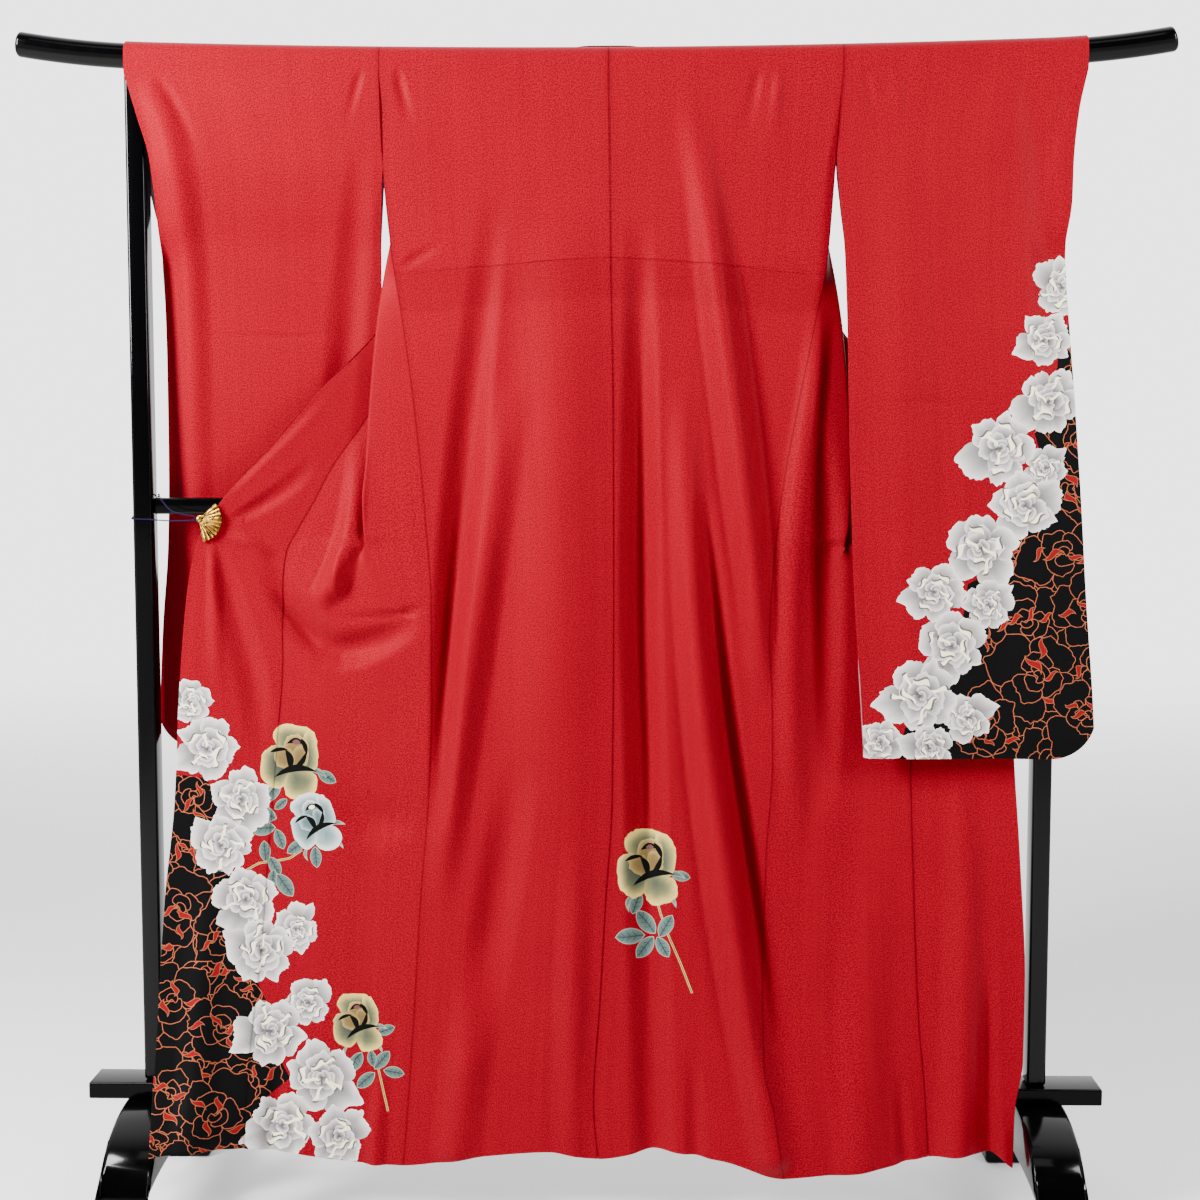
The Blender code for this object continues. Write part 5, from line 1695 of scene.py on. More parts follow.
def leaves(blades: Iterable[Blade], stems: Sequence[Line]) -> list[Patch]:
    """The shapes of stems and leaves.

    Args:
        blades: The leaves.
        stems: Points of each stem.

    Returns:
        The shapes.
    """
    lines = ((1.0, INKS.gold), (0.45, INKS.leaf_deep))
    drawn = [Patch(strip(stem, half), plain(ink)) for stem in stems for half, ink in lines]
    return drawn + [patch for blade in blades for patch in Leaf(*blade).patches()]


@dataclass
class Print:
    """The printed shapes of one piece, lowest first.

    Attributes:
        patches: The shapes.
        ground: Outline of the black ground, if there is one.
    """

    patches: list[Patch]
    ground: list[tuple[float, float]] | None = None

    @classmethod
    def of_sleeve(cls) -> "Print":
        """Black ground with line roses along the outer edge, and white roses down its border."""
        return cls(roses(Style.LINE, SLEEVE_LINE, 40) + roses(Style.WHITE, SLEEVE_WHITE, 10), SLEEVE_GROUND)

    @classmethod
    def of_flap(cls) -> "Print":
        """The front's flap: the same ground and roses, with gold roses beside them.

        Returns:
            The print.
        """
        return cls(
            leaves(FLAP_LEAVES, FLAP_STEMS)
            + roses(Style.LINE, FLAP_LINE, 140)
            + roses(Style.GOLD, FLAP_GOLD, 170)
            + roses(Style.PALE, FLAP_PALE, 180)
            + roses(Style.WHITE, FLAP_WHITE, 110),
            FLAP_GROUND,
        )

    @classmethod
    def of_back(cls) -> "Print":
        """One gold rose on its stem."""
        return cls(leaves(BACK_LEAVES, BACK_STEMS) + roses(Style.GOLD, BACK_GOLD, 200))


def within(outline: Array, places: Array) -> Array:
    """Which places lie inside an outline.

    Args:
        outline: Points of its outline.
        places: Places to test.

    Returns:
        True for each place inside.
    """
    inside = np.zeros(len(places), bool)
    for (ax, ay), (bx, by) in zip(outline, np.roll(outline, -1, axis=0)):
        if ay == by:
            continue
        crosses = (ay > places[:, 1]) != (by > places[:, 1])
        inside ^= crosses & (places[:, 0] < (bx - ax) * (places[:, 1] - ay) / (by - ay) + ax)
    return inside


def clipped(a: Array, b: Array, size: tuple[float, float]) -> Pair | None:
    """The part of a line from a to b that lies in the rectangle from (0, 0) to size, or None.

    Args:
        a: Its start.
        b: Its end.
        size: Width and length of the rectangle.

    Returns:
        Its two ends, or None.
    """
    enter, leave, way = 0.0, 1.0, b - a
    for axis in (0, 1):
        for limit, sign in ((0.0, -1.0), (size[axis], 1.0)):
            run, room = sign * way[axis], sign * (limit - a[axis])
            if run == 0:
                if room < 0:
                    return None
            elif run > 0:
                leave = min(leave, room / run)
            else:
                enter = max(enter, room / run)
    return (a + way * enter, a + way * leave) if leave - enter > 1e-6 else None


@dataclass
class Pattern:
    """A piece's print laid out on its cut cloth, as triangles with a colour at each corner."""

    points: Array
    triangles: Array
    colours: Array


class Printer:
    """Draws a print into the mesh of a piece, so that each petal's edge is an edge of the mesh."""

    def __init__(self, panel: Panel, design: Print, lens: Lens) -> None:
        """Keeps the piece, its print and the camera by whose picture the print is placed."""
        self.panel, self.design, self.lens = panel, design, lens
        self.size = (float(panel.ruler(np.array(1.0))), panel.flat[1])

    def on_cloth(self, pixels: Array) -> Array:
        """Places on the cut cloth of places in the picture.

        Args:
            pixels: Places in the picture.

        Returns:
            A place for each pixel.
        """
        depth = np.full(len(pixels), USUAL_DEPTH)
        for _ in range(3):
            x, z = self.lens.on_plane(pixels[:, 0], pixels[:, 1], depth)
            u, w = self.panel.shares(x - ROBE_X, z)
            depth = self.panel.depth(np.clip(u, 0, 1), x - ROBE_X, z)
        return np.stack([self.panel.ruler(np.clip(u, 0, 1)) + self._past(u), w * self.size[1]], axis=-1)

    def _past(self, u: Array) -> Array:
        """How far a share outside 0 to 1 lies past the piece's edge."""
        return (u - np.clip(u, 0, 1)) * self.size[0]

    def lay_out(self) -> Pattern:
        """Triangulates the cut cloth along the print's outlines and colours the triangles.

        Returns:
            The pattern.
        """
        shapes = self._shapes()
        grid, border = self._grid()
        points, edges = [tuple(p) for p in border], []
        for (outline, _, _, inside), (seen, inside_seen) in zip(shapes, self._in_sight(shapes)):
            inside = inside[inside_seen]
            for a, b, shows in zip(outline, np.roll(outline, -1, axis=0), seen):
                part = clipped(a, b, self.size) if shows else None
                if part is not None:
                    edges.append((len(points), len(points) + 1))
                    points += [tuple(part[0]), tuple(part[1])]
            points += [tuple(p) for p in inside if 0 < p[0] < self.size[0] and 0 < p[1] < self.size[1]]
        points += self._clear_of(grid, np.array(points))
        vertices, _, faces, *_ = delaunay_2d_cdt([Vector(p) for p in points], edges, [], 0, MERGED, False)
        places = np.array([tuple(v) for v in vertices])
        triangles = np.array([face for face in faces if len(face) == 3])
        corners = places[triangles]
        way = corners[:, 1:] - corners[:, :1]
        area = way[:, 0, 0] * way[:, 1, 1] - way[:, 0, 1] * way[:, 1, 0]
        triangles = triangles[np.abs(area) > 1e-11]
        return Pattern(places, triangles, self._coloured(shapes, places, triangles))

    @staticmethod
    def _in_sight(shapes: list[Laid]) -> list[Pair]:
        """For each shape, which of its edges and inside points no later shape covers.

        Args:
            shapes: Outlines with their colour rules, lowest first.

        Returns:
            True for each edge, and for each inside point, that shows.
        """
        probes, sizes = [], []
        for outline, _, _, inside in shapes:
            ahead = np.roll(outline, -1, axis=0)
            probes += [outline, (outline + ahead) / 2, inside]
            sizes.append(2 * len(outline) + len(inside))
        probes = np.vstack(probes)
        open_to_view = np.ones(len(probes), bool)
        ends = np.cumsum(sizes)
        for k, (outline, _, on_ground, _) in enumerate(shapes):
            if on_ground or k == 0:
                continue
            low, high = outline.min(axis=0), outline.max(axis=0)
            below = probes[: ends[k - 1]]
            near = np.flatnonzero(((below > low) & (below < high)).all(axis=1))
            open_to_view[near[within(outline, below[near])]] = False
        found = []
        for k, (outline, _, _, inside) in enumerate(shapes):
            part = open_to_view[ends[k] - sizes[k] : ends[k]]
            points, halves = part[: len(outline)], part[len(outline) : 2 * len(outline)]
            found.append((points | np.roll(points, -1) | halves, part[2 * len(outline) :]))
        return found

    def _shapes(self) -> list[Laid]:
        """The outlines on the cut cloth with their colour rules, the ground first.

        Returns:
            Each outline, its rule, whether it needs the ground, and its inside points.
        """
        patches = list(self.design.patches)
        if self.design.ground:
            ground = np.array(self.design.ground, float)
            sides = zip(ground, np.roll(ground, -1, axis=0))
            fine = [a + (b - a) * t for a, b in sides for t in (0, 0.25, 0.5, 0.75)]
            patches.insert(0, Patch(np.array(fine), plain(INKS.black)))
        pixels = np.vstack([part for p in patches for part in (p.outline, p.inside)])
        cuts = np.cumsum([len(p.outline) + len(p.inside) for p in patches])[:-1]
        found = []
        for patch, part, seen in zip(patches, np.split(self.on_cloth(pixels), cuts), np.split(pixels, cuts)):
            count = len(patch.outline)
            found.append((part[:count], self._rule(patch, part, seen), patch.on_ground, part[count:]))
        return found

    @staticmethod
    def _rule(patch: Patch, laid: Array, seen: Array) -> Rule:
        """The patch's colour rule for places on the cut cloth, by the straight map that fits its points.

        Args:
            patch: The shape.
            laid: Its points on the cut cloth.
            seen: The same in the picture.

        Returns:
            The rule.
        """
        known = np.column_stack([laid, np.ones(len(laid))])
        map_back = np.linalg.lstsq(known, seen, rcond=None)[0]
        return lambda places: patch.colour(np.column_stack([places, np.ones(len(places))]) @ map_back)

    def _grid(self) -> Pair:
        """Inner mesh points and points along the border.

        Returns:
            The two arrays of points.
        """
        across = self.panel.ruler(self.panel.lines())
        down = self.panel.levels() * self.size[1]
        inner = np.stack(np.meshgrid(across[1:-1], down[1:-1]), axis=-1).reshape(-1, 2)
        sides = [(x, y) for x in (0.0, self.size[0]) for y in down]
        sides += [(x, y) for y in (0.0, self.size[1]) for x in across[1:-1]]
        return inner, np.array(sides)

    def _clear_of(self, grid: Array, points: Array) -> list[tuple[float, float]]:
        """The grid's points that aren't crowded by the print's own points.

        Args:
            grid: The mesh's own points.
            points: Points of the print.

        Returns:
            The points that are left.
        """
        taken = {(int(x / CROWDED), int(y / CROWDED)) for x, y in points}
        return [tuple(p) for p in grid if (int(p[0] / CROWDED), int(p[1] / CROWDED)) not in taken]

    def _coloured(self, shapes: list, places: Array, triangles: Array) -> Array:
        """A colour and how far it is printed, at each corner of each triangle.

        Args:
            shapes: Outlines with their colour rules, lowest first.
            places: Places on the cut cloth.
            triangles: Places of each triangle.

        Returns:
            Red, green, blue and print for each corner.
        """
        corners = places[triangles]
        middles = corners.mean(axis=1)
        colours = np.zeros((len(triangles), 3, 4), np.float32)
        ground = np.zeros(len(triangles), bool)
        for k, (outline, rule, on_ground, _) in enumerate(shapes):
            low, high = outline.min(axis=0), outline.max(axis=0)
            near = np.flatnonzero(np.all((middles > low) & (middles < high), axis=1))
            if on_ground:
                near = near[ground[near]]
            hit = near[within(outline, middles[near])] if len(near) else near
            if not len(hit):
                continue
            if k == 0 and self.design.ground:
                ground[hit] = True
            colours[hit, :, :3] = rule(corners[hit].reshape(-1, 2)).reshape(-1, 3, 3)
            colours[hit, :, 3] = 1.0
        return colours


class Value:
    """A shader socket that takes part in arithmetic."""

    def __init__(self, graph: "Graph", socket: bpy.types.NodeSocket) -> None:
        """Keeps the graph and the socket."""
        self.graph, self.socket = graph, socket

    def __add__(self, other: "Value | float") -> "Value":
        """Sum."""
        return self.graph.math("ADD", self, other)

    __radd__ = __add__

    def __sub__(self, other: "Value | float") -> "Value":
        """Difference."""
        return self.graph.math("SUBTRACT", self, other)

    def __rsub__(self, other: float) -> "Value":
        """Difference from a number."""
        return self.graph.math("SUBTRACT", other, self)

    def __mul__(self, other: "Value | float") -> "Value":
        """Product."""
        return self.graph.math("MULTIPLY", self, other)

    __rmul__ = __mul__

    def ramp(self, low: float, high: float) -> "Value":
        """0 below low, 1 above high and a soft rise between.

        Args:
            low: Where the rise starts.
            high: Where it ends.

        Returns:
            The result.
        """
        return self.graph.node(
            "ShaderNodeMapRange",
            {"interpolation_type": "SMOOTHSTEP"},
            Value=self, From_Min=low, From_Max=high, To_Min=0.0, To_Max=1.0,
        )


class Graph:
    """A material's node tree, built by expressions."""

    def __init__(self, name: str) -> None:
        """Makes the material with an empty tree.

        Args:
            name: The material's name.
        """
        self.material = bpy.data.materials.new(name)
        self.material.use_nodes = True
        self.tree = self.material.node_tree
        self.tree.nodes.clear()

    def node(
        self,
        kind: str,
        settings: dict | None = None,
        result: str | int = 0,
        **inputs: "Value | Colour | float",
    ) -> Value:
        """Adds a node and gives one of its outputs.

        Args:
            kind: The node's type.
            settings: Its own settings, made before the sockets are filled.
            result: Name, identifier or number of the output.
            **inputs: Sockets by name or identifier, with _ for a space.

        Returns:
            The output as a value.
        """
        made = self.tree.nodes.new(kind)
        for key, setting in (settings or {}).items():
            setattr(made, key, setting)
        for key, value in inputs.items():
            self._fill(self._socket(made.inputs, key.replace("_", " "), key), value)
        if isinstance(result, int):
            return Value(self, made.outputs[result])
        return Value(self, self._socket(made.outputs, result, result))

    @staticmethod
    def _socket(
        sockets: Iterable[bpy.types.NodeSocket], name: str, identifier: str
    ) -> bpy.types.NodeSocket:
        """The socket with that name or identifier.

        Args:
            sockets: A node's sockets.
            name: Its name.
            identifier: Its identifier.

        Returns:
            The socket.
        """
        for socket in sockets:
            if socket.identifier == identifier or (socket.name == name and socket.enabled):
                return socket
        raise KeyError(name)

    def _fill(self, socket: bpy.types.NodeSocket, value: "Value | Colour | float") -> None:
        """Links a value or sets a constant.

        Args:
            socket: The socket.
            value: A value to link or a constant.
        """
        if isinstance(value, Value):
            self.tree.links.new(value.socket, socket)
        elif socket.type == "RGBA":
            socket.default_value = (*value, 1.0)
        else:
            socket.default_value = value

    def math(self, operation: str, *values: "Value | float") -> Value:
        """A Math node on values or numbers.

        Args:
            operation: What the node does.
            *values: What it works on.

        Returns:
            The result.
        """
        made = self.tree.nodes.new("ShaderNodeMath")
        made.operation = operation
        for socket, value in zip(made.inputs, values):
            self._fill(socket, value)
        return Value(self, made.outputs[0])

    def blend(self, share: "Value | float", a: "Value | Colour", b: "Value | Colour") -> Value:
        """A colour between a and b."""
        sockets = {"Factor_Float": share, "A_Color": a, "B_Color": b}
        return self.node("ShaderNodeMix", {"data_type": "RGBA"}, "Result_Color", **sockets)

    def stretched(self, places: Value, by: tuple[float, float, float]) -> Value:
        """Places scaled along each axis.

        Args:
            places: The places.
            by: Scale along each axis.

        Returns:
            The scaled places.
        """
        made = self.tree.nodes.new("ShaderNodeVectorMath")
        made.operation = "MULTIPLY"
        self._fill(made.inputs[0], places)
        made.inputs[1].default_value = by
        return Value(self, made.outputs[0])

    def noise(self, places: Value, scale: float, detail: float = 2.0, rough: float = 0.5) -> Value:
        """Noise of 0 to 1."""
        sizes = {"Scale": scale, "Detail": detail, "Roughness": rough}
        return self.node("ShaderNodeTexNoise", Vector=places, **sizes)

    def object_places(self) -> Value:
        """Places in the object's own metres."""
        return self.node("ShaderNodeTexCoord", None, "Object")

    def cloth_places(self) -> Value:
        """Places on the cut cloth in metres."""
        return self.node("ShaderNodeUVMap", {"uv_map": "cloth"})

    def bump(self, height: Value, strength: float, distance: float) -> Value:
        """A normal from a height."""
        return self.node("ShaderNodeBump", Strength=strength, Distance=distance, Height=height)

    def shader(self, **sockets: "Value | Colour | float") -> Value:
        """A shader with these sockets."""
        return self.node("ShaderNodeBsdfPrincipled", **sockets)

    def close(self, shader: Value) -> Material:
        """Ends the tree in a shader, and gives the material.

        Args:
            shader: What the surface shows.

        Returns:
            The material.
        """
        made = self.tree.nodes.new("ShaderNodeOutputMaterial")
        self.tree.links.new(shader.socket, made.inputs["Surface"])
        return self.material

    def finish(self, **sockets: "Value | Colour | float") -> Material:
        """Ends the tree in a shader with these sockets, and gives the material."""
        return self.close(self.shader(**sockets))


@dataclass(frozen=True)
class Satin:
    """Red silk satin with a fine crepe grain and a few gold glints painted as highlight, printed or plain.

    Attributes:
        name: The material's name.
        printed: Whether it reads the print's colours.
        bright: Colour of the crepe's high points, where its bump is high.
        deep: Colour between them, the grain's darker tone and also painted shade in the crepe's hollows.
        painted_glint: Colour of the glints, a painted highlight.
    """

    name: str = "red_satin_plain"
    printed: bool = False
    bright: Colour = (0.225, 0.0004, 0.0080)
    deep: Colour = (0.090, 0.0002, 0.0042)
    painted_glint: Colour = (0.320, 0.026, 0.016)

    def build(self) -> Material:
        """The finish as a material.

        Returns:
            The material.
        """
        g = Graph(self.name)
        cloth = g.cloth_places()
        grain = g.noise(cloth, 520, 3.0, 0.65)
        thread = g.noise(g.stretched(cloth, (1500, 240, 1)), 1.0, 1.0)
        slub = g.noise(g.stretched(cloth, (90, 2.2, 1)), 1.0, 2.0)
        wide = g.noise(cloth, 9, 2.0)
        # the grain's tone follows the same noise as the bump, so its hollows also get painted shade
        base = g.blend(grain.ramp(0.41, 0.59) * 0.75 + slub * 0.25, self.deep, self.bright)
        base = g.blend((wide - 0.5) * 0.30 + 0.12, base, self.deep)
        # painted highlight: sparse specks brightened towards the glint colour
        painted_glints = g.noise(cloth, 560, 1.0).ramp(0.60, 0.74) * 0.42
        base = g.blend(painted_glints, base, self.painted_glint)
        # painted shade: the 'shade' attribute darkens the cloth at seams and tucks, with the seams' dark
        # joins
        shade = g.node("ShaderNodeAttribute", {"attribute_name": "shade"}, "Fac")
        normal = g.bump(grain * 0.6 + thread * 0.4, 0.25, 0.0004)
        silk = g.shader(
            Base_Color=g.blend(shade, base, (0.006, 0.0008, 0.0008)),
            Roughness=0.46 + grain * 0.10,
            Specular_IOR_Level=0.14,
            Specular_Tint=(1.0, 0.05, 0.07),
            Normal=normal,
        )
        if not self.printed:
            return g.close(silk)
        ink = g.node("ShaderNodeAttribute", {"attribute_name": "print"}, "Color")
        mask = g.node("ShaderNodeAttribute", {"attribute_name": "print"}, "Alpha")
        stipple = g.noise(cloth, 760, 2.0).ramp(0.25, 0.75)
        inked = g.blend(1 - stipple * 0.30, (0.0, 0.0, 0.0), ink)
        laid = g.shader(
            Base_Color=g.blend(shade, inked, (0.001, 0.0006, 0.0006)),
            Roughness=0.56 + grain * 0.10,
            Specular_IOR_Level=0.02,
            Normal=normal,
        )
        return g.close(g.node("ShaderNodeMixShader", Fac=mask, Shader=silk, Shader_001=laid))


@dataclass(frozen=True)
class Lining:
    """The pale silk lining inside."""

    name: str = "pale_lining"
    light: Colour = (0.30, 0.26, 0.28)
    shade: Colour = (0.18, 0.15, 0.165)

    def build(self) -> Material:
        """The finish as a material.

        Returns:
            The material.
        """
        g = Graph(self.name)
        cloth = g.cloth_places()
        grain = g.noise(cloth, 800, 3.0)
        wide = g.noise(cloth, 12, 2.0)
        return g.finish(
            Base_Color=g.blend(grain * 0.5 + wide * 0.5, self.shade, self.light),
            Roughness=0.50 + grain * 0.12,
            Specular_IOR_Level=0.25,
            Normal=g.bump(grain, 0.2, 0.0003),
        )


@dataclass(frozen=True)
class Lacquer:
    """Black lacquer, from mirror gloss to satin.

    Attributes:
        name: The material's name.
        colour: Body colour.
        rough: Roughness.
        level: Strength of its reflections at right angles.
    """

    name: str = "black_lacquer_gloss"
    colour: Colour = (0.0004, 0.0004, 0.0005)
    rough: float = 0.08
    level: float = 0.12

    def build(self) -> Material:
        """The finish as a material.

        Returns:
            The material.
        """
        g = Graph(self.name)
        places = g.object_places()
        brushed = g.noise(g.stretched(places, (60, 60, 6)), 1.0, 3.0)
        dust = g.noise(places, 900, 1.0).ramp(0.72, 0.80)
        ripple = g.noise(places, 35, 2.0)
        light = tuple(v * 2.0 + 0.0004 for v in self.colour)
        return g.finish(
            Base_Color=g.blend(brushed * 0.5 + dust * 0.3, self.colour, light),
            Roughness=self.rough + brushed * 0.06 + dust * 0.08,
            Specular_IOR_Level=self.level,
            Normal=g.bump(ripple, 0.05, 0.0020),
        )


@dataclass(frozen=True)
class Brass:
    """Gilt brass, brighter on its ridges."""

    name: str = "gilt_brass_metal"
    bright: Colour = (0.50, 0.29, 0.055)
    deep: Colour = (0.080, 0.036, 0.007)

    def build(self) -> Material:
        """The finish as a material.

        Returns:
            The material.
        """
        g = Graph(self.name)
        places = g.object_places()
        stain = g.noise(places, 260, 3.0)
        scratch = g.noise(g.stretched(places, (2200, 300, 2200)), 1.0, 2.0)
        return g.finish(
            Base_Color=g.blend(stain.ramp(0.30, 0.62), self.deep, self.bright),
            Metallic=1.0,
            Roughness=0.22 + stain * 0.16,
            Normal=g.bump(scratch, 0.25, 0.0002),
        )


@dataclass(frozen=True)
class Thread:
    """Purple sewing thread."""

    name: str = "purple_thread_ply"
    bright: Colour = (0.008, 0.0015, 0.026)
    deep: Colour = (0.003, 0.0005, 0.009)

    def build(self) -> Material:
        """The finish as a material.

        Returns:
            The material.
        """
        g = Graph(self.name)
        fibre = g.noise(g.object_places(), 2600, 2.0)
        return g.finish(
            Base_Color=g.blend(fibre, self.deep, self.bright),
            Roughness=0.55 + fibre * 0.2,
            Specular_IOR_Level=0.1,
            Normal=g.bump(fibre, 0.4, 0.0002),
        )


@dataclass(frozen=True)
class Paper:
    """The pale floor that the stand is on."""

    name: str = "pale_floor"
    colour: Colour = (0.66, 0.66, 0.66)
    glow: float = 3.1
    start: float = 0.9
    reach: float = 7.0

    def build(self) -> Material:
        """The finish as a material, which takes on the light of the room beyond the stand.

        Returns:
            The material.
        """
        g = Graph(self.name)
        places = g.object_places()
        grain = g.noise(places, 8, 2.0)
        light = tuple(min(1.0, v * 1.03) for v in self.colour)
        parts = g.node("ShaderNodeSeparateXYZ", {}, "Y", Vector=places)
        far = parts.ramp(self.start, self.reach)
        return g.finish(
            Base_Color=g.blend(far, g.blend(grain, self.colour, light), (0.0, 0.0, 0.0)),
            Roughness=0.75 + grain * 0.1,
            Specular_IOR_Level=0.0,
            Emission_Color=g.blend(far, (0.0, 0.0, 0.0), (1.0, 1.0, 1.0)),
            Emission_Strength=self.glow,
        )


@dataclass
class Finishes:
    """Every material of the piece, made once."""

    satin: Material = field(default_factory=lambda: Satin().build())
    printed: Material = field(default_factory=lambda: Satin("red_satin_printed", True).build())
    lining: Material = field(default_factory=lambda: Lining().build())
    gloss: Material = field(default_factory=lambda: Lacquer().build())
    dull: Material = field(
        default_factory=lambda: Lacquer("black_lacquer_satin", (0.0004, 0.0004, 0.0005), 0.12, 0.05).build()
    )
    brass: Material = field(default_factory=lambda: Brass().build())
    purple: Material = field(default_factory=lambda: Thread().build())


def settle(piece: bpy.types.Object, slot: str, *nodes: str) -> bpy.types.Object:
    """Rides the piece on the body and hides the nodes it stands for.

    Args:
        piece: The piece.
        slot: Its slot's name; not used.
        *nodes: Nodes that it stands for.

    Returns:
        The same piece.
    """
    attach(piece, BODY)
    if nodes:
        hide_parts(*nodes)
    shape = piece.data
    size = len(shape.polygons) if piece.type == "MESH" else len(shape.splines)
    LOG.info("%s: %d faces or splines", piece.name, size)
    return piece


class ClothMaker:
    """Makes a thin sheet with round edges from a piece's surface."""

    def __init__(self, finishes: Finishes) -> None:
        """Keeps the materials."""
        self.finishes = finishes

    def grid(self, panel: Panel) -> bpy.types.Object:
        """A sheet of even cells.

        Args:
            panel: The piece.

        Returns:
            The sheet.
        """
        u, w = np.meshgrid(panel.lines(), panel.levels())
        rows, columns = u.shape
        index = np.arange(rows * columns).reshape(rows, columns)
        quads = np.stack([index[:-1, :-1], index[:-1, 1:], index[1:, 1:], index[1:, :-1]], axis=-1)
        outside, inside = self.finishes.satin, None if isinstance(panel, Collar) else self.finishes.lining
        return self.sheet(panel, u.ravel(), w.ravel(), quads.reshape(-1, 4), None, outside, inside)

    def drawn(self, panel: Panel, pattern: Pattern) -> bpy.types.Object:
        """A sheet with a print in its mesh.

        Args:
            panel: The piece.
            pattern: The print on its cut cloth.

        Returns:
            The sheet.
        """
        u = np.clip(panel.unruler(pattern.points[:, 0]), 0, 1)
        w = np.clip(pattern.points[:, 1] / panel.flat[1], 0, 1)
        outside, inside = self.finishes.printed, self.finishes.lining
        return self.sheet(panel, u, w, pattern.triangles, pattern.colours, outside, inside)

    def sheet(
        self,
        panel: Panel,
        u: Array,
        w: Array,
        faces: Array,
        colours: Array | None,
        outside: Material,
        inside: Material | None,
    ) -> bpy.types.Object:
        """Builds the sheet's two sides and its round rim.

        Args:
            panel: The piece.
            u: Share across of each point.
            w: Share down of each point.
            faces: Points of each face, turned with u to w.
            colours: The print at each corner, or None.
            outside: Material of its right side.
            inside: Material of its other side, or None for the same.

        Returns:
            The sheet as a mesh object.
        """
        middle, normal = self._surface(panel, u, w)
        count, sides = len(middle), faces.shape[1]
        if panel.outward < 0:
            faces = faces[:, ::-1]
            colours = None if colours is None else colours[:, ::-1]
        start, end, corner = self._border(faces)
        rim = np.unique(np.concatenate([start, end]))
        out = self._outward(middle, normal, start, end)[rim]
        out[(w[rim] < 1e-6) & (panel.crest > 0)] = 0.0
        place = np.full(count, -1)
        place[rim] = np.arange(len(rim)) + 2 * count
        half = SHEET / 2
        points = np.vstack([middle + normal * half, middle - normal * half, middle[rim] + out * half])
        open_rim = np.abs(out).sum(axis=1, keepdims=True) > 0
        normals = np.vstack([normal, -normal, np.where(open_rim, out, normal[rim])])
        upper = np.stack([end, start, place[start], place[end]], axis=-1)
        lower = np.stack([place[end], place[start], start + count, end + count], axis=-1)
        parts = [faces, faces[:, ::-1] + count, upper, lower]
        mesh = bpy.data.meshes.new(panel.name + "_silk")
        mesh.from_pydata(points.tolist(), [], [face for part in parts for face in part.tolist()])
        numbers = [np.full(len(part), 1 if k == 1 and inside else 0) for k, part in enumerate(parts)]
        mesh.polygons.foreach_set("material_index", np.concatenate(numbers))
        mesh.polygons.foreach_set("use_smooth", np.ones(len(mesh.polygons), bool))
        flat = np.stack([u * panel.flat[0], w * panel.flat[1]], axis=-1)
        every = np.vstack([flat, flat, flat[rim]])[np.concatenate([part.ravel() for part in parts])]
        layer = mesh.uv_layers.new(name="cloth")
        layer.data.foreach_set("uv", every.astype(np.float32).ravel())
        if colours is not None:
            face, at = corner
            edge = np.stack([colours[face, (at + 1) % sides], colours[face, at]], axis=1)
            rim_ink = np.concatenate([edge, edge[:, ::-1]], axis=1)
            inks = [part.reshape(-1, 4) for part in (colours, np.zeros_like(colours), rim_ink, rim_ink)]
            layer = mesh.attributes.new("print", "FLOAT_COLOR", "CORNER")
            layer.data.foreach_set("color", np.concatenate(inks).astype(np.float32).ravel())
        # painted shade of seams and tucks, with the seams' dark joins, kept as a point attribute
        shade = panel.shade(u, w)
        layer = mesh.attributes.new("shade", "FLOAT", "POINT")
        layer.data.foreach_set("value", np.concatenate([shade, shade, shade[rim]]).astype(np.float32))
        mesh.normals_split_custom_set_from_vertices(normals.tolist())
        mesh.materials.append(outside)
        if inside:
            mesh.materials.append(inside)
        return placed(panel.name + "_silk", mesh)

    @staticmethod
    def _surface(panel: Panel, u: Array, w: Array) -> Pair:
        """Points and unit normals of the sheet's middle.

        Args:
            panel: The piece.
            u: Shares across.
            w: Shares down.

        Returns:
            The points and the normals.
        """
        step = 0.0006
        u0, u1 = np.clip(u - step, 0, 1), np.clip(u + step, 0, 1)
        w0, w1 = np.clip(w - step, 0, 1), np.clip(w + step, 0, 1)
        across = (panel.place(u1, w) - panel.place(u0, w)) / (u1 - u0)[:, None]
        down = (panel.place(u, w1) - panel.place(u, w0)) / (w1 - w0)[:, None]
        normal = panel.outward * np.cross(across, down)
        return panel.place(u, w), unit(normal)

    @staticmethod
    def _border(faces: Array) -> tuple[Array, Array, Pair]:
        """Starts and ends of the edges with one face, and the face and corner that each starts at.

        Args:
            faces: Points of each face.

        Returns:
            Starts, ends, and the face and corner of each start.
        """
        start, end = faces.ravel(), np.roll(faces, -1, axis=1).ravel()
        size = int(faces.max()) + 1
        alone = ~np.isin(start * size + end, end * size + start)
        where = np.flatnonzero(alone)
        return start[where], end[where], (where // faces.shape[1], where % faces.shape[1])

    @staticmethod
    def _outward(middle: Array, normal: Array, start: Array, end: Array) -> Array:
        """Unit ways out of the sheet at its border, in its own plane.

        Args:
            middle: Points of the sheet's middle.
            normal: Their normals.
            start: Starts of the border's edges.
            end: Their ends.

        Returns:
            A way for each point.
        """
        way = np.zeros_like(middle)
        edge = unit(np.cross(middle[end] - middle[start], normal[start]))
        np.add.at(way, start, edge)
        np.add.at(way, end, edge)
        return unit(way)


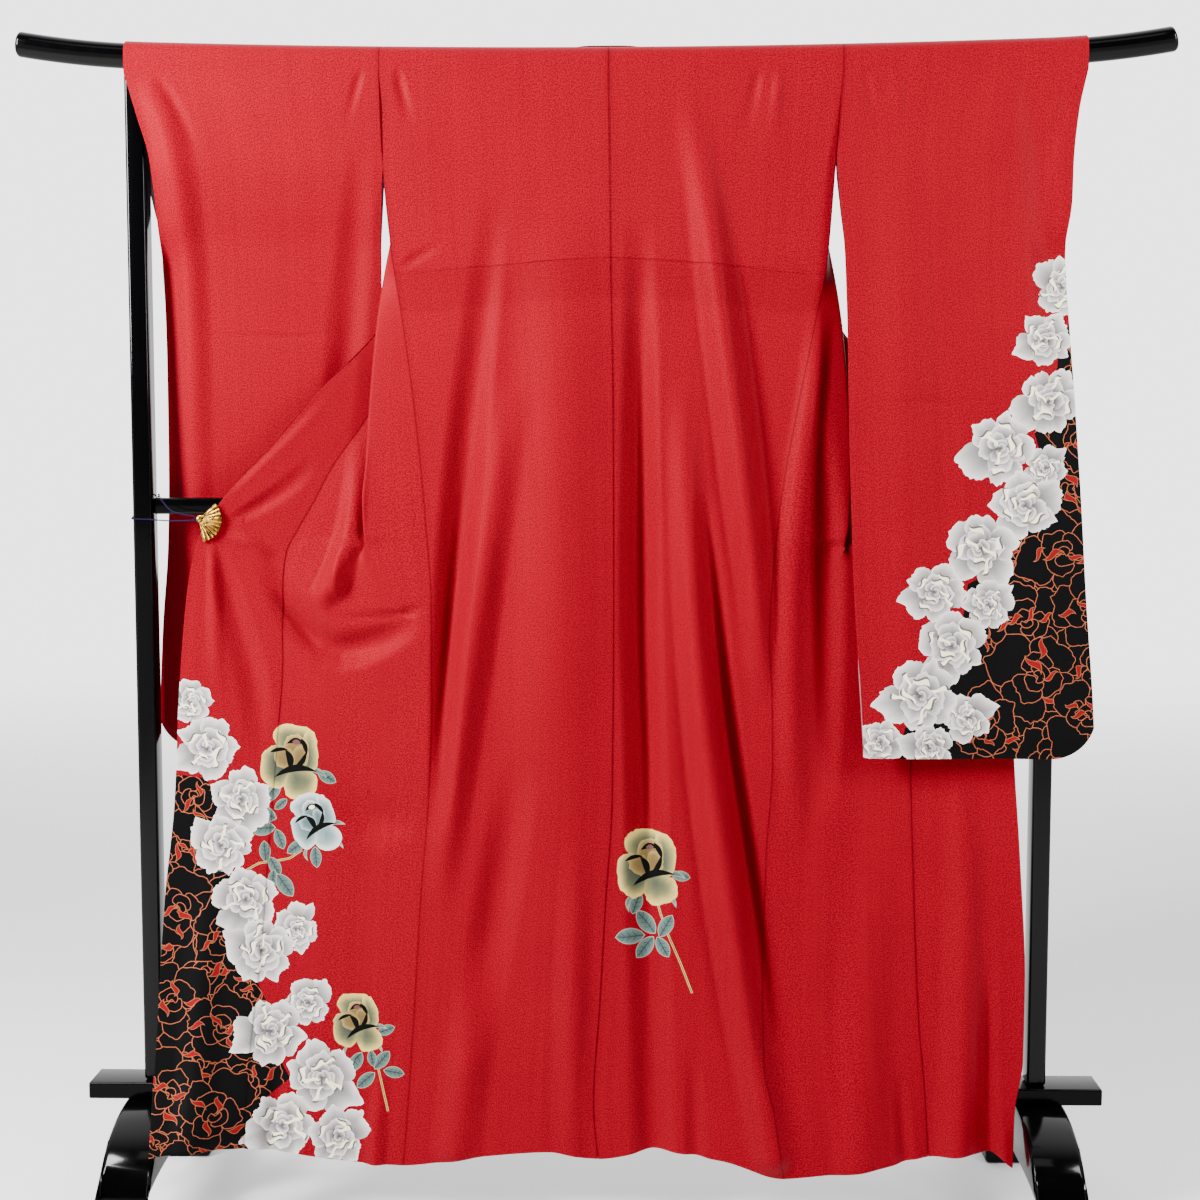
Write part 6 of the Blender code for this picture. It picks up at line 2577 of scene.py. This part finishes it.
@dataclass
class Robe:
    """The robe: its cut pieces hung over the rod.

    Attributes:
        finishes: The materials.
        lens: The camera by whose picture the print is placed.
    """

    finishes: Finishes
    lens: Lens

    def pieces(self) -> list[tuple[Panel, Print | None, str]]:
        """Each piece with its print and what it rests on.

        Returns:
            The pieces.
        """
        flap, sleeve, back = Print.of_flap(), Print.of_sleeve(), Print.of_back()
        return [
            (BackPanel(Side.LEFT), None, "rod"),
            (BackPanel(Side.RIGHT), back, "rod"),
            (FrontPanel(Side.LEFT), flap, "rod"),
            (FrontPanel(Side.RIGHT, columns=60, rows=180), None, "rod"),
            (OverlapPanel(Side.LEFT), flap, "front_left"),
            (OverlapPanel(Side.RIGHT), None, "front_right"),
            (SleeveLayer(Side.LEFT), None, "rod"),
            (SleeveLayer(Side.LEFT, beyond=1, layer=Layer.FRONT, columns=60, rows=130), None, "rod"),
            (SleeveLayer(Side.RIGHT), sleeve, "rod"),
            (SleeveLayer(Side.RIGHT, beyond=1, layer=Layer.FRONT, columns=60, rows=130), None, "rod"),
            (Collar(Side.LEFT), None, "rod"),
        ]

    def build(self) -> None:
        """Makes and dresses every piece."""
        maker = ClothMaker(self.finishes)
        for panel, design, carrier in self.pieces():
            if design is None:
                piece = maker.grid(panel)
            else:
                piece = maker.drawn(panel, Printer(panel, design, self.lens).lay_out())
            settle(piece, "red_satin", panel.name)


def tidy_start() -> None:
    """Leaves edit mode and selects nothing."""
    if bpy.context.object and bpy.context.object.mode != "OBJECT":
        bpy.ops.object.mode_set(mode="OBJECT")
    bpy.ops.object.select_all(action="DESELECT")


class Modelled:
    """A piece shaped by modelling steps from a primitive."""

    def __init__(self, name: str, primitive: Callable, **settings: object) -> None:
        """Adds the primitive and names it.

        Args:
            name: Its name.
            primitive: The operator that adds it.
            **settings: The operator's settings.
        """
        tidy_start()
        primitive(**settings)
        self.piece = bpy.context.object
        self.piece.name = name
        self.piece.data.name = name

    def edit(self) -> "Modelled":
        """Goes into edit mode with everything selected.

        Returns:
            This piece.
        """
        bpy.context.view_layer.objects.active = self.piece
        bpy.ops.object.mode_set(mode="EDIT")
        bpy.ops.mesh.select_mode(type="VERT")
        bpy.ops.mesh.select_all(action="SELECT")
        return self

    def done(self, finish: Material, smooth: float = 40.0) -> bpy.types.Object:
        """Back to object mode, with its place in its mesh, shaded smooth and given its material.

        Args:
            finish: Its material.
            smooth: Degrees up to which its edges look round.

        Returns:
            The finished object.
        """
        bpy.ops.object.mode_set(mode="OBJECT")
        bpy.ops.object.transform_apply(location=True, rotation=True, scale=True)
        bpy.ops.object.shade_smooth_by_angle(angle=math.radians(smooth))
        self.piece.data.materials.clear()
        self.piece.data.materials.append(finish)
        return self.piece

    def pick_edges(self, test: Callable[[Vector], bool]) -> None:
        """Selects the edges whose every point passes the test.

        Args:
            test: The test of a place.
        """
        bpy.ops.mesh.select_mode(type="EDGE")
        bpy.ops.mesh.select_all(action="DESELECT")
        form = bmesh.from_edit_mesh(self.piece.data)
        for edge in form.edges:
            edge.select = all(test(v.co) for v in edge.verts)
        form.select_flush_mode()
        bmesh.update_edit_mesh(self.piece.data)

    def apply(self, kind: str, **settings: object) -> None:
        """Adds a modifier and applies it.

        Args:
            kind: The modifier's type.
            **settings: Its settings.
        """
        bpy.ops.object.mode_set(mode="OBJECT")
        made = self.piece.modifiers.new(kind.lower(), kind)
        for key, value in settings.items():
            setattr(made, key, value)
        bpy.ops.object.modifier_apply(modifier=made.name)

    def sweep(self, stations: Sequence["Station"], axis: str) -> None:
        """Extrudes the selected section through stations, turning it about one axis and scaling it.

        Args:
            stations: Places and turns of the sections, in order.
            axis: The axis that they turn about.
        """
        for a, b in zip(stations, stations[1:]):
            bpy.ops.mesh.extrude_region_move(TRANSFORM_OT_translate={"value": b.place - a.place})
            if abs(b.turn - a.turn) > 1e-6:
                bpy.ops.transform.rotate(value=b.turn - a.turn, orient_axis=axis, center_override=b.place)
            grown = b.scale / a.scale
            if abs(grown - 1) > 1e-6:
                bpy.ops.transform.resize(value=(1.0, grown, grown), center_override=b.place)
        bpy.ops.mesh.select_all(action="SELECT")
        bpy.ops.mesh.normals_make_consistent(inside=False)


class Station(NamedTuple):
    """A section's place, turn in radians and size on a sweep."""

    place: Vector
    turn: float
    scale: float


@dataclass
class Rod:
    """The bowed rod that the robe hangs over, turned up at both ends.

    Attributes:
        finish: Its lacquer.
        sides: Faces round it.
        steps: Steps along each half.
        rounding: Radius of its rounded ends.
    """

    finish: Material
    sides: int = 56
    steps: int = 48
    rounding: float = 0.0050

    def build(self) -> bpy.types.Object:
        """Sweeps a round section along the bow.

        Returns:
            The piece.
        """
        reach = ROD_HALF - self.rounding
        places = np.linspace(-reach, reach, 2 * self.steps + 1)
        left = [(-ROD_HALF + tip, size) for tip, size in self._rings()]
        rings = left + [(x, 1.0) for x in places] + [(-x, size) for x, size in left[::-1]]
        stations = [Station(rod_point(x), rod_slope(x), size) for x, size in rings]
        first = stations[0]
        model = Modelled(
            "rod_lacquered",
            bpy.ops.mesh.primitive_circle_add,
            vertices=self.sides,
            radius=ROD_RADIUS * first.scale,
            fill_type="NGON",
            location=first.place,
            rotation=(0.0, math.pi / 2, 0.0),
        )
        bpy.ops.object.transform_apply(location=True, rotation=True, scale=True)
        model.edit()
        bpy.ops.transform.rotate(value=first.turn, orient_axis="Y", center_override=first.place)
        model.sweep(stations, "Y")
        return settle(model.done(self.finish), "black_lacquer", "rod")

    def _rings(self) -> list[tuple[float, float]]:
        """Distance from the tip and size of each ring of the rounded end.

        Returns:
            Distance and size of each.
        """
        lost = self.rounding / ROD_RADIUS
        turns = np.linspace(0, math.pi / 2, 6)[::-1][:-1]
        return [(self.rounding * (1 - math.sin(t)), 1 - lost * (1 - math.cos(t))) for t in turns]


@dataclass
class Foot:
    """An arched foot, cut from a thick board and rounded on its edges."""

    side: Side
    finish: Material
    place: float = 0.638
    wide: float = 0.070
    outer: tuple[float, float, float] = (0.245, 0.168, 3.0)
    inner: tuple[float, float, float] = (0.175, 0.0935, 2.5)
    steps: int = 72
    round_edge: float = 0.006

    @staticmethod
    def _arch(shape: tuple[float, float, float], angle: float) -> Vector:
        """A point of an arch by its angle.

        Args:
            shape: Half its width, its height and its power.
            angle: Radians from level.

        Returns:
            The point.
        """
        half, tall, power = shape
        turn = math.cos(angle)
        y = half * math.copysign(abs(turn) ** (2 / power), turn)
        return Vector((0.0, y, tall * max(math.sin(angle), 0.0) ** (2 / power)))

    def build(self) -> bpy.types.Object:
        """Sweeps the board's section round the arch.

        Returns:
            The piece.
        """
        sign = self.side.sign
        stations = []
        for angle in self._angles():
            a, b = self._arch(self.inner, angle), self._arch(self.outer, angle)
            way = b - a
            middle = (a + b) / 2 + Vector((sign * self.place, 0.0, 0.0))
            stations.append(Station(middle, math.atan2(way.z, way.y), way.length))
        model = Modelled("foot_%s_lacquered" % self.side.value, bpy.ops.mesh.primitive_plane_add, size=1.0)
        model.edit()
        bpy.ops.transform.resize(value=(self.wide, stations[0].scale, 1.0))
        bpy.ops.transform.translate(value=stations[0].place)
        model.sweep(stations, "X")
        model.pick_edges(lambda co: abs(abs(co.x - sign * self.place) - self.wide / 2) < 1e-4)
        self._drop_rungs(model)
        bpy.ops.mesh.bevel(offset=self.round_edge, offset_type="OFFSET", segments=4, profile=0.5)
        return settle(model.done(self.finish, 50.0), "black_lacquer", "foot_" + self.side.value)

    def _angles(self) -> list[float]:
        """Angles whose points lie at even steps along the outer arch.

        Returns:
            The angles.
        """
        fine = np.linspace(0, math.pi, 2001)
        run = run_along(np.array([self._arch(self.outer, t) for t in fine]))
        return list(np.interp(np.linspace(0, run[-1], self.steps + 1), run, fine))

    @staticmethod
    def _drop_rungs(model: Modelled) -> None:
        """Leaves only the long edges selected, not those across the board's sides.

        Args:
            model: The piece in edit mode.
        """
        form = bmesh.from_edit_mesh(model.piece.data)
        for edge in form.edges:
            if edge.select and edge.calc_face_angle(0.0) < math.radians(60):
                edge.select = False
        bmesh.update_edit_mesh(model.piece.data)


@dataclass
class Board:
    """A straight board or post with round edges.

    Attributes:
        node: The node it stands for.
        finish: Its lacquer.
        round_edge: Radius of its edges.
        saddle: Whether its top is hollowed for the rod.
    """

    node: str
    finish: Material
    round_edge: float
    saddle: bool = False

    def build(self) -> bpy.types.Object:
        """Shapes a cube to the node's box.

        Returns:
            The piece.
        """
        low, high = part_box(self.node)
        middle, size = (low + high) / 2, high - low
        model = Modelled(self.node + "_lacquered", bpy.ops.mesh.primitive_cube_add, size=1.0)
        model.edit()
        bpy.ops.transform.resize(value=size)
        bpy.ops.transform.translate(value=middle)
        bpy.ops.mesh.bevel(offset=self.round_edge, offset_type="OFFSET", segments=5, profile=0.5)
        if self.saddle:
            self._hollow(model, middle)
        return settle(model.done(self.finish, 35.0), "black_lacquer", self.node)

    def _hollow(self, model: Modelled, middle: Vector) -> None:
        """Cuts the rod's bed out of the top.

        Args:
            model: The piece in edit mode.
            middle: Middle of the post.
        """
        bpy.ops.object.mode_set(mode="OBJECT")
        cutter = Modelled(
            self.node + "_bed",
            bpy.ops.mesh.primitive_cylinder_add,
            vertices=64,
            radius=ROD_RADIUS + 0.0004,
            depth=0.12,
            location=rod_point(middle.x),
            rotation=(0.0, math.pi / 2 - rod_slope(middle.x), 0.0),
        )
        tidy_start()
        bpy.context.view_layer.objects.active = model.piece
        model.piece.select_set(True)
        model.apply("BOOLEAN", operation="DIFFERENCE", solver="EXACT", object=cutter.piece)
        bpy.data.objects.remove(cutter.piece)


@dataclass
class Stand:
    """The lacquered stand: rod, posts, crossbar, plank and two arched feet."""

    finishes: Finishes

    def build(self) -> None:
        """Makes each piece."""
        Rod(self.finishes.gloss).build()
        for side in Side:
            Board("post_" + side.value, self.finishes.gloss, 0.0045, saddle=True).build()
            Foot(side, self.finishes.gloss).build()
        Board("crossbar", self.finishes.gloss, 0.0035).build()
        Board("plank", self.finishes.dull, 0.0025).build()


@dataclass
class Clip:
    """A spring clip with a fan-shaped brass face, tied to the post by a purple thread.

    Attributes:
        side: The side it is on.
        finishes: The materials.
        radius: The fan's radius.
        root: Where its ribs begin.
        ribs: How many there are.
        top: Degrees above level of the uppermost rib.
        spread: Degrees that the fan opens.
    """

    side: Side
    finishes: Finishes
    radius: float = 0.031
    root: float = 0.006
    ribs: int = 11
    top: float = 43.0
    spread: float = 125.0
    wall: float = 0.0009
    clip_z: float = CLIP_Z

    def pivot(self) -> Vector:
        """The fan's pivot, from the node's box.

        Returns:
            The point.
        """
        low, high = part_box("clip_%s_spring" % self.side.value)
        outer = low.x if self.side is Side.LEFT else high.x
        fan_low, fan_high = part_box("clip_%s_fan" % self.side.value)
        return Vector((outer - self.side.sign * 0.003, (fan_low.y + fan_high.y) / 2, self.clip_z))

    def build(self) -> None:
        """Makes the fan, its knob, its spring and the thread."""
        self._fan()
        self._knob()
        self._spring()
        self._thread()

    def _fan(self) -> None:
        """One rib shaped from a grid, spun round the pivot into a fan."""
        sign, pivot, half = self.side.sign, self.pivot(), math.radians(self.spread / self.ribs) / 2
        model = Modelled(
            "clip_%s_fan_gilt" % self.side.value,
            bpy.ops.mesh.primitive_grid_add,
            x_subdivisions=6,
            y_subdivisions=4,
            size=1.0,
        )
        model.edit()
        form = bmesh.from_edit_mesh(model.piece.data)
        outs = (self.root, 0.0125, 0.0135, 0.0270, self.radius)
        for vertex in form.verts:
            across = 2 * vertex.co.x
            row = round((vertex.co.y + 0.5) * 4)
            scallop = 0.0011 * math.cos(across * math.pi / 2) if row == 4 else 0.0
            out = outs[row] + scallop
            angle = half * across
            ridge = (0.0029 if row > 1 else 0.0004) * (1 - abs(across)) * out / self.radius
            step = 0.0003 if row > 1 else 0.0
            vertex.co = Vector((-sign * out * math.cos(angle), -ridge - step, out * math.sin(angle)))
        bmesh.update_edit_mesh(model.piece.data)
        way = -sign
        first = math.radians(self.top) - half
        bpy.ops.transform.rotate(value=way * first, orient_axis="Y", center_override=(0.0, 0.0, 0.0))
        bpy.ops.mesh.spin(
            steps=self.ribs - 1,
            dupli=True,
            angle=-way * 2 * half * (self.ribs - 1),
            center=(0.0, 0.0, 0.0),
            axis=(0.0, 1.0, 0.0),
        )
        bpy.ops.mesh.select_all(action="SELECT")
        bpy.ops.mesh.remove_doubles(threshold=0.00002)
        bpy.ops.mesh.normals_make_consistent(inside=False)
        bpy.ops.transform.translate(value=pivot)
        model.apply("SOLIDIFY", thickness=self.wall, offset=0.0)
        model.apply("BEVEL", width=0.0002, segments=2, limit_method="ANGLE", angle_limit=math.radians(50))
        settle(model.done(self.finishes.brass, 30.0), "gilt_brass", "clip_%s_fan" % self.side.value)

    def _knob(self) -> None:
        """The domed pin at the fan's pivot."""
        pivot = self.pivot()
        model = Modelled(
            "clip_%s_pin" % self.side.value,
            bpy.ops.mesh.primitive_uv_sphere_add,
            segments=24,
            ring_count=12,
            radius=0.0042,
            location=pivot + Vector((0.0, -0.0008, 0.0)),
        )
        model.edit()
        bpy.ops.transform.resize(value=(1.0, 0.62, 1.0), center_override=pivot)
        settle(model.done(self.finishes.brass), "gilt_brass")

    def _spring(self) -> None:
        """The bent strip from under the fan round the cloth's edge to its far side."""
        node = "clip_%s_spring" % self.side.value
        low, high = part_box(node)
        sign = self.side.sign
        near, far, wall = low.y, high.y, 0.0014
        outer, inner = (low.x, high.x) if sign < 0 else (high.x, low.x)
        radius = (far - near) / 2 - wall / 2
        turn = [math.pi / 2 - math.pi * k / 8 for k in range(9)]
        middle = (near + far) / 2
        centre = outer - sign * (radius + wall / 2)
        bend = [(centre + sign * radius * math.cos(t), middle - radius * math.sin(t)) for t in turn]
        path = [(outer - sign * 0.012, near + wall / 2)] + bend + [(inner, far - wall / 2)]
        ways = [np.subtract(ahead, behind) for ahead, behind in zip(path[1:] + path[-1:], path[:1] + path)]
        turns = np.unwrap([-math.atan2(way[1], way[0]) for way in ways])
        stations = [Station(Vector((x, y, self.clip_z)), turn, 1.0) for (x, y), turn in zip(path, turns)]
        model = Modelled(node + "_strip", bpy.ops.mesh.primitive_plane_add, size=1.0)
        model.edit()
        bpy.ops.transform.resize(value=(wall, 0.010, 1.0))
        bpy.ops.transform.rotate(value=math.pi / 2, orient_axis="X")
        bpy.ops.transform.rotate(value=stations[0].turn + math.pi / 2, orient_axis="Z")
        bpy.ops.transform.translate(value=stations[0].place)
        model.sweep(stations, "Z")
        model.apply("BEVEL", width=0.0003, segments=2, limit_method="ANGLE", angle_limit=math.radians(50))
        settle(model.done(self.finishes.brass), "gilt_brass", node)

    def _thread(self) -> None:
        """Two plies twisted round each other along the route, with a knot at the clip."""
        sign, node = self.side.sign, "thread_%s" % self.side.value
        low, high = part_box(node)
        run = np.arange(len(THREAD_ROUTE))
        fine = np.linspace(0, len(THREAD_ROUTE) - 1, 420)
        x, y, z = (monotone(run, values, fine) for values in zip(*THREAD_ROUTE))
        start = high.x if sign < 0 else -low.x
        ring, clear = THREAD_ROUTE[0].x, THREAD_ROUTE[1].x
        share = np.clip((x - ring) / (clear - ring), 0.0, 1.0)
        x = np.where(share < 1, start - PLY_GAP + (clear - start) * share, x)
        line = np.stack([-sign * x, y, z], axis=-1)
        curve = bpy.data.curves.new(node + "_ply", "CURVE")
        curve.dimensions = "3D"
        curve.bevel_depth = PLY_RADIUS
        curve.bevel_resolution = 3
        curve.use_fill_caps = True
        for phase in (0.0, math.pi):
            self._ply(curve, line, phase)
        self._knot(curve, line[0] * 0.5 + line[-1] * 0.5)
        curve.materials.append(self.finishes.purple)
        settle(placed(node + "_ply", curve), "purple_thread", node)

    @staticmethod
    def _ply(curve: bpy.types.Curve, line: Array, phase: float) -> None:
        """One ply wound round the line.

        Args:
            curve: The thread's curve.
            line: The thread's middle.
            phase: Where it starts round the line, in radians.
        """
        way = unit(np.gradient(line, axis=0))
        side = unit(np.cross(way, [0.0, 0.0, 1.0]))
        other = np.cross(way, side)
        turn = phase + run_along(line) * 2 * math.pi / PLY_LAY
        points = line + PLY_OFF * (side * np.cos(turn)[:, None] + other * np.sin(turn)[:, None])
        add_spline(curve, points)

    @staticmethod
    def _knot(curve: bpy.types.Curve, middle: Array) -> None:
        """Three tight loops where the thread is tied.

        Args:
            curve: The thread's curve.
            middle: Where it is.
        """
        turn = np.linspace(0, 3 * 2 * math.pi, 60)
        points = middle + np.stack(
            [0.0016 * np.sin(0.5 * turn), 0.0014 * np.cos(turn), 0.0036 * np.sin(turn)], axis=-1
        )
        add_spline(curve, points)


def add_spline(curve: bpy.types.Curve, points: Array) -> None:
    """Adds an open line through the points.

    Args:
        curve: The thread's curve.
        points: Points of the line.
    """
    spline = curve.splines.new("POLY")
    spline.points.add(len(points) - 1)
    for place, point in zip(spline.points, points):
        place.co = (*(float(v) for v in point), 1.0)


@dataclass
class Lamp:
    """A soft light: a bright rectangle."""

    name: str
    place: tuple[float, float, float]
    aim: tuple[float, float, float]
    size: tuple[float, float]
    power: float

    def build(self) -> None:
        """Adds the light."""
        light = bpy.data.lights.new(self.name, "AREA")
        light.shape = "RECTANGLE"
        light.size, light.size_y = self.size
        light.energy = self.power
        made = placed(self.name, light)
        made.location = self.place
        made.rotation_euler = (Vector(self.aim) - Vector(self.place)).to_track_quat("-Z", "Y").to_euler()


@dataclass
class Studio:
    """The floor, the light and the camera.

    Attributes:
        lens: The camera.
        lamps: Soft lights.
        behind: Brightness of the white wall beyond the stand.
        before: Brightness of the room on the viewer's side.
    """

    lens: Lens
    lamps: tuple[Lamp, ...] = (
        Lamp("key", (-2.00, -1.40, 2.20), (-0.2, 0.0, 1.40), (0.5, 1.5), 340.0),
        Lamp("fill", (2.10, -1.55, 2.20), (0.3, 0.0, 1.40), (0.5, 1.5), 122.0),
        Lamp("top", (0.0, -1.4, 3.6), (0.0, 0.0, 1.3), (2.6, 0.7), 12.0),
        Lamp("left_strip", (-2.6, -1.7, 0.70), (0.0, 0.0, 0.90), (0.16, 1.2), 8.0),
        Lamp("right_strip", (2.6, -1.7, 0.70), (0.0, 0.0, 0.90), (0.16, 1.2), 7.0),
    )
    behind: float = 3.1
    before: float = 0.03

    def build(self) -> None:
        """Sets the scene round the piece."""
        tidy_start()
        bpy.ops.mesh.primitive_circle_add(
            vertices=96, radius=40.0, fill_type="NGON", location=(0.0, 0.0, -0.0005)
        )
        floor = bpy.context.object
        floor.name = "floor"
        floor.data.materials.append(Paper().build())
        for lamp in self.lamps:
            lamp.build()
        self._room()
        self._camera()

    def _room(self) -> None:
        """A world that is white beyond the stand and dimmer on the viewer's side."""
        world = bpy.data.worlds.new("studio")
        world.use_nodes = True
        tree = world.node_tree
        where = tree.nodes.new("ShaderNodeTexCoord")
        parts = tree.nodes.new("ShaderNodeSeparateXYZ")
        level = tree.nodes.new("ShaderNodeMapRange")
        level.interpolation_type = "SMOOTHSTEP"
        limits = {"From Min": -0.35, "From Max": 0.35, "To Min": self.before, "To Max": self.behind}
        for name, value in limits.items():
            level.inputs[name].default_value = value
        tree.links.new(where.outputs["Generated"], parts.inputs[0])
        tree.links.new(parts.outputs["Y"], level.inputs["Value"])
        sky = tree.nodes["Background"]
        sky.inputs["Color"].default_value = (1.0, 1.0, 1.0, 1.0)
        tree.links.new(level.outputs["Result"], sky.inputs["Strength"])
        bpy.context.scene.world = world

    def _camera(self) -> None:
        """Puts the camera where the photograph was taken from."""
        data = bpy.data.cameras.new("camera")
        data.lens, data.sensor_width = self.lens.length, self.lens.sensor
        made = placed("camera", data)
        made.location = self.lens.place
        made.rotation_euler = self.lens.turned()
        bpy.context.scene.camera = made


def main() -> None:
    """Builds everything."""
    logging.basicConfig(level=logging.INFO, format="%(name)s: %(message)s")
    lens = Lens()
    finishes = Finishes()
    Stand(finishes).build()
    for side in Side:
        Clip(side, finishes).build()
    Robe(finishes, lens).build()
    Studio(lens).build()


if __name__ == "__main__":
    main()
